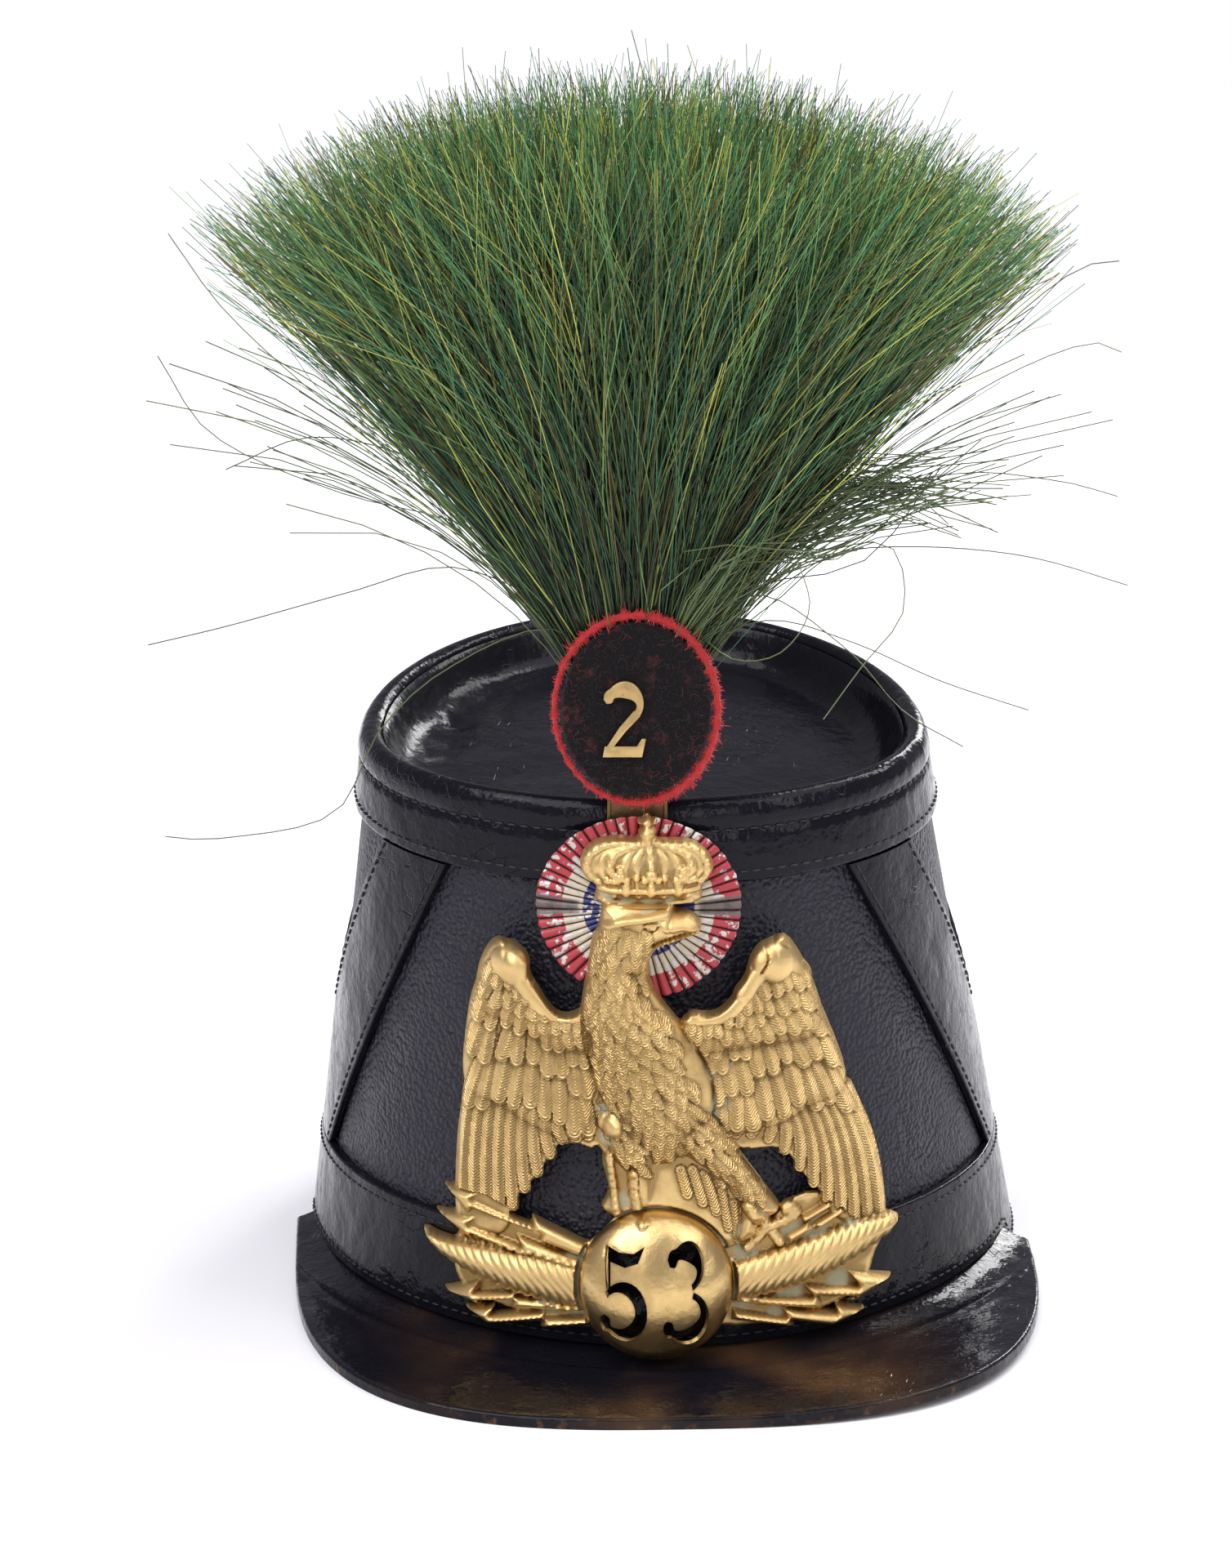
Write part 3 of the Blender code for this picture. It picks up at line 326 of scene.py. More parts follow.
def face_normals_sum(points, faces):
    """Six times the volume inside the faces, negative when they point inwards."""
    triangles = [(face[0], second, third) for face in faces
                 for second, third in zip(face[1:-1], face[2:])]
    corners = points[np.array(triangles)]
    return np.einsum("ij,ij->i", corners[:, 0], np.cross(corners[:, 1], corners[:, 2])).sum()


def add_object(name, data):
    """A new object in the scene."""
    item = bpy.data.objects.new(name, data)
    bpy.context.scene.collection.objects.link(item)
    return item


def set_values(mesh, attributes):
    """Give the mesh's points their named values."""
    for key, values in (attributes or {}).items():
        layer = mesh.attributes.new(key, "FLOAT", "POINT")
        layer.data.foreach_set("value", np.asarray(values, np.float32).reshape(-1))


def make_object(name, points, faces, material, attributes=None, sharp=None):
    """A mesh object whose faces point outwards."""
    points = np.asarray(points, float).reshape(-1, 3)
    faces = [list(map(int, face)) for face in faces]
    if face_normals_sum(points, faces) < 0.0:
        faces = [face[::-1] for face in faces]
    mesh = bpy.data.meshes.new(name)
    mesh.from_pydata(points.tolist(), [], faces)
    set_values(mesh, attributes)
    mesh.shade_smooth()
    if sharp is not None:
        mesh.set_sharp_from_angle(angle=math.radians(sharp))
    mesh.materials.append(material)
    return add_object(name, mesh)


def grid_faces(rows, columns, wrap_rows=False, wrap_columns=False):
    """Quads of a grid of points, joined end to end where asked."""
    row = np.arange(rows if wrap_rows else rows - 1)
    column = np.arange(columns if wrap_columns else columns - 1)
    row, column = np.meshgrid(row, column, indexing="ij")
    row_after = (row + 1) % rows
    column_after = (column + 1) % columns
    corners = [row * columns + column, row * columns + column_after,
               row_after * columns + column_after, row_after * columns + column]
    return np.stack(corners, -1).reshape(-1, 4)


def make_skin(name, rows, material, wrap_rows=False, attributes=None, sharp=None):
    """A closed surface through a grid of points; rows at one place become poles."""
    rows = np.asarray(rows, float)
    faces = grid_faces(rows.shape[0], rows.shape[1], wrap_rows, wrap_columns=True)
    points, faces, kept = weld(rows.reshape(-1, 3), faces)
    values = {key: np.asarray(value).reshape(-1)[kept]
              for key, value in (attributes or {}).items()}
    return make_object(name, points, faces, material, values, sharp)


def border_edges(faces):
    """Directed edges that only one face uses."""
    used = set()
    for face in faces:
        for start, end in zip(face, face[1:] + face[:1]):
            used.add((start, end))
    return [(start, end) for start, end in used if (end, start) not in used]


def make_sheet(name, front, back, faces, material, attributes=None, sharp=None):
    """A solid between two surfaces over the same faces."""
    count = len(front)
    solid = [list(face) for face in faces]
    solid += [[index + count for index in reversed(face)] for face in faces]
    solid += [[b, a, a + count, b + count] for a, b in border_edges([list(f) for f in faces])]
    values = {key: np.concatenate([value, value]) for key, value in (attributes or {}).items()}
    return make_object(name, np.concatenate([front, back]), solid, material, values, sharp)


def finish_piece(item, slot, *nodes):
    """Tie a finished piece to the frame."""
    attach(item, BODY)
    if nodes:
        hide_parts(*nodes)


def baked(item):
    """The object with its modifiers made part of its mesh."""
    graph = bpy.context.evaluated_depsgraph_get()
    mesh = bpy.data.meshes.new_from_object(item.evaluated_get(graph))
    mesh.name = item.name
    item.modifiers.clear()
    item.data = mesh
    return item


def bevelled(item, width, segments=2):
    """The object with rounded edges."""
    edge = item.modifiers.new("edges", "BEVEL")
    edge.width = width
    edge.segments = segments
    edge.limit_method = "ANGLE"
    edge.angle_limit = math.radians(40.0)
    baked(item)
    item.data.shade_smooth()
    item.data.set_sharp_from_angle(angle=math.radians(50.0))
    return item


# Surface of the body


def rim_height(theta):
    """Height of the rim above the base at a turn from the front."""
    reach = np.where(np.cos(theta) > 0.0, RIM_FRONT, RIM_BACK)
    back = RIM_FRONT - reach * np.cos(theta)
    return RIM_HEIGHT + back * math.tan(RIM_TILT) - RIM_SADDLE * np.sin(theta) ** 2


def wall_point(theta, height, offset=0.0):
    """Points of the body's outer face, moved outwards level by an offset."""
    theta, height, offset = np.broadcast_arrays(theta, height, offset)
    share = height / rim_height(theta)
    rim_reach = np.where(np.cos(theta) > 0.0, RIM_FRONT, RIM_BACK)
    half_width = mix(BASE_WIDTH, RIM_WIDTH, share) / 2.0
    reach = mix(BASE_REACH, rim_reach, share)
    sine = np.sin(theta)
    cosine = np.cos(theta)
    normal_x = reach * sine
    normal_y = -half_width * cosine
    length = np.hypot(normal_x, normal_y)
    x = RIM_LEAN * share + half_width * sine + normal_x / length * offset
    y = RIM_CENTRE_Y * share - reach * cosine + normal_y / length * offset
    return np.stack([x, y, height], axis=-1)


def front_point(x, z, offset):
    """Points in front of the body that are seen at x and z from the front."""
    x, z, offset = np.broadcast_arrays(x, z, offset)
    theta = np.zeros(x.shape)
    shift = np.zeros(x.shape)
    for _ in range(6):
        share = z / rim_height(theta)
        half_width = mix(BASE_WIDTH, RIM_WIDTH, share) / 2.0
        sine = (x - shift - RIM_LEAN * share) / half_width
        theta = np.arcsin(np.clip(sine, -0.98, 0.98))
        shift = wall_point(theta, z, offset)[..., 0] - wall_point(theta, z)[..., 0]
    return wall_point(theta, z, offset)


# Node helpers


def add_node(tree, kind, inputs=None, **settings):
    """Add a node, set its settings, and set or link its inputs."""
    node = tree.nodes.new(kind)
    for key, value in settings.items():
        setattr(node, key, value)
    for key, value in (inputs or {}).items():
        if isinstance(value, bpy.types.NodeSocket):
            tree.links.new(value, node.inputs[key])
        else:
            node.inputs[key].default_value = value
    return node


# Shader nodes by short name: kind, output, inputs in the order they are given, and settings
SHADER_NODES = {
    "noise": ("ShaderNodeTexNoise", "Fac", ("Scale", "Detail", "Roughness"), {}),
    "cells": ("ShaderNodeTexVoronoi", "Distance", ("Scale",), {}),
    "attribute": ("ShaderNodeAttribute", "Fac", (), {}),
    "ramp": ("ShaderNodeMapRange", "Result", ("Value", "From Min", "From Max", "To Min", "To Max"),
             {"interpolation_type": "SMOOTHSTEP"}),
    "mix": ("ShaderNodeMix", 2, (0, 6, 7), {"data_type": "RGBA"}),
    "bump": ("ShaderNodeBump", "Normal", ("Height", "Distance", "Normal"), {}),
    "add": ("ShaderNodeMath", 0, (0, 1), {"operation": "ADD"}),
    "subtract": ("ShaderNodeMath", 0, (0, 1), {"operation": "SUBTRACT"}),
    "multiply": ("ShaderNodeMath", 0, (0, 1), {"operation": "MULTIPLY"}),
    "multiply_add": ("ShaderNodeMath", 0, (0, 1, 2), {"operation": "MULTIPLY_ADD"}),
    "maximum": ("ShaderNodeMath", 0, (0, 1), {"operation": "MAXIMUM"}),
    "sine": ("ShaderNodeMath", 0, (0,), {"operation": "SINE"}),
}


def shader_node(tree, name, *values, **settings):
    """Add a node of the table and return its output; a pattern reads object coordinates.

    Scales are per metre, and bump distances are in metres.
    """
    kind, output, sockets, fixed = SHADER_NODES[name]
    node = add_node(tree, kind, dict(zip(sockets, values)), **fixed, **settings)
    if name in ("noise", "cells"):
        place = add_node(tree, "ShaderNodeTexCoord").outputs["Object"]
        tree.links.new(place, node.inputs["Vector"])
    return node.outputs[output]


def new_material(name, **values):
    """A material, a function that adds nodes to it, and its shader with plain values set."""
    material = bpy.data.materials.new(name)
    material.use_nodes = True
    tree = material.node_tree
    shader = tree.nodes["Principled BSDF"]
    for key, value in values.items():
        shader.inputs[key.replace("_", " ")].default_value = value
    return material, partial(shader_node, tree), shader


def join(shader, **sockets):
    """Link sockets to a shader's inputs."""
    for key, socket in sockets.items():
        shader.id_data.links.new(socket, shader.inputs[key.replace("_", " ")])


# Materials


def grained_leather(settings):
    """Boarded cowhide, dyed black and waxed: fine pebbles with a soft sheen."""
    material, add, shader = new_material("grained_leather", Specular_IOR_Level=0.30)
    pebble = add("cells", 1.0 / settings.grain_size, feature="SMOOTH_F1")
    patch = add("noise", 1.0 / 0.020, 4.0, 0.6)
    patchy = add("ramp", add("noise", 1.0 / 0.004, 3.0), 0.42, 0.6)
    wear = add("multiply", add("attribute", attribute_name="wear"), patchy)
    colour = add("mix", patch, settings.grained, (0.016, 0.016, 0.026, 1.0))
    normal = add("bump", pebble, -0.00070)
    normal = add("bump", add("noise", 1.0 / 0.0022, 3.0, 0.6), 0.00030, normal)
    normal = add("bump", add("noise", 1.0 / 0.030, 2.0), 0.0014, normal)
    join(shader, Base_Color=add("mix", wear, colour, settings.bare),
         Roughness=add("ramp", patch, 0.3, 0.7, 0.36, 0.50), Normal=normal)
    return material


def patent_leather(settings, name, gloss=0.15, brown=0.0, waves=1.0):
    """Cowhide under many coats of black varnish: wavy gloss, fine crackle, worn edges, and where asked a
    painted brown reflection of the brass.
    """
    material, add, shader = new_material(
        name, Specular_IOR_Level=0.11, Coat_Weight=0.10, Coat_Roughness=0.04)
    crack = add("cells", 1.0 / settings.crackle_size, feature="DISTANCE_TO_EDGE")
    line = add("ramp", crack, 0.0, 0.035, 1.0, 0.0)
    aged = add("ramp", add("noise", 1.0 / 0.022, 3.0), 0.54, 0.66)
    line = add("multiply", line, add("multiply", aged, waves))
    scuff = add("ramp", add("noise", 1.0 / 0.0035, 4.0, 0.65), 0.48, 0.68)
    wear = add("add", add("attribute", attribute_name="wear"), add("noise", 1.0 / 0.003, 4.0))
    wear = add("ramp", wear, 1.0, 1.3)
    # Painted reflection of the brass: a noisy brown tone in the bare leather's colour, laid where the
    # brown attribute is set, which only the peak carries
    tone = add("ramp", add("noise", 1.0 / 0.045, 3.0), 0.40, 0.75, 0.0, 1.0)
    tone = add("multiply", tone, add("multiply", add("attribute", attribute_name="brown"), brown))
    colour = add("mix", tone, settings.patent, settings.bare)
    normal = add("bump", add("noise", 1.0 / 0.030, 1.5), 0.0022 * waves)
    normal = add("bump", add("noise", 1.0 / 0.0060, 3.0, 0.6), 0.00055 * waves, normal)
    normal = add("bump", add("noise", 1.0 / 0.0016, 3.0, 0.6), 0.00004, normal)
    normal = add("bump", line, -0.00016, normal)
    rough = add("multiply_add", scuff, 0.20, gloss)
    rough = add("add", rough, add("multiply", wear, 0.35))
    join(shader, Base_Color=add("mix", wear, colour, settings.bare), Roughness=rough,
         Normal=normal, Coat_Normal=normal)
    return material


def thread_material(settings, name, colour):
    """Waxed linen thread: a dull sheen with the twist of its strands."""
    material, add, shader = new_material(name, Base_Color=colour, Roughness=0.55)
    join(shader, Normal=add("bump", add("noise", 1.0 / 0.0004, 2.0), 0.0001))
    return material


def brass_material(settings, name, roughness, aged=0.0):
    """Pressed brass with a gilt wash: satin gold, brown hollows, pale dust in places."""
    material, add, shader = new_material(name, Metallic=1.0)
    relief = add("attribute", attribute_name="relief")
    hollow = add("ramp", relief, -0.05, -0.8)
    crest = add("ramp", relief, 0.05, 0.6)
    cloud = add("noise", 1.0 / 0.006, 4.0, 0.6)
    speck = add("noise", 1.0 / 0.0011, 3.0, 0.7)
    colour = add("mix", add("ramp", cloud, 0.3, 0.75, 0.05, 0.5), settings.brass, settings.tarnish)
    colour = add("mix", add("multiply", hollow, 0.75), colour, settings.tarnish)
    colour = add("mix", add("multiply", crest, 0.55), colour, settings.brass)
    colour = add("mix", aged, colour, (0.075, 0.042, 0.020, 1.0))
    share = add("add", 0.40, add("multiply", hollow, 0.60))
    dust = add("multiply", add("attribute", attribute_name="dust"), share)
    dust = add("add", dust, add("multiply", speck, 0.5))
    pale = add("ramp", dust, 0.62, 1.05, 0.0, 0.65)
    barbs = add("sine", add("attribute", attribute_name="barb"))
    normal = add("bump", barbs, 0.00018)
    normal = add("bump", add("noise", 1.0 / 0.0022, 3.0), 0.00010, normal)
    normal = add("bump", speck, 0.00003, normal)
    rough = add("ramp", cloud, 0.25, 0.8, roughness, roughness + 0.12)
    rough = add("add", rough, add("multiply", pale, 0.4))
    join(shader, Base_Color=add("mix", pale, colour, settings.verdigris), Roughness=rough,
         Metallic=add("subtract", 1.0, pale), Normal=normal)
    return material


def cockade_material(settings):
    """Tinplate painted in three rings: the grooves and chips show bare grey metal."""
    material, add, shader = new_material("painted_tin")
    radius = add("attribute", attribute_name="radius")
    fold = add("attribute", attribute_name="fold")
    bare = add("attribute", attribute_name="bare")
    edge = add("add", radius, add("multiply", add("noise", 1.0 / 0.0015, 3.0), 0.03))
    colour = add("mix", add("ramp", edge, 0.552, 0.562), settings.blue, settings.cream)
    colour = add("mix", add("ramp", edge, 0.752, 0.762), colour, settings.red)
    groove = add("ramp", add("add", fold, add("noise", 1.0 / 0.0012, 4.0, 0.7)), 0.75, 0.15)
    chip = add("add", add("noise", 1.0 / 0.0030, 5.0, 0.65), add("multiply", fold, 0.03))
    chip = add("ramp", chip, 0.545, 0.57)
    colour = add("mix", chip, colour, (0.60, 0.55, 0.50, 1.0))
    colour = add("mix", add("multiply", groove, 0.9), colour, (0.13, 0.10, 0.085, 1.0))
    colour = add("mix", add("multiply", bare, 0.92), colour, (0.12, 0.10, 0.092, 1.0))
    colour = add("mix", add("ramp", fold, -1.05, -1.3), colour, (0.004, 0.004, 0.004, 1.0))
    metal = add("multiply", add("maximum", chip, groove), 0.6)
    normal = add("bump", chip, -0.00008)
    normal = add("bump", add("noise", 1.0 / 0.0008, 3.0), 0.00006, normal)
    join(shader, Base_Color=colour, Metallic=metal, Normal=normal,
         Roughness=add("ramp", add("noise", 1.0 / 0.003, 3.0), 0.3, 0.7, 0.34, 0.5))
    return material


def felt_material(settings):
    """Black wool felt over card: a dull, tangled surface with red lint on it."""
    material, add, shader = new_material(
        "black_felt", Roughness=0.95, Sheen_Weight=0.06, Specular_IOR_Level=0.2)
    lint = add("ramp", add("noise", 1.0 / 0.005, 5.0, 0.7), 0.56, 0.74, 0.0, 0.35)
    join(shader, Base_Color=add("mix", lint, settings.felt, (0.16, 0.045, 0.04, 1.0)),
         Normal=add("bump", add("noise", 1.0 / 0.0007, 5.0, 0.7), 0.0003))
    return material


def fibre_material(name, colour, dark, roughness=0.45, sheen=0.0):
    """Dyed hair or wool: each strand has its own tone between a dark and a pale colour; on the plume the
    tone also paints shade, dark towards the roots and paler at the tips.
    """
    material, add, shader = new_material(
        name, Roughness=roughness, Sheen_Weight=sheen, Specular_IOR_Level=0.55)
    join(shader, Base_Color=add("mix", add("attribute", attribute_name="tone"), dark, colour))
    return material


def floor_material(settings):
    """White studio paper."""
    material, add, shader = new_material(
        "studio_paper", Base_Color=settings.floor, Roughness=0.9, Specular_IOR_Level=0.1)
    join(shader, Normal=add("bump", add("noise", 1.0 / 0.002, 3.0), 0.00002))
    return material


# Geometry Nodes for what repeats


def new_tree(name, *numbers):
    """A geometry tree with named inputs."""
    tree = bpy.data.node_groups.new(name, "GeometryNodeTree")
    tree.interface.new_socket("Geometry", in_out="INPUT", socket_type="NodeSocketGeometry")
    for label, default in numbers:
        item = tree.interface.new_socket(label, in_out="INPUT", socket_type="NodeSocketFloat")
        item.default_value = default
    tree.interface.new_socket("Material", in_out="INPUT", socket_type="NodeSocketMaterial")
    tree.interface.new_socket("Geometry", in_out="OUTPUT", socket_type="NodeSocketGeometry")
    return tree, tree.nodes.new("NodeGroupInput").outputs


def end_tree(tree, geometry, material):
    """Realize the instances, set the material, and end the tree."""
    real = add_node(tree, "GeometryNodeRealizeInstances", {"Geometry": geometry})
    smooth = add_node(tree, "GeometryNodeSetShadeSmooth", {"Geometry": real.outputs[0]})
    made = add_node(tree, "GeometryNodeSetMaterial",
                    {"Geometry": smooth.outputs[0], "Material": material})
    add_node(tree, "NodeGroupOutput", {0: made.outputs[0]})
    return tree


def strand_tree():
    """Tubes along lines, as thick as the strand_radius that the lines carry."""
    tree, given = new_tree("strands", ("Thickness", 1.0))
    curve = add_node(tree, "GeometryNodeMeshToCurve", {"Mesh": given["Geometry"]})
    circle = add_node(tree, "GeometryNodeCurvePrimitiveCircle", {"Resolution": 3, "Radius": 1.0})
    radius = add_node(tree, "GeometryNodeInputNamedAttribute", {"Name": "strand_radius"},
                      data_type="FLOAT")
    scale = add_node(tree, "ShaderNodeMath", {0: radius.outputs[0], 1: given["Thickness"]},
                     operation="MULTIPLY")
    tube = add_node(tree, "GeometryNodeCurveToMesh",
                    {"Curve": curve.outputs[0], "Profile Curve": circle.outputs[0],
                     "Scale": scale.outputs[0], "Fill Caps": True})
    return end_tree(tree, tube.outputs[0], given["Material"])


def stitch_tree():
    """Short rounded stitches laid along lines."""
    tree, given = new_tree("stitches", ("Spacing", 0.003), ("Length", 0.0022), ("Radius", 0.0003))
    curve = add_node(tree, "GeometryNodeMeshToCurve", {"Mesh": given["Geometry"]})
    along = add_node(tree, "GeometryNodeCurveToPoints",
                     {"Curve": curve.outputs[0], "Length": given["Spacing"]}, mode="LENGTH")
    ball = add_node(tree, "GeometryNodeMeshUVSphere", {"Segments": 7, "Rings": 5, "Radius": 1.0})
    half = add_node(tree, "ShaderNodeMath", {0: given["Length"], 1: 0.5}, operation="MULTIPLY")
    size = add_node(tree, "ShaderNodeCombineXYZ",
                    {"X": given["Radius"], "Y": given["Radius"], "Z": half.outputs[0]})
    placed = add_node(tree, "GeometryNodeInstanceOnPoints",
                      {"Points": along.outputs["Points"], "Instance": ball.outputs["Mesh"],
                       "Rotation": along.outputs["Rotation"], "Scale": size.outputs[0]})
    return end_tree(tree, placed.outputs[0], given["Material"])


def run_tree(item, tree, material, **values):
    """Run a geometry tree on an object and keep the mesh that it makes."""
    step = item.modifiers.new(tree.name, "NODES")
    step.node_group = tree
    for socket in tree.interface.items_tree:
        if socket.in_out == "INPUT" and socket.name in values:
            step[socket.identifier] = values[socket.name]
        if socket.in_out == "INPUT" and socket.name == "Material":
            step[socket.identifier] = material
    return baked(item)


def make_lines(name, paths, attributes=None):
    """An object of edges along rows of points, all of one count or a list of rows."""
    points = np.concatenate([np.asarray(path, float) for path in paths])
    edges = []
    start = 0
    for path in paths:
        count = len(path)
        edges.append(np.stack([np.arange(count - 1), np.arange(1, count)], -1) + start)
        start += count
    mesh = bpy.data.meshes.new(name)
    mesh.from_pydata(points.tolist(), np.concatenate(edges).tolist(), [])
    set_values(mesh, attributes)
    return add_object(name, mesh)


def make_strands(name, paths, radius, tone, material):
    """Strands through (strand, point) arrays, with a radius and tone at each point."""
    item = make_lines(name, paths, {"strand_radius": radius, "tone": tone})
    return run_tree(item, strand_tree(), material, Thickness=1.0)


def make_stitches(name, paths, material, settings):
    """Stitches along rows of points."""
    item = make_lines(name, paths)
    return run_tree(item, stitch_tree(), material, Spacing=settings.stitch_spacing,
                    Length=settings.stitch_length, Radius=settings.thread_radius)


# Leather pieces


def ring_piece(name, profile, material, wear=None):
    """A closed ring whose section is given as heights and offsets at each turn."""
    theta = turns(RING_COLUMNS)
    heights, offsets = profile(theta)
    heights = np.stack(np.broadcast_arrays(*heights, theta)[:-1], -1)
    offsets = np.stack(np.broadcast_arrays(*offsets, theta)[:-1], -1)
    rows = wall_point(theta[:, None], heights, offsets)
    worn = np.zeros(heights.shape) if wear is None else wear(theta[:, None], heights, offsets)
    return make_skin(name, rows, material, wrap_rows=True, attributes={"wear": worn}, sharp=60.0)


def rounded_section(low, high, inner, outer, radius, levels):
    """Heights and offsets round a strap's section, with rounded outer corners."""
    heights = [low, low]
    offsets = [inner, outer - radius]
    for step in range(1, 4):
        angle = math.pi / 6.0 * step
        heights.append(low + radius * (1.0 - math.cos(angle)))
        offsets.append(outer - radius * (1.0 - math.sin(angle)))
    for level in range(1, levels):
        share = level / levels
        heights.append(mix(low + radius, high - radius, share))
        offsets.append(outer)
    for step in range(0, 4):
        angle = math.pi / 6.0 * step
        heights.append(high - radius * (1.0 - math.sin(angle)))
        offsets.append(outer - radius * (1.0 - math.cos(angle)))
    heights.append(high)
    offsets.append(inner)
    return heights, offsets


def make_body(material):
    """The open tube that goes round the head, with a bare brown lower edge."""
    def profile(theta):
        top = rim_height(theta)
        heights, offsets = rounded_section(0.0, top, -BODY_WALL, 0.0, 0.0006, 24)
        return heights, offsets

    def wear(theta, heights, offsets):
        inside = offsets < -0.5 * BODY_WALL
        return np.where(inside, 0.35, smooth_step(-heights, -0.0008, 0.0)) + 0.0 * theta
    return ring_piece("body_leather", profile, material, wear)


# Dents of the crown: turn and half width in degrees, share of the reach, and depth
PANEL_DENTS = [
    (-104.0, 4.5, 0.90, 0.0011), (-115.0, 3.5, 0.96, 0.0014), (-124.0, 4.0, 0.88, 0.0010),
    (-96.0, 3.0, 1.00, 0.0008), (-131.0, 5.0, 1.00, 0.0010), (62.0, 3.0, 1.02, 0.0007),
]


def panel_dents(theta, share):
    """How far the worn patches of the top panel are pushed in."""
    angle = np.degrees(signed_turn(theta))
    depth = np.zeros(np.broadcast(theta, share).shape)
    for centre, width, place, deep in PANEL_DENTS:
        reach = ((angle - centre) / width) ** 2 + ((share - place) / 0.09) ** 2
        depth = depth + deep * np.exp(-reach)
    return depth


# The crown's dished edge in millimetres from its floor up: offset from the wall and depth
DISH_SECTION_MM = [
    (-13.6, 9.2), (-11.8, 8.9), (-10.2, 8.2), (-8.8, 7.2), (-7.6, 6.0), (-6.6, 4.7),
    (-5.7, 3.4), (-4.9, 2.2), (-4.1, 1.1), (-3.4, 0.3), (-2.9, -0.1), (-2.7, 0.1),
]


def make_top_panel(material):
    """The sunken crown: a slightly crowned floor that curves up to the rim."""
    theta = turns(RING_COLUMNS)
    top = rim_height(theta)

    def ring(offset, depth):
        return wall_point(theta, top - depth, offset)

    def floor_ring(share, depth, dent):
        edge = ring(DISH_SECTION_MM[0][0] * MM, depth)
        points = mix(edge.mean(0), edge, share)
        points[:, 2] += PANEL_CROWN * (1.0 - share ** 2)
        points[:, 2] -= dent * panel_dents(theta, share)
        return points

    rows = [floor_ring(share, PANEL_DEPTH, 1.0) for share in np.linspace(0.0, 1.0, 15)]
    last = len(DISH_SECTION_MM) - 1
    for step, (offset, depth) in enumerate(DISH_SECTION_MM[1:], 1):
        push = panel_dents(theta, 1.0 + 0.04 * step) * min(1.0, 2.0 * (1.0 - step / last))
        rows.append(ring(offset * MM - push, depth * MM + 0.4 * push))
    # The underside follows at the leather's thickness, clear of the wall
    shift = PANEL_THICKNESS / math.sqrt(2.0)
    for offset, depth in DISH_SECTION_MM[-2::-1]:
        rows.append(ring(min(offset * MM + shift, -BODY_WALL - GAP), depth * MM + shift))
    rows += [floor_ring(share, PANEL_DEPTH + PANEL_THICKNESS, 0.0) for share in (0.9, 0.5, 0.0)]
    rows = np.array(rows)
    worn = np.zeros(rows.shape[:2])
    return make_skin("top_panel_leather", rows, material, attributes={"wear": worn}, sharp=60.0)


# Section of the top band: offset and height from the rim in millimetres, foot to lip
TOP_BAND_SECTION_MM = [
    (0.3, -16.8), (0.5, -17.0), (1.5, -17.0), (1.9, -16.8), (2.1, -16.2), (2.15, -12.0),
    (2.15, -8.0), (2.1, -6.1), (1.70, -5.5), (1.70, -5.1), (2.2, -4.4), (2.55, -3.2),
    (2.6, -2.0), (2.4, -0.7), (2.0, 0.4), (1.5, 1.1), (0.9, 1.6), (0.2, 1.8), (-0.5, 1.75),
    (-1.2, 1.5), (-1.9, 1.0), (-2.5, 0.4), (-2.6, 0.1), (-2.3, 0.0), (-0.5, 0.2), (0.3, 0.3),
]


def make_top_band(material):
    """The band round the rim: a stitched bead rolled over the wall and the upstand."""
    def profile(theta):
        top = rim_height(theta)
        heights = [top + height * MM for _, height in TOP_BAND_SECTION_MM]
        offsets = [offset * MM + 0.0 * theta for offset, _ in TOP_BAND_SECTION_MM]
        return heights, offsets

    def wear(theta, heights, offsets):
        angle = np.degrees(signed_turn(theta))
        lip = smooth_step(-offsets, 0.0016, 0.0024)
        rubbed = np.exp(-((angle + 28.0) / 14.0) ** 2)
        crest = np.exp(-((offsets + 0.0006) / 0.0012) ** 2) * (heights > 0.1)
        return lip * (0.25 + 0.55 * rubbed) + 0.22 * crest
    return ring_piece("top_band_leather", profile, material, wear)


def peak_lift(x):
    """How far the peak's right side stands up."""
    return PEAK_RIGHT_LIFT * smooth_step(x, 0.1 * PEAK_HALF_WIDTH, 0.8 * PEAK_HALF_WIDTH)


def peak_seam_height(theta):
    """Height of the peak's upper face where it meets the body."""
    return PEAK_THICKNESS + PEAK_SEAM_RISE + peak_lift(wall_point(theta, 0.0)[..., 0])


def signed_turn(theta):
    """The turn from the front, between minus and plus half a turn."""
    return (np.asarray(theta) + math.pi) % (2.0 * math.pi) - math.pi


def band_foot(theta):
    """Height of the bottom band's lower edge, which sits on the peak in front."""
    angle = signed_turn(theta)
    margin = math.radians(5.0)
    past_left = smooth_step(angle, PEAK_LEFT_END - margin, PEAK_LEFT_END - 0.2 * margin)
    past_right = smooth_step(-angle, -PEAK_RIGHT_END - margin, -PEAK_RIGHT_END - 0.2 * margin)
    return (peak_seam_height(theta) + GAP) * past_left * past_right


def make_bottom_band(material):
    """The band round the base."""
    def profile(theta):
        return rounded_section(band_foot(theta), BOTTOM_BAND_HEIGHT + 0.0 * theta,
                               GAP, GAP + BAND_THICKNESS, 0.0005, 6)

    def wear(theta, heights, offsets):
        low = smooth_step(band_foot(theta) + 0.0012 - heights, 0.0, 0.0012)
        high = smooth_step(heights, BOTTOM_BAND_HEIGHT - 0.0012, BOTTOM_BAND_HEIGHT)
        return 0.34 * low + 0.22 * high
    return ring_piece("bottom_band_leather", profile, material, wear)


def strip_point(side, theta, share, offset):
    """A point of a side strip, at a share of the height between the bands."""
    foot = BOTTOM_BAND_HEIGHT + GAP
    top = rim_height(theta) - TOP_BAND_HEIGHT - TOP_BAND_FOOT - GAP
    return wall_point(side * theta, mix(foot, top, share), offset)


def strip_edges(share):
    """Outer and inner turn of a strip's front arm."""
    outer = mix(STRIP_FOOT_OUTER, STRIP_TOP_OUTER, share)
    rise = np.maximum(share - STRIP_CROTCH, 0.0) / (1.0 - STRIP_CROTCH)
    return outer, mix(STRIP_MIDDLE, STRIP_TOP_INNER, rise)


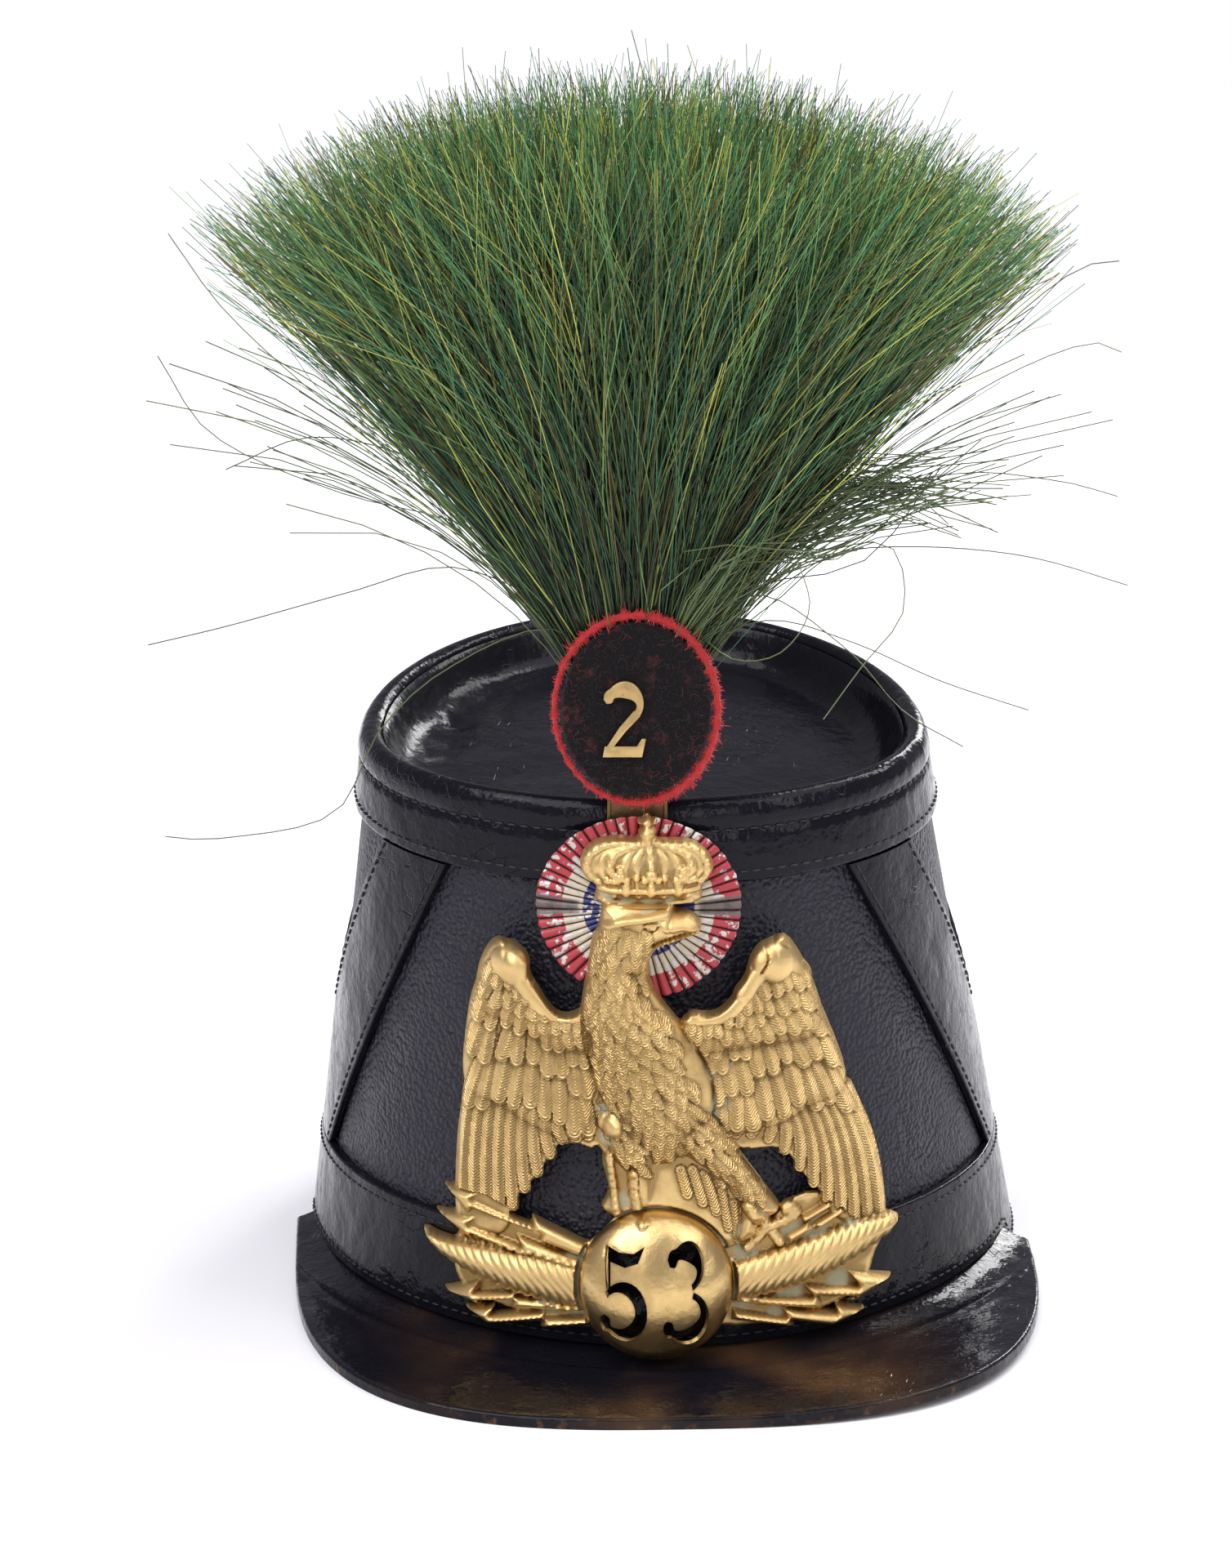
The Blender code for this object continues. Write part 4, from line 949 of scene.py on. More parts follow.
def rear_turn(theta):
    """The rear arm's turn that answers to a front arm's turn."""
    return STRIP_MIDDLE + (STRIP_MIDDLE - theta) * STRIP_REAR_SPREAD


def make_side_strip(name, side, material):
    """A V of strip on one side: two arms that meet over the bottom band."""
    share = np.linspace(0.0, 1.0, 73)[:, None]
    outer, inner = strip_edges(share)
    wide = (inner - outer) * STRIP_WALL_REACH
    near = np.array([0.0, 0.00006, 0.0002, 0.0004, 0.0006])
    middle = np.linspace(0.0, 1.0, 10)[1:-1]
    columns = np.concatenate([near / wide, mix(0.0007 / wide, 1.0 - 0.0007 / wide, middle),
                              1.0 - near[::-1] / wide], axis=1)
    theta = mix(outer, inner, columns)
    from_outer = columns * wide
    from_inner = (1.0 - columns) * wide
    open_above = smooth_step(share, STRIP_CROTCH, STRIP_CROTCH + 0.02)
    radius = 0.0006

    def fall(distance):
        return radius - np.sqrt(np.maximum(radius ** 2 - np.maximum(radius - distance, 0.0) ** 2, 0.0))
    dip = np.maximum(fall(from_outer), fall(from_inner) * open_above)
    full = STRIP_CLEARANCE + STRIP_THICKNESS
    worn = 0.30 * np.maximum(np.exp(-from_outer / 0.0008), np.exp(-from_inner / 0.0008) * open_above)
    fronts = []
    backs = []
    wears = []
    faces = []
    start = 0
    for arm in (theta, rear_turn(theta)[:, ::-1]):
        reverse = arm is not theta
        drop = dip[:, ::-1] if reverse else dip
        fronts.append(strip_point(side, arm, share, full - drop).reshape(-1, 3))
        backs.append(strip_point(side, arm, share, STRIP_CLEARANCE).reshape(-1, 3))
        wears.append((worn[:, ::-1] if reverse else worn).reshape(-1))
        faces.append(grid_faces(*arm.shape) + start)
        start += arm.size
    points, welded, kept = weld(np.concatenate(fronts), np.concatenate(faces))
    backs = np.concatenate(backs)[kept]
    values = {"wear": np.concatenate(wears)[kept]}
    return make_sheet(name, points, backs, welded, material, values, sharp=60.0)


def peak_edge(angle):
    """The peak's outline at directions from the origin, on the floor."""
    ahead = np.stack([np.sin(angle), -np.cos(angle)], -1)
    low = np.zeros(angle.shape)
    high = np.full(angle.shape, 2.0 * PEAK_REACH)
    for _ in range(40):
        middle = (low + high) / 2.0
        place = ahead * middle[..., None]
        local_x = place[..., 0] * math.cos(PEAK_TURN) + place[..., 1] * math.sin(PEAK_TURN)
        local_y = place[..., 1] * math.cos(PEAK_TURN) - place[..., 0] * math.sin(PEAK_TURN)
        forward = np.maximum(PEAK_SHOULDER_Y - local_y, 0.0) / (PEAK_REACH + PEAK_SHOULDER_Y)
        across = np.abs(local_x - PEAK_CENTRE_X) / PEAK_HALF_WIDTH
        inside = across ** PEAK_SQUARENESS + forward ** PEAK_SQUARENESS < 1.0
        low = np.where(inside, middle, low)
        high = np.where(inside, high, middle)
    return np.concatenate([ahead * low[..., None], np.zeros((*angle.shape, 1))], -1)


def make_peak(material):
    """The flat peak, with a cove along its seam, a rubbed rounded edge and a painted brass reflection
    down its middle.
    """
    theta = np.linspace(PEAK_LEFT_END, PEAK_RIGHT_END, 200)
    seam = wall_point(theta, 0.0, GAP)
    edge = peak_edge(np.arctan2(seam[:, 0], -seam[:, 1]))
    width = np.linalg.norm(edge - seam, axis=1)[:, None]
    radius = 0.0008
    cove = np.linspace(0.0, 1.15, 12) * PEAK_COVE / width
    cove = np.minimum(cove, np.linspace(0.0, 0.8, 12))
    flat = mix(cove[:, -1:], 1.0 - radius / width, np.linspace(0.0, 1.0, 14)[1:])
    turn = np.radians([30.0, 60.0, 80.0, 90.0])
    rim = 1.0 - radius * (1.0 - np.sin(turn)) / width
    share = np.concatenate([cove, flat, rim], axis=1)
    place = mix(seam[:, None], edge[:, None], share[..., None])
    seam_height = peak_seam_height(theta)[:, None]
    slope = (1.0 - np.minimum(share * width / PEAK_COVE, 1.0)) ** 2
    lift = peak_lift(place[..., 0])
    level = mix(lift, seam_height - PEAK_THICKNESS, slope)
    ridge = 0.0004 * np.exp(-((share * width - PEAK_COVE) / 0.0011) ** 2)
    drop = np.zeros(share.shape)
    drop[:, -4:] = radius * (1.0 - np.cos(turn))
    top = place.copy()
    top[..., 2] = level + PEAK_THICKNESS + ridge - drop
    bottom = place.copy()
    bottom[..., 2] = level
    rows = np.concatenate([top, bottom[:, ::-1]], axis=1)
    near_edge = np.exp(-(1.0 - share) * width / 0.0012)
    worn = np.concatenate([0.42 * near_edge, 0.5 + 0.0 * share], axis=1)
    faces = [list(face) for face in grid_faces(*rows.shape[:2], wrap_columns=True)]
    count = rows.shape[1]
    faces.append(list(range(count))[::-1])
    faces.append(list(range((len(rows) - 1) * count, len(rows) * count)))
    # Painted reflection: the brown band down the middle stands in for the brass plate reflected in the
    # peak
    brown = np.exp(-((rows[..., 0] - PEAK_CENTRE_X) / (0.6 * PEAK_HALF_WIDTH)) ** 4)
    values = {"wear": worn, "brown": brown}
    return make_object("peak_leather", rows, faces, material, values, sharp=60.0)


def stitch_lines():
    """Rows of points along every seam, as dark lines and as a short worn tan line."""
    theta = np.append(turns(RING_COLUMNS), 2.0 * math.pi)
    top = rim_height(theta)
    lines = [
        wall_point(theta, top - BEAD_SEAM_DROP, BEAD_SEAM_OFFSET),
        wall_point(theta, top - TOP_SEAM_DROP, BAND_SEAM_OFFSET),
        wall_point(theta, BOTTOM_BAND_HEIGHT - BOTTOM_SEAM_DROP, BAND_SEAM_OFFSET),
        wall_point(theta, band_foot(theta) + FOOT_SEAM_RISE, BAND_SEAM_OFFSET),
    ]
    share = np.linspace(0.02, 0.985, 60)
    outer, inner = strip_edges(share)
    inset = STRIP_SEAM_INSET / STRIP_WALL_REACH
    above = share > STRIP_CROTCH + 0.05
    full = STRIP_CLEARANCE + STRIP_THICKNESS + 0.00005
    for side in (-1.0, 1.0):
        for turn, part in ((outer + inset, share > 0.0), (inner - inset, above)):
            lines.append(strip_point(side, turn[part], share[part], full))
            lines.append(strip_point(side, rear_turn(turn[part]), share[part], full))
    worn = np.radians(np.linspace(-33.0, -24.0, 12))
    return lines, [wall_point(worn, BOTTOM_BAND_HEIGHT - BOTTOM_SEAM_DROP, WORN_SEAM_OFFSET)]


# Front ornaments


def holder_offset():
    """Offset of the plume holder's back, in front of the top band."""
    return GAP + BAND_THICKNESS + GAP


def holder_y():
    """The y of the holder's back above the rim."""
    return float(front_point(HOLDER_X, RIM_HEIGHT, holder_offset())[1])


def make_plume_holder(material):
    """A channel with two flanges, from behind the cockade up to the disc."""
    half = HOLDER_WIDTH / 2.0
    lip = HOLDER_THICKNESS
    section = np.array([
        (-half, 0.0), (half, 0.0), (half, HOLDER_FLANGE), (half - lip, HOLDER_FLANGE),
        (half - lip, lip), (lip - half, lip), (lip - half, HOLDER_FLANGE), (-half, HOLDER_FLANGE),
    ])
    rows = [front_point(HOLDER_X + section[:, 0], RIM_HEIGHT - HOLDER_DROP * (1.0 - share),
                        holder_offset() + section[:, 1]) for share in np.linspace(0.0, 1.0, 5)]
    rows.append(rows[-1] + np.array([0.0, 0.0, HOLDER_RISE]))
    count = len(section)
    faces = [list(face) for face in grid_faces(len(rows), count, wrap_columns=True)]
    faces.append(list(range(count))[::-1])
    faces.append(list(range((len(rows) - 1) * count, len(rows) * count)))
    points = np.array(rows).reshape(-1, 3)
    values = {"relief": np.zeros(len(points)), "barb": np.zeros(len(points))}
    return bevelled(make_object("plume_holder_brass", points, faces, material, values), 0.00015)


def cockade_offset():
    """Offset of the cockade's back, in front of the holder's flanges."""
    return holder_offset() + HOLDER_FLANGE + GAP + COCKADE_PLEAT


def make_cockade(material):
    """The pleated rosette: rounded radial folds with sharp grooves."""
    rng = np.random.default_rng(11)
    columns = COCKADE_PLEAT_POINTS * COCKADE_PLEATS
    angle = turns(columns)
    wave = np.abs(np.sin(angle * COCKADE_PLEATS / 2.0))
    fold = 2.0 * np.sqrt(wave) - 1.0
    pleat = np.arange(columns) // COCKADE_PLEAT_POINTS
    jitter = rng.normal(0.0, 1.0, COCKADE_PLEATS)[pleat]
    shares = np.concatenate([[0.0, 0.06, 0.12], np.linspace(0.2, 0.97, 20), [0.985, 1.0]])

    def ring(share, offset, wavy):
        reach = share * (1.0 + 0.004 * jitter * share - 0.012 * (1.0 - wave) * share ** 4)
        x = COCKADE_X + reach * COCKADE_WIDTH / 2.0 * np.sin(angle)
        z = COCKADE_Z + reach * COCKADE_HEIGHT / 2.0 * np.cos(angle)
        rise = COCKADE_PLEAT * share ** 0.8 * wavy
        return front_point(x, z, cockade_offset() + offset + rise + 0.00010 * jitter * share)

    rows = [ring(share, COCKADE_THICKNESS, fold * (1.0 - 0.4 * (share > 0.99))) for share in shares]
    rows += [ring(share, 0.0, fold) for share in (0.985, 0.5, 0.0)]
    radius = np.concatenate([shares, (0.985, 0.5, 0.0)])
    folds = np.repeat(fold[None], len(rows), axis=0)
    # Two pleats at the sides are bare round a fixing hole
    x = np.sin(angle)
    bare = smooth_step(np.abs(x), 0.990, 0.995) * smooth_step(radius[:, None], 0.55, 0.62)
    hole = np.hypot((np.abs(radius[:, None] * x) - 0.86) * COCKADE_WIDTH / 2.0,
                    radius[:, None] * np.cos(angle) * COCKADE_HEIGHT / 2.0)
    folds = folds - 2.0 * smooth_step(-hole, -0.0008, -0.0006)
    values = {"radius": np.repeat(radius[:, None], columns, axis=1), "fold": folds, "bare": bare}
    return make_skin("cockade_tin", np.array(rows), material, attributes=values, sharp=70.0)


# Eagle plate
# Outlines are (x, z) in percent of the plate's height, x from the hat's middle plane
# and z from the plate's lowest point.

LEFT_WING = [
    (-13.5, 63.5), (-20.0, 62.5), (-25.0, 69.0), (-27.8, 73.5), (-30.5, 75.5), (-33.5, 73.0),
    (-35.5, 66.5), (-37.2, 60.0), (-38.3, 49.5), (-39.0, 34.0), (-39.5, 22.0), (-38.8, 16.0),
    (-34.0, 17.0), (-30.0, 18.5), (-27.0, 25.0), (-23.0, 30.0), (-18.8, 36.3), (-12.0, 37.5),
]
RIGHT_WING = [
    (3.0, 62.5), (9.5, 63.5), (15.0, 69.5), (18.0, 74.0), (21.5, 76.3), (25.5, 70.5),
    (29.5, 61.0), (33.5, 47.5), (37.5, 36.0), (41.0, 25.0), (42.0, 20.5), (41.0, 16.8),
    (36.0, 18.0), (31.6, 20.5), (27.5, 26.0), (24.5, 29.5), (20.5, 34.5), (10.0, 38.0),
]
LEFT_COVERTS = [
    (-13.0, 63.0), (-20.0, 62.0), (-25.0, 68.5), (-30.5, 74.5), (-35.0, 66.5), (-37.0, 59.0),
    (-37.6, 46.0), (-31.0, 43.0), (-24.0, 39.5), (-15.0, 38.5),
]
RIGHT_COVERTS = [
    (3.5, 62.0), (9.5, 63.0), (15.5, 69.5), (21.5, 75.3), (29.0, 60.5), (33.5, 46.0),
    (27.0, 43.0), (20.0, 40.0), (9.0, 41.0),
]
LEFT_ARM = [
    (-13.5, 63.5), (-20.0, 62.5), (-25.0, 69.0), (-30.5, 75.5), (-34.5, 70.0), (-35.0, 61.5),
    (-29.0, 58.5), (-20.0, 55.0), (-13.5, 56.0),
]
RIGHT_ARM = [
    (3.0, 62.5), (9.5, 63.5), (15.0, 69.5), (21.5, 76.3), (28.5, 62.0), (27.0, 56.0),
    (19.0, 55.5), (10.0, 55.0), (4.0, 56.0),
]
BIRD_BODY = [
    (-11.0, 80.0), (-13.6, 77.5), (-14.6, 71.5), (-15.6, 66.0), (-15.8, 60.0), (-14.4, 53.0),
    (-12.0, 46.0), (-8.0, 38.5), (-2.0, 34.0), (4.0, 36.5), (8.0, 42.0), (9.0, 47.0),
    (7.5, 53.0), (3.5, 60.0), (-1.4, 66.5), (-3.2, 70.0), (-3.2, 73.5), (-2.0, 77.0),
]
LEFT_LEG = [
    (-11.5, 43.5), (-10.8, 36.0), (-7.5, 31.5), (-7.0, 24.0), (-3.5, 24.0), (-2.5, 31.0),
    (-1.5, 39.5), (-5.0, 45.5),
]
RIGHT_LEG = [
    (1.0, 44.5), (-0.5, 38.5), (6.0, 33.5), (13.0, 27.5), (13.0, 19.0), (16.5, 19.5),
    (17.5, 22.0), (21.0, 24.0), (18.0, 29.0), (12.5, 37.0), (8.5, 43.5),
]
TAIL = [(-1.0, 36.0), (3.0, 25.0), (8.0, 18.0), (13.5, 18.5), (12.0, 27.0), (6.0, 38.0)]
LEFT_WEB = [
    (-39.0, 27.0), (-38.5, 18.0), (-40.0, 12.0), (-36.0, 5.0), (-13.0, 3.0), (-8.0, 12.0),
    (-8.0, 24.0), (-16.0, 17.5), (-28.0, 21.5),
]
RIGHT_WEB = [
    (41.0, 19.0), (39.5, 12.0), (34.0, 4.5), (10.0, 2.5), (5.0, 12.0), (6.0, 24.0),
    (15.0, 18.5), (26.0, 26.0),
]

# Relief of each outline above the plate's flat ground: height at the edge and rise inside
# as shares of PLATE_RELIEF, and in percent how far in that rise is complete
RELIEF = {
    "web": (0.05, 0.0, 1.0),
    "bolt": (0.2, 0.2, 1.1),
    "wing": (0.125, 0.075, 2.0),
    "coverts": (0.2, 0.1, 2.5),
    "arm": (0.25, 0.225, 4.0),
    "tail": (0.15, 0.15, 3.0),
    "leg": (0.25, 0.35, 4.0),
    "body": (0.325, 0.575, 9.0),
    "head": (0.425, 0.375, 3.6),
    "crown": (0.175, 0.325, 5.0),
}
SOFT_OUTLINES = [
    ("web", LEFT_WEB), ("web", RIGHT_WEB), ("coverts", LEFT_COVERTS), ("coverts", RIGHT_COVERTS),
    ("arm", LEFT_ARM), ("arm", RIGHT_ARM), ("tail", TAIL),
]

# Flight feathers in millimetres: root x and z, tip x and z, from the outer to the inner
LEFT_FLIGHT_MM = [
    (-43.2, 62.0, -45.2, 27.8), (-40.8, 63.0, -42.5, 28.2), (-38.4, 63.0, -39.6, 29.2),
    (-36.0, 63.0, -36.6, 31.0), (-33.6, 63.0, -33.7, 34.6), (-31.2, 62.0, -31.0, 39.0),
    (-28.8, 61.0, -28.2, 43.3), (-26.3, 60.0, -25.2, 47.6), (-23.6, 59.0, -22.4, 51.4),
    (-20.4, 58.0, -19.4, 52.4), (-17.6, 57.0, -16.8, 52.8),
]
RIGHT_FLIGHT_MM = [
    (39.6, 61.0, 48.0, 28.9), (37.3, 61.5, 45.1, 29.2), (35.0, 62.0, 42.0, 30.3),
    (32.7, 62.0, 38.9, 32.0), (30.4, 62.0, 35.8, 35.4), (28.0, 62.0, 32.6, 39.8),
    (25.7, 62.0, 29.4, 44.0), (23.2, 61.0, 26.0, 48.2), (20.4, 60.0, 22.6, 51.4),
    (17.4, 59.0, 18.8, 53.0), (14.0, 58.0, 14.8, 52.8),
]
# Rows of covert tips in millimetres, from the lowest row up, and each row's feather length
LEFT_ROWS_MM = [
    (13.5, [(-44.2, 56.5), (-38.7, 58.6), (-31.5, 59.4), (-26.4, 57.8), (-21.5, 55.0),
            (-16.6, 53.4)]),
    (10.5, [(-43.6, 68.4), (-38.5, 69.0), (-32.0, 69.2), (-26.4, 67.8), (-20.5, 64.6),
            (-16.8, 62.0)]),
    (7.6, [(-42.0, 76.8), (-37.5, 76.6), (-32.5, 76.0), (-27.0, 74.6), (-22.0, 71.6),
           (-17.6, 69.2)]),
    (5.8, [(-40.8, 82.2), (-36.5, 81.8), (-32.5, 81.0), (-28.0, 78.6), (-23.0, 76.0),
           (-18.4, 74.2)]),
    (4.8, [(-39.6, 87.0), (-36.0, 86.4), (-32.8, 85.0), (-29.0, 81.8), (-24.4, 79.2),
           (-19.2, 78.0)]),
]
RIGHT_ROWS_MM = [
    (13.5, [(43.2, 55.0), (38.5, 57.6), (33.0, 58.6), (28.0, 58.8), (22.5, 56.8), (17.0, 54.8),
            (12.0, 53.6)]),
    (10.5, [(40.0, 65.8), (35.4, 68.0), (30.0, 68.8), (24.6, 68.2), (19.0, 65.2), (13.0, 62.0),
            (8.0, 60.6)]),
    (7.6, [(36.8, 74.0), (32.0, 76.0), (27.0, 76.2), (22.0, 74.8), (16.8, 71.8), (11.5, 68.6),
           (6.6, 66.8)]),
    (5.8, [(34.2, 80.0), (29.6, 81.4), (25.0, 81.0), (20.4, 79.0), (15.4, 76.0), (10.4, 73.0),
           (5.2, 71.4)]),
    (4.8, [(31.6, 85.6), (27.6, 86.4), (23.6, 85.4), (19.0, 82.4), (14.0, 79.6), (9.0, 77.2),
           (4.0, 75.8)]),
]
# Turn of the barbs' ripple in each metre along a feather
BARB_PITCH = 2.0 * math.pi / 0.00070
# Places that the coverts of each wing point away from
LEFT_FAN_MM = (-27.0, 118.0)
RIGHT_FAN_MM = (10.0, 120.0)

# Rolls and knobs in millimetres: half width at the ends and the middle, rise, and path
ROLLS_MM = [
    (2.3, 1.5, [(-34.4, 91.6), (-31.6, 88.0), (-29.0, 84.8), (-26.0, 82.4), (-22.4, 81.9),
                (-18.4, 83.2)]),
    (2.1, 1.4, [(21.8, 92.6), (18.4, 89.0), (15.8, 85.0), (12.6, 82.4), (8.6, 82.0), (3.6, 83.0)]),
    (3.9, 2.0, [(-34.6, 92.0), (-33.6, 91.0)]),
    (3.9, 2.0, [(22.4, 93.2), (24.0, 92.0)]),
    (1.6, 1.0, [(-40.4, 84.6), (-38.6, 88.6), (-36.6, 92.4)]),
    (1.6, 1.0, [(31.6, 85.4), (29.2, 89.4), (26.4, 92.8)]),
    (0.35, -0.9, [(20.9, 97.4), (21.8, 94.4), (20.4, 91.4)]),
]

# Wing tops and the ground between the legs in millimetres, with their kind of relief
FILLS_MM = [
    ("arm", [(-38.6, 88.4), (-38.9, 92.6), (-37.4, 95.2), (-34.6, 96.6), (-31.6, 95.8),
             (-29.9, 93.4), (-29.7, 90.2), (-28.0, 86.4), (-30.0, 82.0), (-36.0, 82.0)]),
    ("arm", [(14.4, 86.0), (16.8, 90.2), (18.0, 94.2), (20.2, 97.0), (23.6, 97.4), (27.0, 95.0),
             (29.6, 91.4), (31.6, 87.4), (28.0, 82.0), (18.0, 80.0)]),
    ("wing", [(-20.0, 63.0), (-12.0, 64.0), (-11.0, 46.0), (-15.0, 51.4), (-20.0, 52.6)]),
    ("tail", [(-13.4, 51.0), (-12.6, 42.0), (-12.0, 36.0), (16.0, 29.0), (18.4, 36.0),
              (16.8, 45.0), (11.0, 50.0), (0.0, 52.0)]),
]

# The bird's middle line in millimetres: x, z and half width, from the throat down
BODY_LINE_MM = [
    (-9.6, 98.5, 5.6), (-11.2, 92.0, 6.6), (-11.4, 86.0, 7.6), (-9.8, 79.5, 9.6),
    (-7.0, 72.0, 10.6), (-3.4, 64.5, 9.6), (-0.4, 57.5, 8.0), (1.6, 51.5, 6.0),
]
LEFT_THIGH_MM = [
    (-12.4, 59.0, 2.0), (-10.8, 56.0, 3.0), (-8.8, 53.0, 3.6), (-6.6, 50.0, 3.4), (-4.6, 47.4, 2.0)]
RIGHT_THIGH_MM = [
    (6.0, 58.5, 3.4), (9.2, 53.6, 4.8), (13.0, 48.6, 4.8), (17.2, 43.6, 3.8), (20.4, 39.4, 2.4)]
TAIL_LINES_MM = [
    (1.2, [(3.0, 47.0), (4.6, 41.5)]), (1.2, [(5.6, 47.0), (8.0, 39.5)]),
    (1.2, [(8.2, 46.0), (11.0, 37.5)]), (1.1, [(12.0, 42.0), (13.6, 33.5)]),
    (1.1, [(14.6, 39.0), (15.8, 30.6)]), (1.0, [(17.0, 37.0), (17.2, 29.0)]),
]
# Feet: half width, rise and path in millimetres
FEET_MM = [
    (0.9, 0.8, [(-12.6, 50.0), (-12.0, 45.0), (-11.4, 40.0), (-10.8, 37.0)]),
    (2.3, 1.6, [(-12.8, 58.0), (-12.2, 57.0)]),
    (1.1, 1.2, [(-7.4, 46.6), (-7.2, 42.4), (-6.6, 39.4), (-6.2, 36.8)]),
    (1.2, 1.2, [(-4.8, 35.6), (-4.4, 34.2)]),
    (1.1, 1.0, [(-10.0, 36.6), (-9.2, 35.0)]),
    (1.2, 1.3, [(17.6, 38.6), (19.2, 36.6), (20.6, 35.0), (21.8, 33.4)]),
    (1.1, 1.2, [(21.6, 32.2), (19.8, 30.2), (17.8, 28.4)]),
    (1.1, 1.2, [(22.2, 32.8), (23.6, 30.8), (25.0, 28.8)]),
    (1.1, 1.2, [(23.0, 32.6), (25.6, 33.2), (28.0, 34.2)]),
    (1.6, 1.0, [(26.6, 36.2), (28.0, 35.0)]),
]
# Head: half width, rise and path in millimetres; a negative rise is a groove
HEAD_LINES_MM = [
    (0.9, 1.0, [(-13.2, 103.2), (-9.6, 104.4), (-4.7, 105.0), (-0.4, 105.8), (0.2, 104.8)]),
    (1.6, 0.9, [(0.2, 103.4), (3.4, 104.0), (5.4, 103.0), (6.5, 101.8)]),
    (0.9, 0.6, [(-2.4, 98.4), (1.2, 99.5), (4.6, 100.6)]),
    (0.45, -1.3, [(-3.2, 98.9), (0.4, 100.2), (3.7, 101.1), (6.2, 101.7)]),
    (0.35, -0.5, [(1.0, 105.4), (0.2, 103.4), (0.5, 101.6)]),
    (0.3, -0.6, [(-5.0, 103.0), (-3.9, 102.2), (-2.6, 102.4), (-2.0, 103.4)]),
    (0.3, -0.5, [(-5.2, 103.8), (-3.8, 104.2), (-2.2, 104.0)]),
]
# Crown: half width, rise and path in millimetres
CROWN_LINES_MM = [
    (0.6, 0.9, [(-13.8, 107.8), (-8.0, 107.5), (-3.6, 107.4), (1.0, 107.5), (5.2, 107.8)]),
    (0.65, 1.0, [(-15.0, 110.6), (-8.5, 110.3), (-3.6, 110.2), (1.2, 110.3), (7.0, 110.6)]),
    (1.0, 1.4, [(-8.9, 110.0), (-8.9, 111.6)]),
    (1.0, 1.5, [(-3.5, 109.9), (-3.5, 111.5)]),
    (1.0, 1.4, [(2.3, 110.0), (2.3, 111.6)]),
    (0.35, 0.8, [(-6.7, 111.2), (-6.7, 113.0)]),
    (0.35, 0.8, [(-0.6, 111.2), (-0.6, 113.0)]),
    (2.0, 1.6, [(-4.4, 122.8), (-4.4, 122.9)]),
    (0.8, 0.9, [(-4.4, 124.4), (-4.4, 125.9)]),
    (0.7, 0.9, [(-5.9, 125.0), (-2.9, 125.0)]),
]
# Arches of the crown, each a rib with a row of beads on it
ARCHES_MM = [
    [(-14.8, 111.6), (-17.4, 114.2), (-17.2, 117.8), (-13.6, 120.2), (-8.8, 120.8), (-5.4, 121.0)],
    [(-10.6, 112.6), (-12.4, 115.6), (-11.0, 118.8), (-5.4, 120.8)],
    [(-3.5, 112.6), (-3.6, 117.0), (-3.9, 120.8)],
    [(3.5, 112.6), (5.2, 115.6), (3.6, 118.8), (-2.4, 120.8)],
    [(7.2, 111.6), (9.0, 114.4), (7.8, 118.0), (4.0, 120.0), (-2.2, 121.0)],
]
# Folds of the cap between the arches
CAP_FOLDS_MM = [
    [(-13.6, 112.8), (-14.6, 115.6), (-13.4, 118.4), (-9.8, 120.0)],
    [(-8.4, 112.6), (-9.2, 115.6), (-8.0, 118.6), (-5.6, 120.0)],
    [(-6.4, 114.4), (-6.8, 117.0), (-5.4, 119.6)], [(-0.8, 114.4), (-0.6, 117.0), (-2.0, 119.6)],
    [(1.4, 112.6), (2.2, 115.6), (0.8, 118.6), (-1.8, 120.0)],
    [(6.0, 112.8), (7.2, 115.4), (5.8, 118.2), (2.4, 119.8)],
]
# Jewels, leaves and pearls of the crown: x, z, radius and rise in millimetres
JEWELS_MM = [
    (-10.2, 113.6, 1.3, 1.3), (-11.6, 112.6, 0.8, 1.1), (-8.8, 112.8, 0.8, 1.1), (-10.2, 115.2, 0.9, 1.2),
    (-3.5, 114.0, 1.4, 1.4), (-5.0, 112.9, 0.8, 1.1), (-2.0, 112.9, 0.8, 1.1), (-3.5, 115.8, 0.9, 1.2),
    (3.3, 113.6, 1.3, 1.3), (1.9, 112.8, 0.8, 1.1), (4.7, 112.6, 0.8, 1.1), (3.3, 115.2, 0.9, 1.2),
    (-6.7, 113.4, 0.8, 1.2), (-0.6, 113.4, 0.8, 1.2), (-13.0, 112.6, 0.9, 1.2), (5.7, 112.8, 0.9, 1.2),
    (-15.0, 112.0, 0.8, 1.0), (7.2, 112.2, 0.8, 1.0),
    (-11.4, 109.1, 0.55, 0.35), (-6.2, 108.9, 0.55, 0.35),
    (-0.8, 108.9, 0.55, 0.35), (4.4, 109.1, 0.55, 0.35),
]

# Twisted bundles: height at the edge, rise inside it, how far in the round is complete,
# and how many ridges there are
BUNDLE_EDGE = 0.0011
BUNDLE_RISE = 0.0026
BUNDLE_ROUND = 0.0042
BUNDLE_RIDGES = 19
# Stations of each bundle from the ball to the tip: x, z and half width, in percent
LEFT_BUNDLE = [
    (-12.0, 9.2, 4.2), (-21.0, 10.6, 4.3), (-30.0, 11.4, 3.7), (-37.0, 12.2, 2.7),
    (-42.0, 13.2, 1.7), (-44.6, 14.4, 1.0),
]
RIGHT_BUNDLE = [
    (10.0, 10.8, 3.6), (19.0, 12.2, 3.9), (27.0, 13.6, 4.0), (34.0, 15.2, 3.6),
    (39.0, 16.4, 2.6), (42.4, 17.0, 1.5),
]

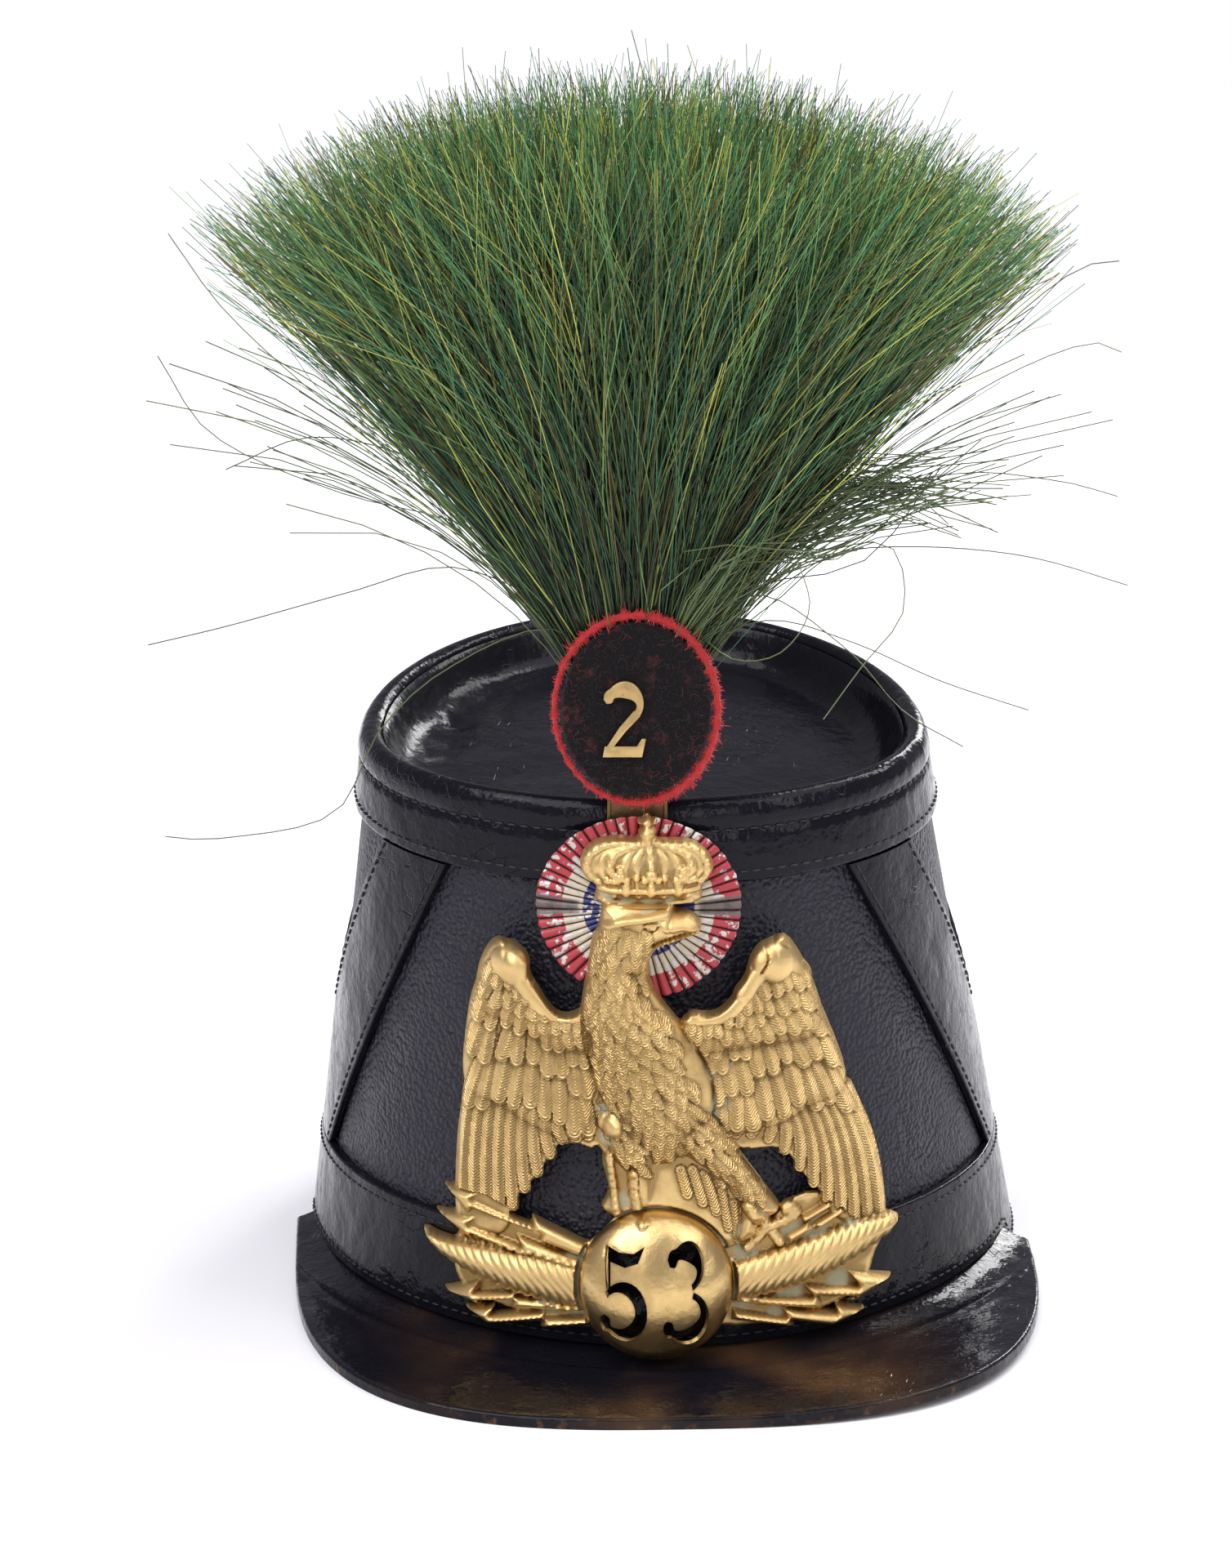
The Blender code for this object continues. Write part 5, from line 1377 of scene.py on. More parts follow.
# Thunderbolts in millimetres: each outline runs from its tip along one side and back
BOLTS_MM = [
    [(-49.2, 37.6), (-40.6, 37.8), (-42.8, 36.0), (-29.4, 32.4), (-29.5, 34.4), (-17.4, 29.6),
     (-17.4, 25.8), (-27.9, 29.0), (-27.7, 30.6), (-42.6, 33.6), (-43.8, 32.2)],
    [(-51.2, 31.2), (-41.2, 32.4), (-43.5, 30.0), (-32.3, 27.6), (-33.2, 29.8), (-17.5, 26.0),
     (-17.5, 22.8), (-30.4, 25.6), (-30.3, 25.0), (-43.1, 27.6), (-42.0, 25.8)],
    [(-49.4, 13.3), (-41.0, 17.6), (-42.2, 14.9), (-32.5, 17.2), (-33.0, 15.8), (-16.5, 16.6),
     (-16.5, 14.2), (-34.4, 12.6), (-34.0, 14.3), (-41.6, 12.6), (-38.8, 11.2)],
    [(-44.6, 10.5), (-37.7, 12.4), (-38.7, 10.4), (-26.1, 13.6), (-26.6, 11.8), (-16.5, 13.4),
     (-16.5, 11.0), (-27.8, 9.0), (-27.3, 10.9), (-38.1, 8.2), (-39.6, 7.8)],
    [(26.0, 30.4), (32.0, 33.0), (31.6, 31.8), (38.8, 34.8), (39.8, 33.2), (32.2, 29.6),
     (33.0, 31.0), (27.0, 28.2)],
    [(29.4, 33.8), (36.0, 36.6), (37.0, 35.0), (30.2, 32.2)],
    [(50.6, 15.6), (40.2, 19.4), (42.5, 15.9), (30.0, 18.6), (32.2, 15.5), (15.5, 18.6),
     (15.5, 16.2), (34.9, 12.0), (33.8, 15.2), (42.0, 13.2), (39.8, 11.6)],
    [(44.4, 9.8), (37.2, 13.0), (37.6, 10.8), (25.0, 14.4), (26.5, 11.8), (14.5, 14.8),
     (14.5, 12.4), (28.3, 9.0), (27.6, 10.6), (36.8, 7.9)],
]

# Plain ground round the bolts in millimetres
PLAIN_MM = [
    [(-49.0, 38.0), (-40.0, 37.8), (-29.0, 33.0), (-15.0, 28.0), (-15.0, 16.0), (-50.0, 20.0)],
    [(13.0, 31.0), (22.0, 36.0), (30.0, 36.4), (38.0, 34.0), (44.0, 30.0), (49.0, 27.4),
     (49.0, 22.0), (13.0, 22.0)],
]

# Places where pale dust has gathered on the plate: x, z and reach in millimetres
DUST_MM = [
    (-13.8, 108.6, 3.0), (-9.0, 106.8, 2.6), (-4.0, 106.6, 2.6), (0.6, 106.6, 2.6), (5.4, 108.4, 2.2),
    (-19.0, 27.0, 4.0), (-21.0, 21.0, 4.5), (-19.5, 15.5, 4.0), (-26.0, 14.5, 3.5), (-36.0, 13.8, 3.0),
    (-10.4, 39.0, 4.0), (-6.5, 36.5, 3.6), (-2.0, 38.0, 3.6), (17.4, 27.4, 3.6), (14.8, 31.4, 4.0),
    (22.0, 36.4, 3.4), (27.0, 31.0, 3.6), (17.0, 17.4, 4.0), (33.0, 29.8, 3.6), (41.0, 28.8, 3.4),
    (46.0, 28.0, 2.6), (27.0, 17.2, 4.0), (38.0, 17.6, 3.4), (-13.6, 60.0, 2.2), (-13.0, 54.0, 2.2),
    (11.6, 69.0, 4.0), (12.0, 60.0, 4.5), (24.0, 12.8, 2.4),
]

# Outline of the scene's crown and head in millimetres
CROWN_MM = [
    (-13.9, 107.0), (-15.4, 110.6), (-17.8, 112.6), (-18.8, 115.4), (-18.0, 118.4), (-15.2, 120.8),
    (-10.6, 121.7), (-6.6, 121.4), (-6.3, 122.9), (-5.3, 124.2), (-6.4, 124.5), (-6.4, 125.6),
    (-5.2, 125.7), (-4.4, 126.6), (-3.6, 125.7), (-2.4, 125.6), (-2.4, 124.5), (-3.5, 124.2),
    (-2.4, 122.9), (-2.2, 121.4), (4.6, 120.8), (8.4, 118.2), (9.9, 114.8), (8.8, 112.4),
    (7.4, 110.6), (5.4, 107.0),
]
HEAD_MM = [
    (-15.0, 97.0), (-14.8, 101.0), (-14.4, 104.4), (-13.6, 107.4), (-8.0, 107.8), (-3.5, 107.8),
    (1.0, 107.4), (1.6, 105.9), (4.0, 105.5), (6.1, 104.2), (7.3, 102.4), (7.0, 101.0),
    (5.0, 100.2), (1.2, 98.8), (-2.6, 97.4), (-4.6, 93.0), (-9.0, 91.0), (-14.6, 92.6),
]


def smooth_loop(points, steps=6):
    """A closed curve through points."""
    points = np.asarray(points, float)
    before, after, later = (np.roll(points, shift, axis=0) for shift in (1, -1, -2))
    made = []
    for share in np.arange(steps) / steps:
        part = 0.5 * (2.0 * points + (after - before) * share
                      + (2.0 * before - 5.0 * points + 4.0 * after - later) * share ** 2
                      + (3.0 * points - before - 3.0 * after + later) * share ** 3)
        made.append(part)
    return np.stack(made, 1).reshape(-1, 2)


def smooth_path(points, steps=6):
    """An open curve through points."""
    points = np.asarray(points, float)
    if len(points) < 3:
        share = np.linspace(0.0, 1.0, 4)[:, None]
        return mix(points[0], points[-1], share)
    ends = np.concatenate([[2.0 * points[0] - points[1]], points, [2.0 * points[-1] - points[-2]]])
    made = []
    for index in range(1, len(ends) - 2):
        before, start, after, later = ends[index - 1:index + 3]
        for share in np.arange(steps) / steps:
            made.append(0.5 * (2.0 * start + (after - before) * share
                               + (2.0 * before - 5.0 * start + 4.0 * after - later) * share ** 2
                               + (3.0 * start - before - 3.0 * after + later) * share ** 3))
    made.append(points[-1])
    return np.array(made)


def curve_mm(points):
    """An open curve in metres through points in millimetres."""
    return smooth_path(np.array(points) * MM)


def path_runs(path):
    """How far along a path each of its points lies."""
    return np.concatenate([[0.0], np.cumsum(np.linalg.norm(np.diff(path, axis=0), axis=1))])


def along_path(path, count):
    """Evenly spaced points on a path."""
    steps = path_runs(path)
    places = np.linspace(0.0, steps[-1], count)
    return np.stack([np.interp(places, steps, path[:, axis]) for axis in range(path.shape[1])], -1)


def outline_depth(x, z, outline):
    """Distance from points to an outline, negative outside it."""
    outline = np.asarray(outline, float)
    nearest = np.full(x.shape, 1.0)
    inside = np.zeros(x.shape, bool)
    for start, end in zip(outline, np.roll(outline, -1, axis=0)):
        along = end - start
        share = ((x - start[0]) * along[0] + (z - start[1]) * along[1]) / max(along @ along, 1e-18)
        share = np.clip(share, 0.0, 1.0)
        distance = np.hypot(x - start[0] - along[0] * share, z - start[1] - along[1] * share)
        nearest = np.minimum(nearest, distance)
        if start[1] != end[1]:
            crosses = (start[1] > z) != (end[1] > z)
            inside ^= crosses & (start[0] + (z - start[1]) / along[1] * along[0] > x)
    return np.where(inside, nearest, -nearest)


class PlateField:
    """Heights over the plate on a grid: broad relief, fine detail and the outline."""

    def __init__(self, step):
        self.step = step
        self.axis_x = np.arange(-47.0 * PERCENT, 47.0 * PERCENT, step)
        self.axis_z = np.arange(PLATE_BOTTOM_Z - 0.002, PLATE_BOTTOM_Z + PLATE_HEIGHT + 0.002, step)
        self.x, self.z = np.meshgrid(self.axis_x, self.axis_z, indexing="ij")
        self.inside = np.full(self.x.shape, -0.01)
        self.broad = np.zeros(self.x.shape)
        self.detail = np.zeros(self.x.shape)
        self.barb = np.zeros(self.x.shape)

    def window(self, points, margin):
        """The grid's part round some points."""
        low = points.min(0) - margin
        high = points.max(0) + margin
        first = (np.searchsorted(self.axis_x, low[0]), np.searchsorted(self.axis_z, low[1]))
        last = (np.searchsorted(self.axis_x, high[0]), np.searchsorted(self.axis_z, high[1]))
        return slice(first[0], last[0]), slice(first[1], last[1])

    def add_outline(self, outline, kind, inset=0.0, crease=False):
        """Raise the inside of an outline, and keep the sheet where it is deeper than the inset."""
        edge, rise, width = RELIEF[kind]
        edge *= PLATE_RELIEF
        rise *= PLATE_RELIEF
        width *= PERCENT
        part = self.window(outline, 0.002)
        depth = outline_depth(self.x[part], self.z[part], outline)
        share = np.clip(depth / width, 0.0, 1.0)
        swell = share if crease else np.sin(share * math.pi / 2.0)
        lip = np.sqrt(np.clip(depth / 0.0006, 0.0, 1.0))
        height = np.where(depth > 0.0, edge * lip + rise * swell, 0.0)
        self.broad[part] = np.maximum(self.broad[part], height)
        self.inside[part] = np.maximum(self.inside[part], depth - inset)
        return part, depth

    def add_stroke(self, path, radii, rise, tilt=0.0, barbs=0.0, widen=False, flat=2.0, level=0.0,
                   shaft=0.0):
        """Lay a rounded stroke over what is there, higher towards its end by a tilt."""
        path = np.asarray(path, float)
        radii = np.broadcast_to(radii, len(path))
        part = self.window(path, float(np.max(radii)) + self.step)
        x, z = self.x[part], self.z[part]
        best = np.full(x.shape, 1.0)
        ratio, side, run = (np.zeros(x.shape) for _ in range(3))
        lengths = path_runs(path)
        for index in range(len(path) - 1):
            start, end = path[index], path[index + 1]
            along = end - start
            size = max(along @ along, 1e-18)
            share = np.clip(((x - start[0]) * along[0] + (z - start[1]) * along[1]) / size, 0.0, 1.0)
            off_x = x - start[0] - along[0] * share
            off_z = z - start[1] - along[1] * share
            radius = mix(radii[index], radii[index + 1], share)
            distance = np.hypot(off_x, off_z)
            score = distance - radius
            better = score < best
            best = np.where(better, score, best)
            ratio = np.where(better, distance / np.maximum(radius, 1e-6), ratio)
            turn = np.sign(along[0] * off_z - along[1] * off_x)
            side = np.where(better, distance * turn, side)
            run = np.where(better, lengths[index] + share * (lengths[index + 1] - lengths[index]), run)
        inside = best < 0.0
        pillow = np.sqrt(np.clip(1.0 - ratio ** flat, 0.0, 1.0))
        grown = level + rise * pillow + tilt * run / max(lengths[-1], 1e-9)
        grown = grown + shaft * np.exp(-(side / 0.00022) ** 2)
        if rise < 0.0:
            self.detail[part] += np.where(inside, rise * pillow, 0.0)
            return
        wins = inside & (grown > self.detail[part])
        self.detail[part] = np.where(wins, grown, self.detail[part])
        hatch = (run + 0.9 * np.abs(side)) * barbs
        self.barb[part] = np.where(wins, hatch, self.barb[part])
        if widen:
            self.inside[part] = np.maximum(self.inside[part], -best)


def plate_metres(outline):
    """Metres for points in percent of the plate's height."""
    return np.asarray(outline, float) * PERCENT + np.array([0.0, PLATE_BOTTOM_Z])


def add_flight(field, rows, half, bow):
    """Long feathers of one wing, each with a shaft and barbs."""
    for root_x, root_z, tip_x, tip_z in rows:
        root = np.array([root_x, root_z]) * MM
        tip = np.array([tip_x, tip_z]) * MM
        along = tip - root
        normal = np.array([-along[1], along[0]]) / np.linalg.norm(along)
        tip = tip - along / np.linalg.norm(along) * 0.8 * half
        share = np.linspace(0.0, 1.0, 14)[:, None]
        path = mix(root, tip, share) + normal * bow * np.sin(math.pi * share)
        radii = half * np.array([0.92] * 4 + [1.0] * 8 + [0.96, 0.86])
        field.add_stroke(path, radii, rise=0.00042, tilt=0.0001, barbs=BARB_PITCH, widen=True,
                         flat=4.0, level=0.0001, shaft=0.00016)


def add_coverts(field, rows, fan, half, rng):
    """Rows of short feathers that lie over one another like tiles."""
    anchor = np.array(fan) * MM
    for order, (length, tips) in enumerate(rows):
        path = curve_mm(tips)
        total = np.linalg.norm(np.diff(path, axis=0), axis=1).sum()
        wide = half * (1.32 - 0.10 * order)
        spots = along_path(path, max(int(round(total / (1.72 * wide))), 2))
        for number, spot in enumerate(spots):
            away = spot - anchor
            away = away / np.linalg.norm(away)
            away = away + rng.normal(0.0, 0.05, 2)
            away = away / np.linalg.norm(away)
            shift = (0.9 if number % 2 else -0.4) * MM + rng.normal(0.0, 0.3) * MM
            tip = spot + away * (shift - 0.7 * wide)
            root = tip - away * length * MM
            share = np.linspace(0.0, 1.0, 6)[:, None]
            bend = np.array([-away[1], away[0]]) * rng.normal(0.0, 0.25) * MM
            line = mix(root, tip, share) + bend * np.sin(math.pi * share)
            radii = wide * rng.uniform(0.92, 1.12) * np.array([0.8, 0.9, 1.0, 1.05, 1.0, 0.85])
            field.add_stroke(line, radii, rise=0.00030, tilt=0.00070, barbs=BARB_PITCH,
                             flat=4.0, level=0.00008 * order, shaft=0.00012)


def add_scales(field, line, half, length, spread, rng, rise=0.0004, tilt=0.0006):
    """Tile-like scales down a tapered body: line rows are x, z and half width in mm."""
    line = np.array(line) * MM
    path = smooth_path(line)
    total = np.linalg.norm(np.diff(path[:, :2], axis=0), axis=1).sum()
    rows = max(int(round(total / (0.62 * length))), 2)
    spots = along_path(path, rows)
    directions = np.gradient(spots[:, :2], axis=0)
    directions /= np.linalg.norm(directions, axis=1)[:, None]
    for order, (spot, ahead) in enumerate(zip(spots, directions)):
        across = np.array([-ahead[1], ahead[0]])
        wide = spot[2]
        count = max(int(round(2.0 * wide / (1.7 * half))), 1)
        for number in range(-count, count + 1):
            place = (number + 0.5 * (order % 2)) * 1.7 * half + rng.normal(0.0, 0.12 * half)
            if abs(place) > wide:
                continue
            fan = spread * place / wide
            heading = ahead + across * (fan + rng.normal(0.0, 0.10))
            heading = heading / np.linalg.norm(heading)
            drop = (1.0 - (place / wide) ** 2) * 0.35 * length + rng.normal(0.0, 0.08 * length)
            tip = spot[:2] + across * place + ahead * drop
            root = tip - heading * length
            share = np.linspace(0.0, 1.0, 5)[:, None]
            bend = np.array([-heading[1], heading[0]]) * rng.normal(0.0, 0.08 * length)
            path_points = mix(root, tip, share) + bend * np.sin(math.pi * share)
            radii = half * np.array([0.85, 1.0, 1.0, 0.8, 0.45])
            field.add_stroke(path_points, radii, rise, tilt, BARB_PITCH, flat=3.0, shaft=0.00008)


def depth_of_bundle(field, part, path):
    """Distance inside a bundle's outline."""
    tip = path[-1, :2] + (path[-1, :2] - path[-4, :2])
    upper = path[:, :2] + [0.0, 1.0] * path[:, 2:]
    lower = (path[:, :2] - [0.0, 1.0] * path[:, 2:])[::-1]
    return outline_depth(field.x[part], field.z[part], np.concatenate([upper, [tip], lower]))


def add_bundle(field, stations, slant):
    """A twisted bundle: a half round with slanting rounded ridges."""
    line = np.array(stations) * PERCENT
    line[:, 1] += PLATE_BOTTOM_Z
    path = smooth_path(line)
    part = field.window(path[:, :2], 0.006)
    depth = depth_of_bundle(field, part, path)
    share = np.clip(depth / BUNDLE_ROUND, 0.0, 1.0)
    swell = BUNDLE_RISE * np.sqrt(1.0 - (1.0 - share) ** 2)
    height = np.where(depth > 0.0, BUNDLE_EDGE + swell, 0.0)
    field.broad[part] = np.maximum(field.broad[part], height)
    field.inside[part] = np.maximum(field.inside[part], depth)
    clear_detail(field, part, depth)
    spots = along_path(path, BUNDLE_RIDGES)
    step = np.linalg.norm(spots[1, :2] - spots[0, :2])
    for spot in spots:
        reach = spot[2] * 1.04
        bend = np.linspace(-1.0, 1.0, 11)[:, None]
        lean = slant * (0.62 * bend + 0.12 * np.sin(math.pi * bend))
        ridge = spot[:2] + np.concatenate([lean * reach, bend * reach], axis=1)
        width = step * (0.56 - 0.10 * bend[:, 0] ** 4)
        field.add_stroke(ridge, width, BUNDLE_EDGE)


def clear_detail(field, part, depth):
    """Take the fine detail away inside an outline that lies on top."""
    field.detail[part] = np.where(depth > 0.0, 0.0, field.detail[part])
    field.barb[part] = np.where(depth > 0.0, 0.0, field.barb[part])


def add_beads(field, path, radius, rise, spacing, level=0.0002):
    """A row of round beads along a path."""
    path = curve_mm(path)
    total = np.linalg.norm(np.diff(path, axis=0), axis=1).sum()
    for spot in along_path(path, max(int(total / spacing), 2)):
        field.add_stroke([spot, spot + 1.0e-6], radius, rise, level=level)


def draw_grounds(field):
    """The plain forms under the detail: webs, wings, tail and the ground between the legs."""
    for outline in (LEFT_WING, RIGHT_WING):
        field.add_outline(smooth_loop(plate_metres(outline)), "wing", inset=WING_INSET)
    for kind, outline in SOFT_OUTLINES:
        field.add_outline(smooth_loop(plate_metres(outline)), kind)
    for kind, loop in FILLS_MM:
        field.add_outline(smooth_loop(np.array(loop) * MM), kind)


def draw_wings(field, half, rng):
    """Flight feathers, coverts, and the rolls at the wings' tops."""
    add_flight(field, LEFT_FLIGHT_MM, half, -0.0008)
    add_flight(field, RIGHT_FLIGHT_MM, half, 0.0016)
    add_coverts(field, LEFT_ROWS_MM, LEFT_FAN_MM, half, rng)
    add_coverts(field, RIGHT_ROWS_MM, RIGHT_FAN_MM, half, rng)
    for reach, rise, path in ROLLS_MM:
        field.add_stroke(curve_mm(path), reach * MM, rise * MM)


def draw_bolts(field):
    """Thunderbolts on plain ground, the two bundles, and the tail's feathers."""
    for loop in PLAIN_MM:
        loop = np.array(loop) * MM
        part = field.window(loop, 0.001)
        clear_detail(field, part, outline_depth(field.x[part], field.z[part], loop))
    for loop in BOLTS_MM:
        clear_detail(field, *field.add_outline(np.array(loop) * MM, "bolt", crease=True))
    add_bundle(field, LEFT_BUNDLE, -1.0)
    add_bundle(field, RIGHT_BUNDLE, 1.0)
    for half_width, path in TAIL_LINES_MM:
        field.add_stroke(curve_mm(path), half_width * MM, rise=0.0006, tilt=0.0002,
                         barbs=BARB_PITCH, widen=True, flat=2.2, shaft=0.00014)


def draw_bird(field, rng):
    """Body, legs, head and crown, which lie over the wings and tail, with scales and feet."""
    for outline, kind in ((LEFT_LEG, "leg"), (RIGHT_LEG, "leg"), (BIRD_BODY, "body")):
        clear_detail(field, *field.add_outline(smooth_loop(plate_metres(outline)), kind))
    for loop, kind in ((HEAD_MM, "head"), (CROWN_MM, "crown")):
        clear_detail(field, *field.add_outline(smooth_loop(np.array(loop) * MM), kind))
    add_scales(field, BODY_LINE_MM, 0.00165, 0.0050, 0.35, rng, 0.00022, 0.00050)
    add_scales(field, LEFT_THIGH_MM, 0.00115, 0.0050, 0.3, rng)
    add_scales(field, RIGHT_THIGH_MM, 0.00125, 0.0056, 0.3, rng)
    for reach, rise, path in FEET_MM:
        line = curve_mm(path)
        ripple = 1.0 + 0.14 * np.sin(np.arange(len(line)) * 2.1)
        field.add_stroke(line, reach * MM * ripple, 0.7 * rise * MM, level=0.0009, widen=True)
        add_beads(field, path, 0.9 * reach * MM, 0.7 * rise * MM, 1.5 * reach * MM, 0.0012)


def draw_crown(field):
    """Folds, arches and bands of the crown, the head's lines, and the jewels."""
    for path in CAP_FOLDS_MM:
        field.add_stroke(curve_mm(path), 0.0006, 0.0004)
    for path in ARCHES_MM:
        field.add_stroke(curve_mm(path), 0.00095, 0.0007)
        add_beads(field, path, 0.00055, 0.0009, 0.0016)
    for reach, rise, path in HEAD_LINES_MM + CROWN_LINES_MM:
        field.add_stroke(curve_mm(path), reach * MM, rise * MM)
    for x, z, radius, rise in JEWELS_MM:
        spot = np.array([[x, z], [x + 0.01, z]]) * MM
        field.add_stroke(spot, radius * MM, rise * MM, level=0.0002)


def fill_field(field, settings):
    """Draw every part of the plate into the field, and return its heights."""
    rng = np.random.default_rng(5)
    draw_grounds(field)
    draw_wings(field, settings.feather_half, rng)
    draw_bolts(field)
    draw_bird(field, rng)
    draw_crown(field)
    # The plate is cut away behind the ball
    away = np.hypot(field.x - BALL_X, field.z - BALL_Z)
    limit = mix(BALL_GROUND, 1.5 * PLATE_RELIEF, smooth_step(away - BALL_RADIUS, GAP, BALL_MARGIN))
    field.inside = np.minimum(field.inside, away - (BALL_RADIUS - BALL_LAP))
    return np.minimum(field.broad + field.detail, limit)


def blurred(values, weight, reach):
    """A box blur of values where the weight is set."""
    total, count = values * weight, weight.astype(float)
    for axis in (0, 1):
        for _ in range(2):
            total = box_sum(total, reach, axis)
            count = box_sum(count, reach, axis)
    return total / np.maximum(count, 1e-9)


def box_sum(values, reach, axis):
    """Running sums over a window."""
    width = [(0, 0), (0, 0)]
    width[axis] = (reach + 1, reach)
    padded = np.cumsum(np.pad(values, width), axis=axis)
    size = values.shape[axis]
    high = np.take(padded, np.arange(2 * reach + 1, 2 * reach + 1 + size), axis=axis)
    low = np.take(padded, np.arange(size), axis=axis)
    return high - low


def stand_off(x, z):
    """Offset of the plate's back: it steps over the bands and the cockade."""
    across = (x - COCKADE_X) / (COCKADE_WIDTH / 2.0)
    up = (z - COCKADE_Z) / (COCKADE_HEIGHT / 2.0)
    low = GAP + BAND_THICKNESS + PLATE_CLEARANCE
    high = cockade_offset() + COCKADE_THICKNESS + COCKADE_PLEAT + PLATE_CLEARANCE
    return mix(high, low, smooth_step(np.hypot(across, up), 1.15, 1.9))


def kept_cells(inside, margin):
    """Cells whose four corners are inside, without cells that touch at one corner."""
    good = inside > -margin
    cell = good[:-1, :-1] & good[1:, :-1] & good[:-1, 1:] & good[1:, 1:]
    for _ in range(8):
        a, b, c, d = cell[:-1, :-1], cell[1:, :-1], cell[:-1, 1:], cell[1:, 1:]
        touch = (a & d & ~b & ~c) | (b & c & ~a & ~d)
        if not touch.any():
            break
        for row, column in zip(*np.nonzero(touch)):
            cell[row:row + 2, column:column + 2] = False
    return cell


# Grid steps between the points inside the plate's back
BACK_STEP = 12


def snap_rim(field, x, z, grid_place):
    """Rim points moved on to the true outline."""
    slope_x, slope_z = np.gradient(field.inside, field.step)
    depth = field.inside.reshape(-1)[grid_place]
    tilt_x = slope_x.reshape(-1)[grid_place]
    tilt_z = slope_z.reshape(-1)[grid_place]
    size = np.maximum(np.hypot(tilt_x, tilt_z), 0.5) ** 2
    shift = np.clip(depth, -0.9 * field.step, 1.2 * field.step)
    return x - shift * tilt_x / size, z - shift * tilt_z / size


def relief_map(field, height):
    """From -1 in the relief's hollows to 1 on its crests, fine and broad ones together."""
    solid = field.inside > -field.step
    fine = height - blurred(height, solid, 3)
    wide = height - blurred(height, solid, 8)
    relief = np.clip(fine / 0.00025 * 0.6 + wide / 0.0006 * 0.5, -1.0, 1.0)
    return np.where(relief < 0.0, relief * smooth_step(field.inside, 0.0005, 0.0016), relief)


def dust_map(field):
    """How much pale dust has gathered at each place."""
    dust = np.zeros(field.x.shape)
    for spot_x, spot_z, reach in DUST_MM:
        away = np.hypot(field.x - spot_x * MM, field.z - spot_z * MM)
        dust = np.maximum(dust, np.exp(-(away / (reach * MM)) ** 2))
    return dust


def plate_back(field, rim, border):
    """The back's plain sheet over rim points and a wide grid: grid points and all faces."""
    rows, columns = field.x.shape
    far_row, far_column = np.meshgrid(np.arange(6, rows, BACK_STEP),
                                      np.arange(6, columns, BACK_STEP), indexing="ij")
    deep = field.inside[far_row, far_column] > 0.0022
    inner = np.stack([field.x[far_row, far_column][deep], field.z[far_row, far_column][deep]], -1)
    flat = [tuple(point) for point in np.concatenate([rim, inner])]
    places, _, faces, sources = delaunay_2d_cdt(flat, border, [], 0, 1.0e-7)[:4]
    middle = np.array([[(places[i][0], places[i][1]) for i in face] for face in faces]).mean(1)
    cell_x = np.clip(((middle[:, 0] - field.axis_x[0]) / field.step).astype(int), 0, rows - 2)
    cell_z = np.clip(((middle[:, 1] - field.axis_z[0]) / field.step).astype(int), 0, columns - 2)
    around = field.inside[cell_x, cell_z] + field.inside[cell_x + 1, cell_z + 1]
    source = [items[0] if items else 0 for items in sources]
    kept = [[source[index] for index in face] for face, depth in zip(faces, around) if depth > -0.0002]
    return inner, kept


def make_eagle_plate(settings, material):
    """The crowned eagle on thunderbolts, open between its wings and legs."""
    field = PlateField(settings.relief_step)
    height = fill_field(field, settings)
    columns = field.x.shape[1]
    row, column = np.nonzero(kept_cells(field.inside, 0.5 * field.step))
    corner = row * columns + column
    quads = np.stack([corner, corner + columns, corner + columns + 1, corner + 1], -1)
    used, place = np.unique(quads, return_inverse=True)
    faces = place.reshape(-1, 4).tolist()
    x, z, rise = (values.reshape(-1)[used].copy() for values in (field.x, field.z, height))
    border = border_edges(faces)
    rim = np.array(sorted({index for edge in border for index in edge}))
    x[rim], z[rim] = snap_rim(field, x[rim], z[rim], used[rim])
    rise[rim] = np.minimum(rise[rim], 0.0003)
    off = stand_off(x, z)
    front = front_point(x, z, off + PLATE_THICKNESS + rise)
    back = front_point(x[rim], z[rim], off[rim])
    near = {int(index): order for order, index in enumerate(rim)}
    inner, back_faces = plate_back(field, np.stack([x[rim], z[rim]], -1),
                                   [(near[a], near[b]) for a, b in border])
    inner_back = front_point(inner[:, 0], inner[:, 1], stand_off(inner[:, 0], inner[:, 1]))
    count = len(front)
    points = np.concatenate([front, back, inner_back])
    faces += [[count + index for index in face][::-1] for face in back_faces]
    faces += [[b, a, count + near[a], count + near[b]] for a, b in border]
    extra = len(points) - count
    values = {}
    for key, grid, behind in (("relief", relief_map(field, height), -0.3),
                              ("barb", field.barb, 0.0), ("dust", dust_map(field), 0.0)):
        values[key] = np.concatenate([grid.reshape(-1)[used], np.full(extra, behind)])
    return make_object("eagle_plate_brass", points, faces, material, values, sharp=75.0)


# Digits: each stroke is a path with half widths, in shares of the digit's box


def arc(centre, radius, start, end, steps=24):
    """Points of an arc, in degrees from the right."""
    angle = np.radians(np.linspace(start, end, steps + 1))
    return np.stack([centre[0] + radius[0] * np.cos(angle), centre[1] + radius[1] * np.sin(angle)], -1)


def stroke(path, thin, thick, ball):
    """The outline of a pen stroke that swells in the middle and ends in a ball."""
    run = path_runs(path)
    along = np.gradient(path, axis=0)
    along /= np.linalg.norm(along, axis=1)[:, None]
    across = np.stack([-along[:, 1], along[:, 0]], -1)
    half = mix(thin, thick, np.sin(math.pi * run / run[-1]) ** 2)
    from_ball = run[-1] - ball - run
    round_end = np.sqrt(np.maximum(ball ** 2 - from_ball ** 2, 0.0))
    in_ball = np.abs(from_ball) < ball
    half = np.where(in_ball & (from_ball <= 0.0), 0.0, half)
    half = np.where(in_ball, np.maximum(half, round_end), half)
    left = path + across * half[:, None]
    right = path - across * np.maximum(half, 0.002)[:, None]
    return np.concatenate([left, right[::-1]])


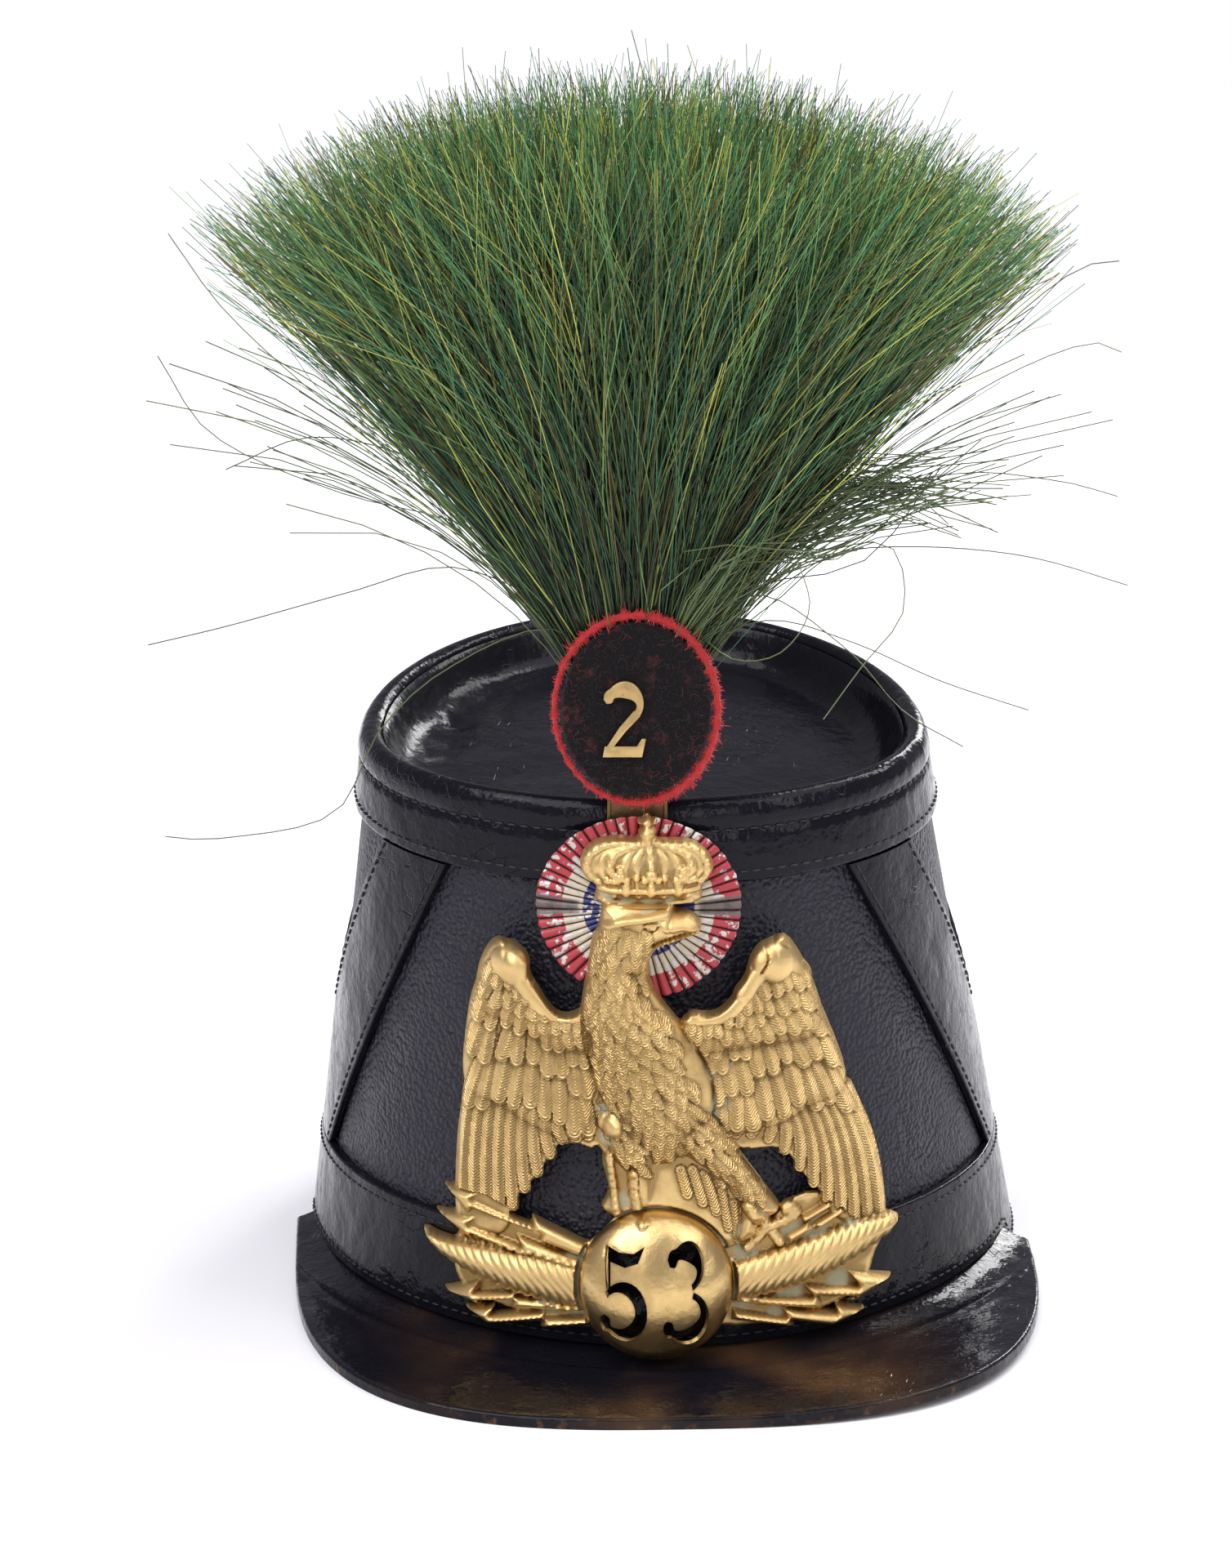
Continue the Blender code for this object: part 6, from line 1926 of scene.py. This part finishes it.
def digit_five():
    """A stencil five: a flag on a stem, and a bowl that ends in a ball."""
    flag = np.array([(0.16, 0.56), (0.16, 0.98), (0.40, 0.93), (0.66, 0.93), (0.86, 1.0),
                     (0.74, 0.84), (0.50, 0.79), (0.24, 0.83), (0.24, 0.56)])
    bowl = stroke(arc((0.44, 0.33), (0.36, 0.26), 140.0, -165.0), 0.035, 0.11, 0.10)
    return [flag, bowl]


def digit_three():
    """A stencil three: two bowls that end in balls and don't meet."""
    upper = stroke(arc((0.44, 0.76), (0.28, 0.19), -62.0, 165.0), 0.035, 0.10, 0.09)
    lower = stroke(arc((0.44, 0.29), (0.36, 0.24), 66.0, -165.0), 0.035, 0.11, 0.10)
    return [upper, lower]


def digit_two():
    """A two with a ball, a slanting stem and a foot."""
    bow = stroke(arc((0.48, 0.74), (0.34, 0.22), -35.0, 175.0), 0.06, 0.12, 0.10)
    stem = np.array([(0.10, 0.10), (0.18, 0.06), (0.52, 0.36), (0.82, 0.58), (0.70, 0.66), (0.40, 0.42)])
    foot = np.array([(0.06, 0.0), (0.86, 0.0), (0.94, 0.26), (0.86, 0.26), (0.76, 0.15), (0.10, 0.15)])
    return [bow, stem, foot]


def place_strokes(strokes, centre, width, height):
    """Strokes in metres about a centre."""
    return [(loop - 0.5) * [width, height] + centre for loop in strokes]


def fill_loops(loops, extra, keep):
    """Triangles over loops and extra points, where keep says so."""
    points = np.concatenate(list(loops) + [extra]) if len(extra) else np.concatenate(list(loops))
    edges = []
    start = 0
    for loop in loops:
        edges += [(start + i, start + (i + 1) % len(loop)) for i in range(len(loop))]
        start += len(loop)
    result = delaunay_2d_cdt([tuple(point) for point in points], edges, [], 0, 1.0e-7)
    flat = np.array([(point[0], point[1]) for point in result[0]])
    faces = np.array(result[2])
    faces = faces[keep(flat[faces].mean(1))]
    used, place = np.unique(faces, return_inverse=True)
    return flat[used], place.reshape(-1, 3).tolist()


def in_any(points, loops, margin=0.0):
    """Whether points lie in any loop, or within a margin of it."""
    inside = np.zeros(len(points), bool)
    for loop in loops:
        inside |= outline_depth(points[:, 0], points[:, 1], loop) > -margin
    return inside


def make_number_ball(material):
    """The dome, pierced by two digits, with a small rivet on its shoulder."""
    loops = []
    for order, digit in enumerate((digit_five, digit_three)):
        centre = ((order - 0.5) * DIGIT_SPACING, 0.0)
        loops += place_strokes(digit(), centre, DIGIT_WIDTH, DIGIT_HEIGHT)
    columns = 120
    rings = []
    for turn in np.linspace(0.06, 1.0, 30):
        reach = BALL_RADIUS * math.sin(turn * math.pi / 2.0)
        angle = turns(columns) + turn * 40.0
        rings.append(np.stack([reach * np.sin(angle), reach * np.cos(angle)], -1))
    edge = rings.pop()
    extra = np.concatenate(rings + [[[0.0, 0.0]]])
    extra = extra[~in_any(extra, loops, 0.00018)]
    flat, faces = fill_loops([edge] + loops, extra, lambda middle: ~in_any(middle, loops))
    x, z = flat[:, 0], flat[:, 1]
    reach = np.clip(np.hypot(x, z) / BALL_RADIUS, 0.0, 1.0)
    base = GAP + BAND_THICKNESS + PLATE_CLEARANCE + PLATE_THICKNESS + BALL_GROUND + GAP
    ground = front_point(BALL_X, BALL_Z + z, base)[:, 1]
    dent = 0.0005 * np.exp(-((x + 0.010) ** 2 + (z - 0.004) ** 2) / 0.004 ** 2)
    dent += 0.0004 * np.exp(-((x - 0.011) ** 2 + (z - 0.007) ** 2) / 0.003 ** 2)
    rise = BALL_DEPTH * np.sqrt(1.0 - reach ** 2) - dent * (reach < 0.95)
    rivet = np.hypot(x + 0.0030, z - 0.0150)
    rise += np.sqrt(np.maximum(0.0012 ** 2 - rivet ** 2, 0.0))
    front = np.stack([BALL_X + x, ground - rise, BALL_Z + z], -1)
    shrink = 1.0 - BALL_THICKNESS / BALL_RADIUS
    hollow = (BALL_DEPTH - BALL_THICKNESS) * np.sqrt(1.0 - reach ** 2)
    back = np.stack([BALL_X + x * shrink, ground - hollow, BALL_Z + z * shrink], -1)
    near = np.full(len(flat), 1.0)
    for loop in loops:
        near = np.minimum(near, np.abs(outline_depth(x, z, loop)))
    values = {"relief": -0.5 * np.exp(-near / 0.0004) - 0.6 * smooth_step(reach, 0.97, 1.0),
              "barb": np.zeros(len(flat))}
    return make_sheet("number_ball_brass", front, back, faces, material, values, sharp=45.0)


# Disc


def disc_back_y():
    """The y of the disc's back, in front of the holder's flanges."""
    return holder_y() - HOLDER_FLANGE - GAP


def disc_ring(angle, margin, y):
    """Points of the disc's oval, inside its full outline by a margin."""
    x = DISC_X + (DISC_WIDTH / 2.0 - margin) * np.sin(angle)
    z = DISC_Z + (DISC_HEIGHT / 2.0 - margin) * np.cos(angle)
    return np.stack(np.broadcast_arrays(x, y, z), -1)


def make_disc(material):
    """The flat felt-covered oval."""
    margin = 2.0 * EDGING_RADIUS + GAP
    back = disc_back_y()
    front = back - DISC_THICKNESS
    bevel = DISC_THICKNESS / 4.0
    angle = turns(120)
    half = DISC_WIDTH / 2.0
    inset = [half, 0.8 * half, 0.6 * half, 0.4 * half, 0.2 * half]
    rows = [disc_ring(angle, max(value, margin + bevel), front) for value in inset]
    rows[0] = np.repeat([[DISC_X, front, DISC_Z]], 120, axis=0)
    rows.append(disc_ring(angle, margin + bevel, front))
    rows.append(disc_ring(angle, margin + 0.3 * bevel, front + 0.3 * bevel))
    rows.append(disc_ring(angle, margin, front + bevel))
    rows.append(disc_ring(angle, margin, back))
    rows.append(np.repeat([[DISC_X, back, DISC_Z]], 120, axis=0))
    return make_skin("disc_felt", np.array(rows), material, sharp=60.0)


def make_felt_fuzz(settings, materials):
    """Loose fibres that lie on the felt, black and red."""
    rng = np.random.default_rng(21)
    made = []
    front = disc_back_y() - DISC_THICKNESS
    for name, count, material in (("felt_fuzz", 900, materials[0]), ("felt_lint", 130, materials[1])):
        turn = rng.uniform(0.0, 2.0 * math.pi, count)
        reach = np.sqrt(rng.uniform(0.05, 1.0, count))
        if name == "felt_lint":
            reach = 1.0 - 0.35 * rng.uniform(0.0, 1.0, count) ** 2
        start = disc_ring(turn, 2.0 * EDGING_RADIUS + 0.0006, front)
        start = mix(np.array([DISC_X, front, DISC_Z]), start, reach[:, None])
        heading = rng.normal(0.0, 1.0, (count, 3))
        heading[:, 1] = -np.abs(heading[:, 1]) * 0.35
        heading /= np.linalg.norm(heading, axis=1)[:, None]
        curl = rng.normal(0.0, 0.0006, (count, 3))
        length = rng.uniform(0.0006, 0.0022, count)[:, None, None]
        share = np.linspace(0.0, 1.0, 4)[None, :, None]
        paths = start[:, None] + heading[:, None] * length * share
        paths = paths + curl[:, None] * np.sin(math.pi * share)
        paths[..., 1] = np.minimum(paths[..., 1], front + 0.0001)
        radius = np.full(paths.shape[:2], 0.00003)
        tone = np.repeat(rng.uniform(0.2, 1.0, count)[:, None], 4, axis=1)
        made.append(make_strands(name, paths, radius, tone, material))
    return made


def edging_thickness(angle):
    """Share of the edging's full pile at each turn: it is worn thin at the lower left."""
    thin = 0.45 * np.exp(-((signed_turn(angle) + 2.3) / 0.7) ** 2)
    thin += 0.3 * np.exp(-((signed_turn(angle) + 1.2) / 0.4) ** 2)
    bushy = 0.25 * np.exp(-((signed_turn(angle) - 2.5) / 0.35) ** 2)
    return 1.0 - thin + bushy


def make_edging(settings, material):
    """Chenille: a twisted core that carries a short dense pile."""
    y = disc_back_y() - DISC_THICKNESS / 2.0
    angle = turns(360)
    section = turns(10)
    twist = 1.0 + 0.16 * np.sin(angle[:, None] * EDGING_TWISTS + section[None] * 2.0)
    reach = 0.62 * EDGING_RADIUS * twist * edging_thickness(angle)[:, None]
    margin = EDGING_RADIUS - reach * np.cos(section[None])
    rows = disc_ring(angle[:, None], margin, y + reach * np.sin(section[None]))
    values = {"tone": np.full(margin.shape, 0.5)}
    core = make_skin("edging_core", rows, material, wrap_rows=True, attributes=values)
    rng = np.random.default_rng(3)
    count = settings.pile_count
    place = rng.uniform(0.0, 2.0 * math.pi, count)
    around = rng.uniform(0.0, 2.0 * math.pi, count)
    thick = edging_thickness(place)
    lock = 0.8 + 0.35 * np.sin(place * EDGING_TWISTS + around * 2.0)
    long_pile = np.where(rng.uniform(0.0, 1.0, count) < 0.06, 1.7, 1.0)
    length = 1.35 * EDGING_RADIUS * thick * lock * long_pile * rng.uniform(0.75, 1.1, count)
    share = np.linspace(0.35, 1.0, 3)
    drift = rng.normal(0.0, 0.02, count)[:, None] * share ** 2
    reach = length[:, None] * share
    paths = disc_ring(place[:, None] + drift, EDGING_RADIUS - reach * np.cos(around)[:, None],
                      y + reach * np.sin(around)[:, None])
    radius = np.repeat([[0.00009, 0.00008, 0.00004]], count, axis=0)
    tone = np.repeat(rng.uniform(0.35, 1.0, count)[:, None], 3, axis=1)
    pile = make_strands("edging_pile", paths, radius, tone, material)
    return core, pile


def make_disc_number(material):
    """The brass number on the disc."""
    centre = np.array([DISC_X + NUMBER_X, DISC_Z + NUMBER_Z])
    strokes = place_strokes(digit_two(), centre, NUMBER_WIDTH, NUMBER_HEIGHT)
    flat, faces = fill_loops(strokes, [], lambda middle: in_any(middle, strokes))
    back = disc_back_y() - DISC_THICKNESS - GAP
    front = np.stack([flat[:, 0], np.full(len(flat), back - NUMBER_THICKNESS), flat[:, 1]], -1)
    rear = front + np.array([0.0, NUMBER_THICKNESS, 0.0])
    values = {"relief": np.full(len(flat), 0.1), "barb": np.zeros(len(flat))}
    item = make_sheet("disc_number_brass", front, rear, faces, material, values, sharp=35.0)
    return bevelled(item, 0.00012, 1)


# Plume


def plume_centre():
    """The foot of the plume, behind the holder."""
    y = holder_y() + GAP + PLUME_NECK_DEPTH * (1.0 + PLUME_LOCK_RELIEF)
    return np.array([DISC_X, y, PLUME_NECK_Z])


def plume_point(across, ahead, along, length):
    """Points of hairs that leave the neck at (across, ahead), at a share along them."""
    side = across * PLUME_SIDE_FAN
    front = ahead * np.where(ahead > 0.0, PLUME_FRONT_FAN, PLUME_BACK_FAN)
    tip_x = np.sin(side)
    tip_y = -np.sin(front)
    tip = np.stack([tip_x, tip_y, np.sqrt(np.maximum(1.0 - tip_x ** 2 - tip_y ** 2, 0.0))], -1)
    tip = tip * length[..., None]
    zero = 0.0 * across
    root = np.stack([across * PLUME_NECK_WIDTH, -ahead * PLUME_NECK_DEPTH, zero], -1)
    rise = root + np.stack([zero, zero, 0.12 * length], -1)
    lean = np.where(ahead > 0.0, 0.0, 0.2)
    bend = np.stack([0.3 * tip[..., 0], lean * tip[..., 1], 0.39 * length], -1)
    t = along[..., None]
    back = 1.0 - t
    point = root * back ** 3 + rise * 3.0 * back ** 2 * t + bend * 3.0 * back * t ** 2 + tip * t ** 3
    return plume_centre() + point


# Long stray hairs as seen from the front in millimetres, with the depth of their free end
STRAYS_MM = [
    (-98.0, [(-12.0, 158.0), (-24.0, 170.0), (-45.9, 179.6), (-67.6, 174.5), (-93.0, 167.6),
             (-111.0, 163.4)]),
    (-100.0, [(-11.0, 156.0), (-26.0, 166.0), (-48.0, 157.0), (-62.0, 144.0), (-72.0, 126.0),
              (-96.0, 121.0), (-108.0, 121.6)]),
    (-70.0, [(-12.0, 160.0), (-38.6, 184.0), (-71.0, 192.5), (-98.0, 204.0), (-110.0, 221.0)]),
    (-80.0, [(-10.0, 160.0), (-29.6, 184.0), (-52.0, 200.0), (-76.0, 205.5), (-95.0, 198.0)]),
    (-60.0, [(-10.0, 160.0), (-32.0, 186.0), (-66.0, 205.0), (-94.0, 228.0), (-108.0, 246.0)]),
    (-96.0, [(0.0, 158.0), (16.0, 172.0), (34.0, 182.0), (54.0, 184.0), (77.0, 182.0),
             (98.0, 176.0)]),
    (-104.0, [(0.0, 158.0), (18.0, 174.0), (37.4, 163.4), (50.0, 150.0), (63.0, 142.5)]),
    (-102.0, [(0.0, 157.0), (20.0, 168.0), (39.0, 164.0), (58.0, 156.0), (77.0, 150.0)]),
    (-106.0, [(0.0, 160.0), (26.0, 180.0), (46.0, 186.0), (50.0, 172.0), (41.0, 160.0),
              (33.0, 149.0)]),
    (-70.0, [(0.0, 160.0), (30.0, 186.0), (60.0, 196.0), (84.0, 194.0), (98.0, 190.0)]),
    (-60.0, [(0.0, 160.0), (34.0, 190.0), (66.0, 212.0), (90.0, 222.0), (99.0, 220.0)]),
    (-60.0, [(0.0, 160.0), (36.0, 192.0), (70.0, 224.0), (88.0, 238.0), (98.0, 240.0)]),
    (-104.0, [(-4.0, 160.0), (4.0, 166.0), (14.0, 160.0), (24.0, 162.0), (30.0, 172.0),
              (27.0, 184.0)]),
]
# Locks that the hairs gather in, points along a hair, hairs of the tuft that leaves the fan
# and loose hairs at the sides
HAIR_LOCKS = 260
HAIR_POINTS = 9
TUFT_HAIRS = 150
LOOSE_HAIRS = 50
TUFT_END = np.array([0.0640, -0.088, 0.1960])
TUFT_SPREAD = [0.006, 0.005, 0.005]
# Dye lots: share of the hairs, and sRGB of tips and roots; the near-black root colours are painted shade
# deep in the fan
HAIR_LOTS = [
    ("plume_mid_green", 0.34, "80aa60", "0f1d07"),
    ("plume_dark_green", 0.27, "365834", "050a04"),
    ("plume_teal_green", 0.17, "52986a", "08190e"),
    ("plume_yellow_green", 0.12, "d6d864", "262f0b"),
    ("plume_olive", 0.10, "8a7944", "121006"),
]


def plume_hairs(settings):
    """Points, radii and tones of every hair of the fan; the tones hold painted shade and painted light.
    """
    rng = np.random.default_rng(settings.seed)
    count = settings.hair_count
    steps = HAIR_POINTS
    turn = rng.uniform(0.0, 2.0 * math.pi, count)
    reach = np.sqrt(rng.uniform(0.0, 1.0, count))
    # Hairs gather in locks
    lock = rng.integers(0, HAIR_LOCKS, count)
    lock_turn = rng.uniform(0.0, 2.0 * math.pi, HAIR_LOCKS)
    lock_reach = np.sqrt(rng.uniform(0.0, 1.0, HAIR_LOCKS))
    pull = rng.uniform(0.0, 0.55, count)
    own_x, own_y = reach * np.sin(turn), reach * np.cos(turn)
    lock_x = (lock_reach * np.sin(lock_turn))[lock]
    lock_y = (lock_reach * np.cos(lock_turn))[lock]
    distance = np.hypot(own_x - lock_x, own_y - lock_y)
    pull = pull * np.exp(-(distance / 0.35) ** 2)
    t = np.linspace(0.0, 1.0, steps)[None]
    calm = (1.0 - 0.6 * own_x ** 2)[:, None]
    swing = rng.normal(0.0, 0.26, (2, count))[..., None] * calm * t ** 1.8
    bow = rng.normal(0.0, 0.17, (2, count))[..., None] * calm * np.sin(math.pi * t)
    twist = rng.normal(0.0, 0.05, (2, count))[..., None] * np.sin(2.0 * math.pi * t)
    swing = swing + twist
    across = own_x[:, None] * 0.93 + (lock_x - own_x)[:, None] * pull[:, None] * t + swing[0] + bow[0]
    ahead = own_y[:, None] * 0.92 + (lock_y - own_y)[:, None] * pull[:, None] * t + swing[1] + bow[1]
    short = np.where(rng.uniform(0.0, 1.0, count) < 0.22, rng.uniform(0.62, 0.97, count), 1.0)
    lock_length = rng.normal(1.0, 0.022, HAIR_LOCKS)[lock]
    length = PLUME_LENGTH * short * lock_length * rng.normal(0.960, 0.024, count)
    length = np.minimum(length, 1.01 * PLUME_LENGTH)
    paths = plume_point(np.clip(across, -0.98, 0.98), np.clip(ahead, -1.05, 1.05), 0.0 * across + t,
                        np.repeat(length[:, None], steps, axis=1))
    pace = rng.uniform(1.5, 5.0, (3, count))[..., None]
    wave = rng.uniform(0.0, 2.0 * math.pi, (3, count))[..., None] + pace * t
    size = rng.gamma(1.1, 0.0021, count)[:, None] * t ** 1.2
    paths += np.stack([np.sin(wave[axis]) * size for axis in range(3)], -1)
    radius = settings.hair_radius * rng.uniform(0.75, 1.2, count)[:, None] * (1.0 - 0.45 * t ** 3)
    # Painted light: hairs on the right half of the fan are made paler, where the light falls
    tone = rng.normal(0.08, 0.24, count)[:, None] + 0.16 * np.maximum(own_x, 0.0)[:, None]
    # Painted shade: each hair stays dark towards its root, deep in the fan, and pales only near its tip
    tone = np.clip(tone + 0.86 * t ** 3.4, 0.0, 1.0)
    return paths, radius, tone


def stray_hairs(settings):
    """The long curved strays and the small tuft that leaves the fan at the right."""
    rng = np.random.default_rng(settings.seed + 1)
    base_y = plume_centre()[1] - 0.002
    paths = []
    for depth, row in STRAYS_MM:
        line = along_path(curve_mm(row), 22)
        share = np.linspace(0.0, 1.0, len(line))
        y = mix(base_y, depth * MM, share ** 0.8)
        paths.append(np.stack([line[:, 0], y, line[:, 1]], -1))
    # Loose hairs at both sides bend out and down
    for _ in range(LOOSE_HAIRS):
        side = rng.choice([-1.0, 1.0])
        t = np.linspace(0.0, 1.0, 11)
        droop = rng.uniform(0.05, 0.45)
        across = side * (rng.uniform(0.85, 1.0) + droop * t ** rng.uniform(1.2, 3.0))
        ahead = rng.uniform(-0.8, 0.9) + rng.normal(0.0, 0.3) * t ** 2
        length = PLUME_LENGTH * (rng.uniform(0.66, 0.98) - 0.20 * droop) + 0.0 * t
        paths.append(plume_point(across, ahead, t, length))
    for _ in range(TUFT_HAIRS):
        end = TUFT_END + rng.normal(0.0, 1.0, 3) * TUFT_SPREAD
        lift = rng.uniform(0.186, 0.199)
        row = np.array([(-0.002, base_y, 0.156), (0.012, base_y - 0.004, 0.178),
                        (0.034, -0.092, lift), end])
        row[1:3] += rng.normal(0.0, 0.0045, (2, 3))
        curve = along_path(smooth_path(row), 10)
        paths.append(curve[:rng.integers(7, 11)])
    count = sum(len(path) for path in paths)
    tone = np.concatenate([np.full(len(path), rng.uniform(0.2, 0.9)) for path in paths])
    return paths, np.full(count, settings.hair_radius), tone


def make_plume(settings):
    """The fan of dyed hairs in lots, and its strays."""
    paths, radius, tone = plume_hairs(settings)
    order = np.random.default_rng(settings.seed + 2).permutation(len(paths))
    made = []
    start = 0
    for name, share, tip, root in HAIR_LOTS:
        end = start + int(round(share * len(paths)))
        part = order[start:end]
        material = fibre_material(name, srgb(tip), srgb(root))
        made.append(make_strands(name, paths[part], radius[part], tone[part], material))
        start = end
    lines, thick, tones = stray_hairs(settings)
    material = fibre_material("plume_stray", srgb("6f7f4e"), srgb("202c18"))
    made.append(make_strands("plume_strays", lines, thick, tones, material))
    return made


# Studio


def make_floor(settings):
    """A wide sheet of white paper."""
    corners = ((-1.0, -1.0), (1.0, -1.0), (1.0, 1.0), (-1.0, 1.0))
    points = [(x * FLOOR_HALF, y * FLOOR_HALF, 0.0) for x, y in corners]
    mesh = bpy.data.meshes.new("studio_floor")
    mesh.from_pydata(points, [], [(0, 1, 2, 3)])
    mesh.materials.append(floor_material(settings))
    add_object("studio_floor", mesh)


def face(item, way):
    """Turn a light to face along a way."""
    way = way / np.linalg.norm(way)
    item.rotation_euler = (math.acos(-way[2]), 0.0, math.atan2(-way[0], way[1]))


def add_area_light(name, place, power):
    """A soft box that faces the hat."""
    light = bpy.data.lights.new(name, "AREA")
    light.shape = "RECTANGLE"
    light.size, light.size_y = BOX_SIZE
    light.energy = power
    item = add_object(name, light)
    item.location = place
    face(item, np.array(BOX_TARGET) - np.array(place))


def add_sun(name, place, strength):
    """A wide soft light that reaches the whole floor alike."""
    light = bpy.data.lights.new(name, "SUN")
    light.energy = strength
    light.angle = SUN_WIDTH
    light.color = LIGHT_TINT
    face(add_object(name, light), -np.array(place))


def add_camera():
    """The camera of the photograph."""
    camera = bpy.data.cameras.new("camera")
    camera.lens = CAMERA_LENS
    camera.sensor_width = CAMERA_SENSOR
    item = add_object("camera", camera)
    item.location = CAMERA_PLACE
    item.rotation_euler = (CAMERA_PITCH, 0.0, 0.0)
    bpy.context.scene.camera = item


def add_surround(strength):
    """A pale, slightly violet surround, as a studio has."""
    world = bpy.data.worlds.new("surround")
    world.use_nodes = True
    back = world.node_tree.nodes["Background"]
    back.inputs["Color"].default_value = SURROUND_COLOUR
    back.inputs["Strength"].default_value = strength
    bpy.context.scene.world = world


# Operators


class SHAKO_OT_leather(bpy.types.Operator):
    """Build the body, top panel, bands, strips, peak and stitching."""
    bl_idname = "shako.leather"
    bl_label = "Build leather"

    def execute(self, context):
        settings = context.scene.shako_leather
        grained = grained_leather(settings)
        patent = patent_leather(settings, "patent_leather")
        finish_piece(make_body(grained), "grained_leather", "body")
        panel = patent_leather(settings, "panel_leather", gloss=0.20, waves=0.6)
        # The peak's material paints a brown reflection of the brass down its middle, besides its real
        # wear
        peak_wear_and_reflection = patent_leather(settings, "peak_leather", gloss=0.12, brown=0.7, waves=0.8)
        finish_piece(make_top_panel(panel), "patent_leather", "top_panel")
        finish_piece(make_top_band(patent), "patent_leather", "top_band")
        finish_piece(make_bottom_band(patent), "patent_leather", "bottom_band")
        for label, side in (("left", -1.0), ("right", 1.0)):
            strip = "side_strip_" + label
            finish_piece(make_side_strip(strip + "_leather", side, patent), "patent_leather", strip)
        finish_piece(make_peak(peak_wear_and_reflection), "patent_leather", "peak")
        dark, tan = stitch_lines()
        thread = thread_material(settings, "black_thread", settings.thread)
        finish_piece(make_stitches("stitches", dark, thread, settings), "patent_leather")
        worn = thread_material(settings, "worn_thread", srgb("8d7048"))
        finish_piece(make_stitches("worn_stitches", tan, worn, settings), "patent_leather")
        return {"FINISHED"}


class SHAKO_OT_metal(bpy.types.Operator):
    """Build the plume holder, eagle plate, number ball and disc number."""
    bl_idname = "shako.metal"
    bl_label = "Build metal"

    def execute(self, context):
        settings = context.scene.shako_metal
        plate = brass_material(settings, "stamped_brass", 0.40)
        ball = brass_material(settings, "ball_brass", 0.27)
        flat = brass_material(settings, "flat_brass", 0.38, 0.25)
        holder = brass_material(settings, "aged_brass", 0.45, 0.85)
        finish_piece(make_plume_holder(holder), "brass", "plume_holder")
        finish_piece(make_eagle_plate(settings, plate), "brass", "eagle_plate")
        finish_piece(make_number_ball(ball), "brass", "number_ball")
        finish_piece(make_disc_number(flat), "brass", "disc_number")
        return {"FINISHED"}


class SHAKO_OT_trim(bpy.types.Operator):
    """Build the painted cockade, the felt disc and its chenille edging."""
    bl_idname = "shako.trim"
    bl_label = "Build trim"

    def execute(self, context):
        settings = context.scene.shako_trim
        finish_piece(make_cockade(cockade_material(settings)), "painted_tin", "cockade")
        finish_piece(make_disc(felt_material(settings)), "black_felt", "pompom_disc")
        dark = fibre_material("felt_fibre", srgb("3a3335"), srgb("151214"), 0.8)
        red = fibre_material("red_lint", srgb("9a3a34"), srgb("4a1614"), 0.8)
        for item in make_felt_fuzz(settings, (dark, red)):
            finish_piece(item, "black_felt")
        pile = fibre_material("red_chenille", settings.chenille, srgb("7a0c10"), 0.75, 0.3)
        core, fibres = make_edging(settings, pile)
        finish_piece(core, "red_chenille", "disc_edging")
        finish_piece(fibres, "red_chenille")
        return {"FINISHED"}


class SHAKO_OT_plume(bpy.types.Operator):
    """Build the horsehair plume."""
    bl_idname = "shako.plume"
    bl_label = "Build plume"

    def execute(self, context):
        made = make_plume(context.scene.shako_plume)
        finish_piece(made[0], "green_horsehair", "plume")
        for item in made[1:]:
            finish_piece(item, "green_horsehair")
        return {"FINISHED"}


class SHAKO_OT_stage(bpy.types.Operator):
    """Build the floor, lights, surround and camera."""
    bl_idname = "shako.stage"
    bl_label = "Build studio"

    def execute(self, context):
        settings = context.scene.shako_stage
        make_floor(settings)
        add_sun("key", (-0.8, -0.8, 1.6), settings.key_strength)
        add_sun("fill", (0.8, -0.3, 1.5), settings.fill_strength)
        for name, place, share in SOFT_BOXES:
            add_area_light(name, place, share * settings.box_power)
        add_surround(settings.surround_strength)
        add_camera()
        context.scene.view_settings.view_transform = "Standard"
        return {"FINISHED"}


class SHAKO_PT_panel(bpy.types.Panel):
    """Settings and steps of the shako."""
    bl_label = "Shako"
    bl_space_type = "VIEW_3D"
    bl_region_type = "UI"
    bl_category = "Shako"

    def draw(self, context):
        for operator, group in STEPS:
            box = self.layout.box()
            for item in getattr(context.scene, group).bl_rna.properties:
                if item.identifier not in ("rna_type", "name"):
                    box.prop(getattr(context.scene, group), item.identifier)
            box.operator(operator)


STEPS = [
    ("shako.leather", "shako_leather"),
    ("shako.metal", "shako_metal"),
    ("shako.trim", "shako_trim"),
    ("shako.plume", "shako_plume"),
    ("shako.stage", "shako_stage"),
]
GROUPS = {
    "shako_leather": LeatherSettings,
    "shako_metal": MetalSettings,
    "shako_trim": TrimSettings,
    "shako_plume": PlumeSettings,
    "shako_stage": StageSettings,
}
CLASSES = (SHAKO_OT_leather, SHAKO_OT_metal, SHAKO_OT_trim, SHAKO_OT_plume, SHAKO_OT_stage,
           SHAKO_PT_panel)


def register():
    """Register the settings, operators and panel."""
    for name, group in GROUPS.items():
        bpy.utils.register_class(group)
        setattr(bpy.types.Scene, name, bpy.props.PointerProperty(type=group))
    for item in CLASSES:
        bpy.utils.register_class(item)


def unregister():
    """Take the settings, operators and panel out again."""
    for item in reversed(CLASSES):
        bpy.utils.unregister_class(item)
    for name, group in GROUPS.items():
        delattr(bpy.types.Scene, name)
        bpy.utils.unregister_class(group)


def main():
    """Build every piece."""
    register()
    bpy.ops.shako.leather()
    bpy.ops.shako.metal()
    bpy.ops.shako.trim()
    bpy.ops.shako.plume()
    bpy.ops.shako.stage()


if __name__ == "__main__":
    main()
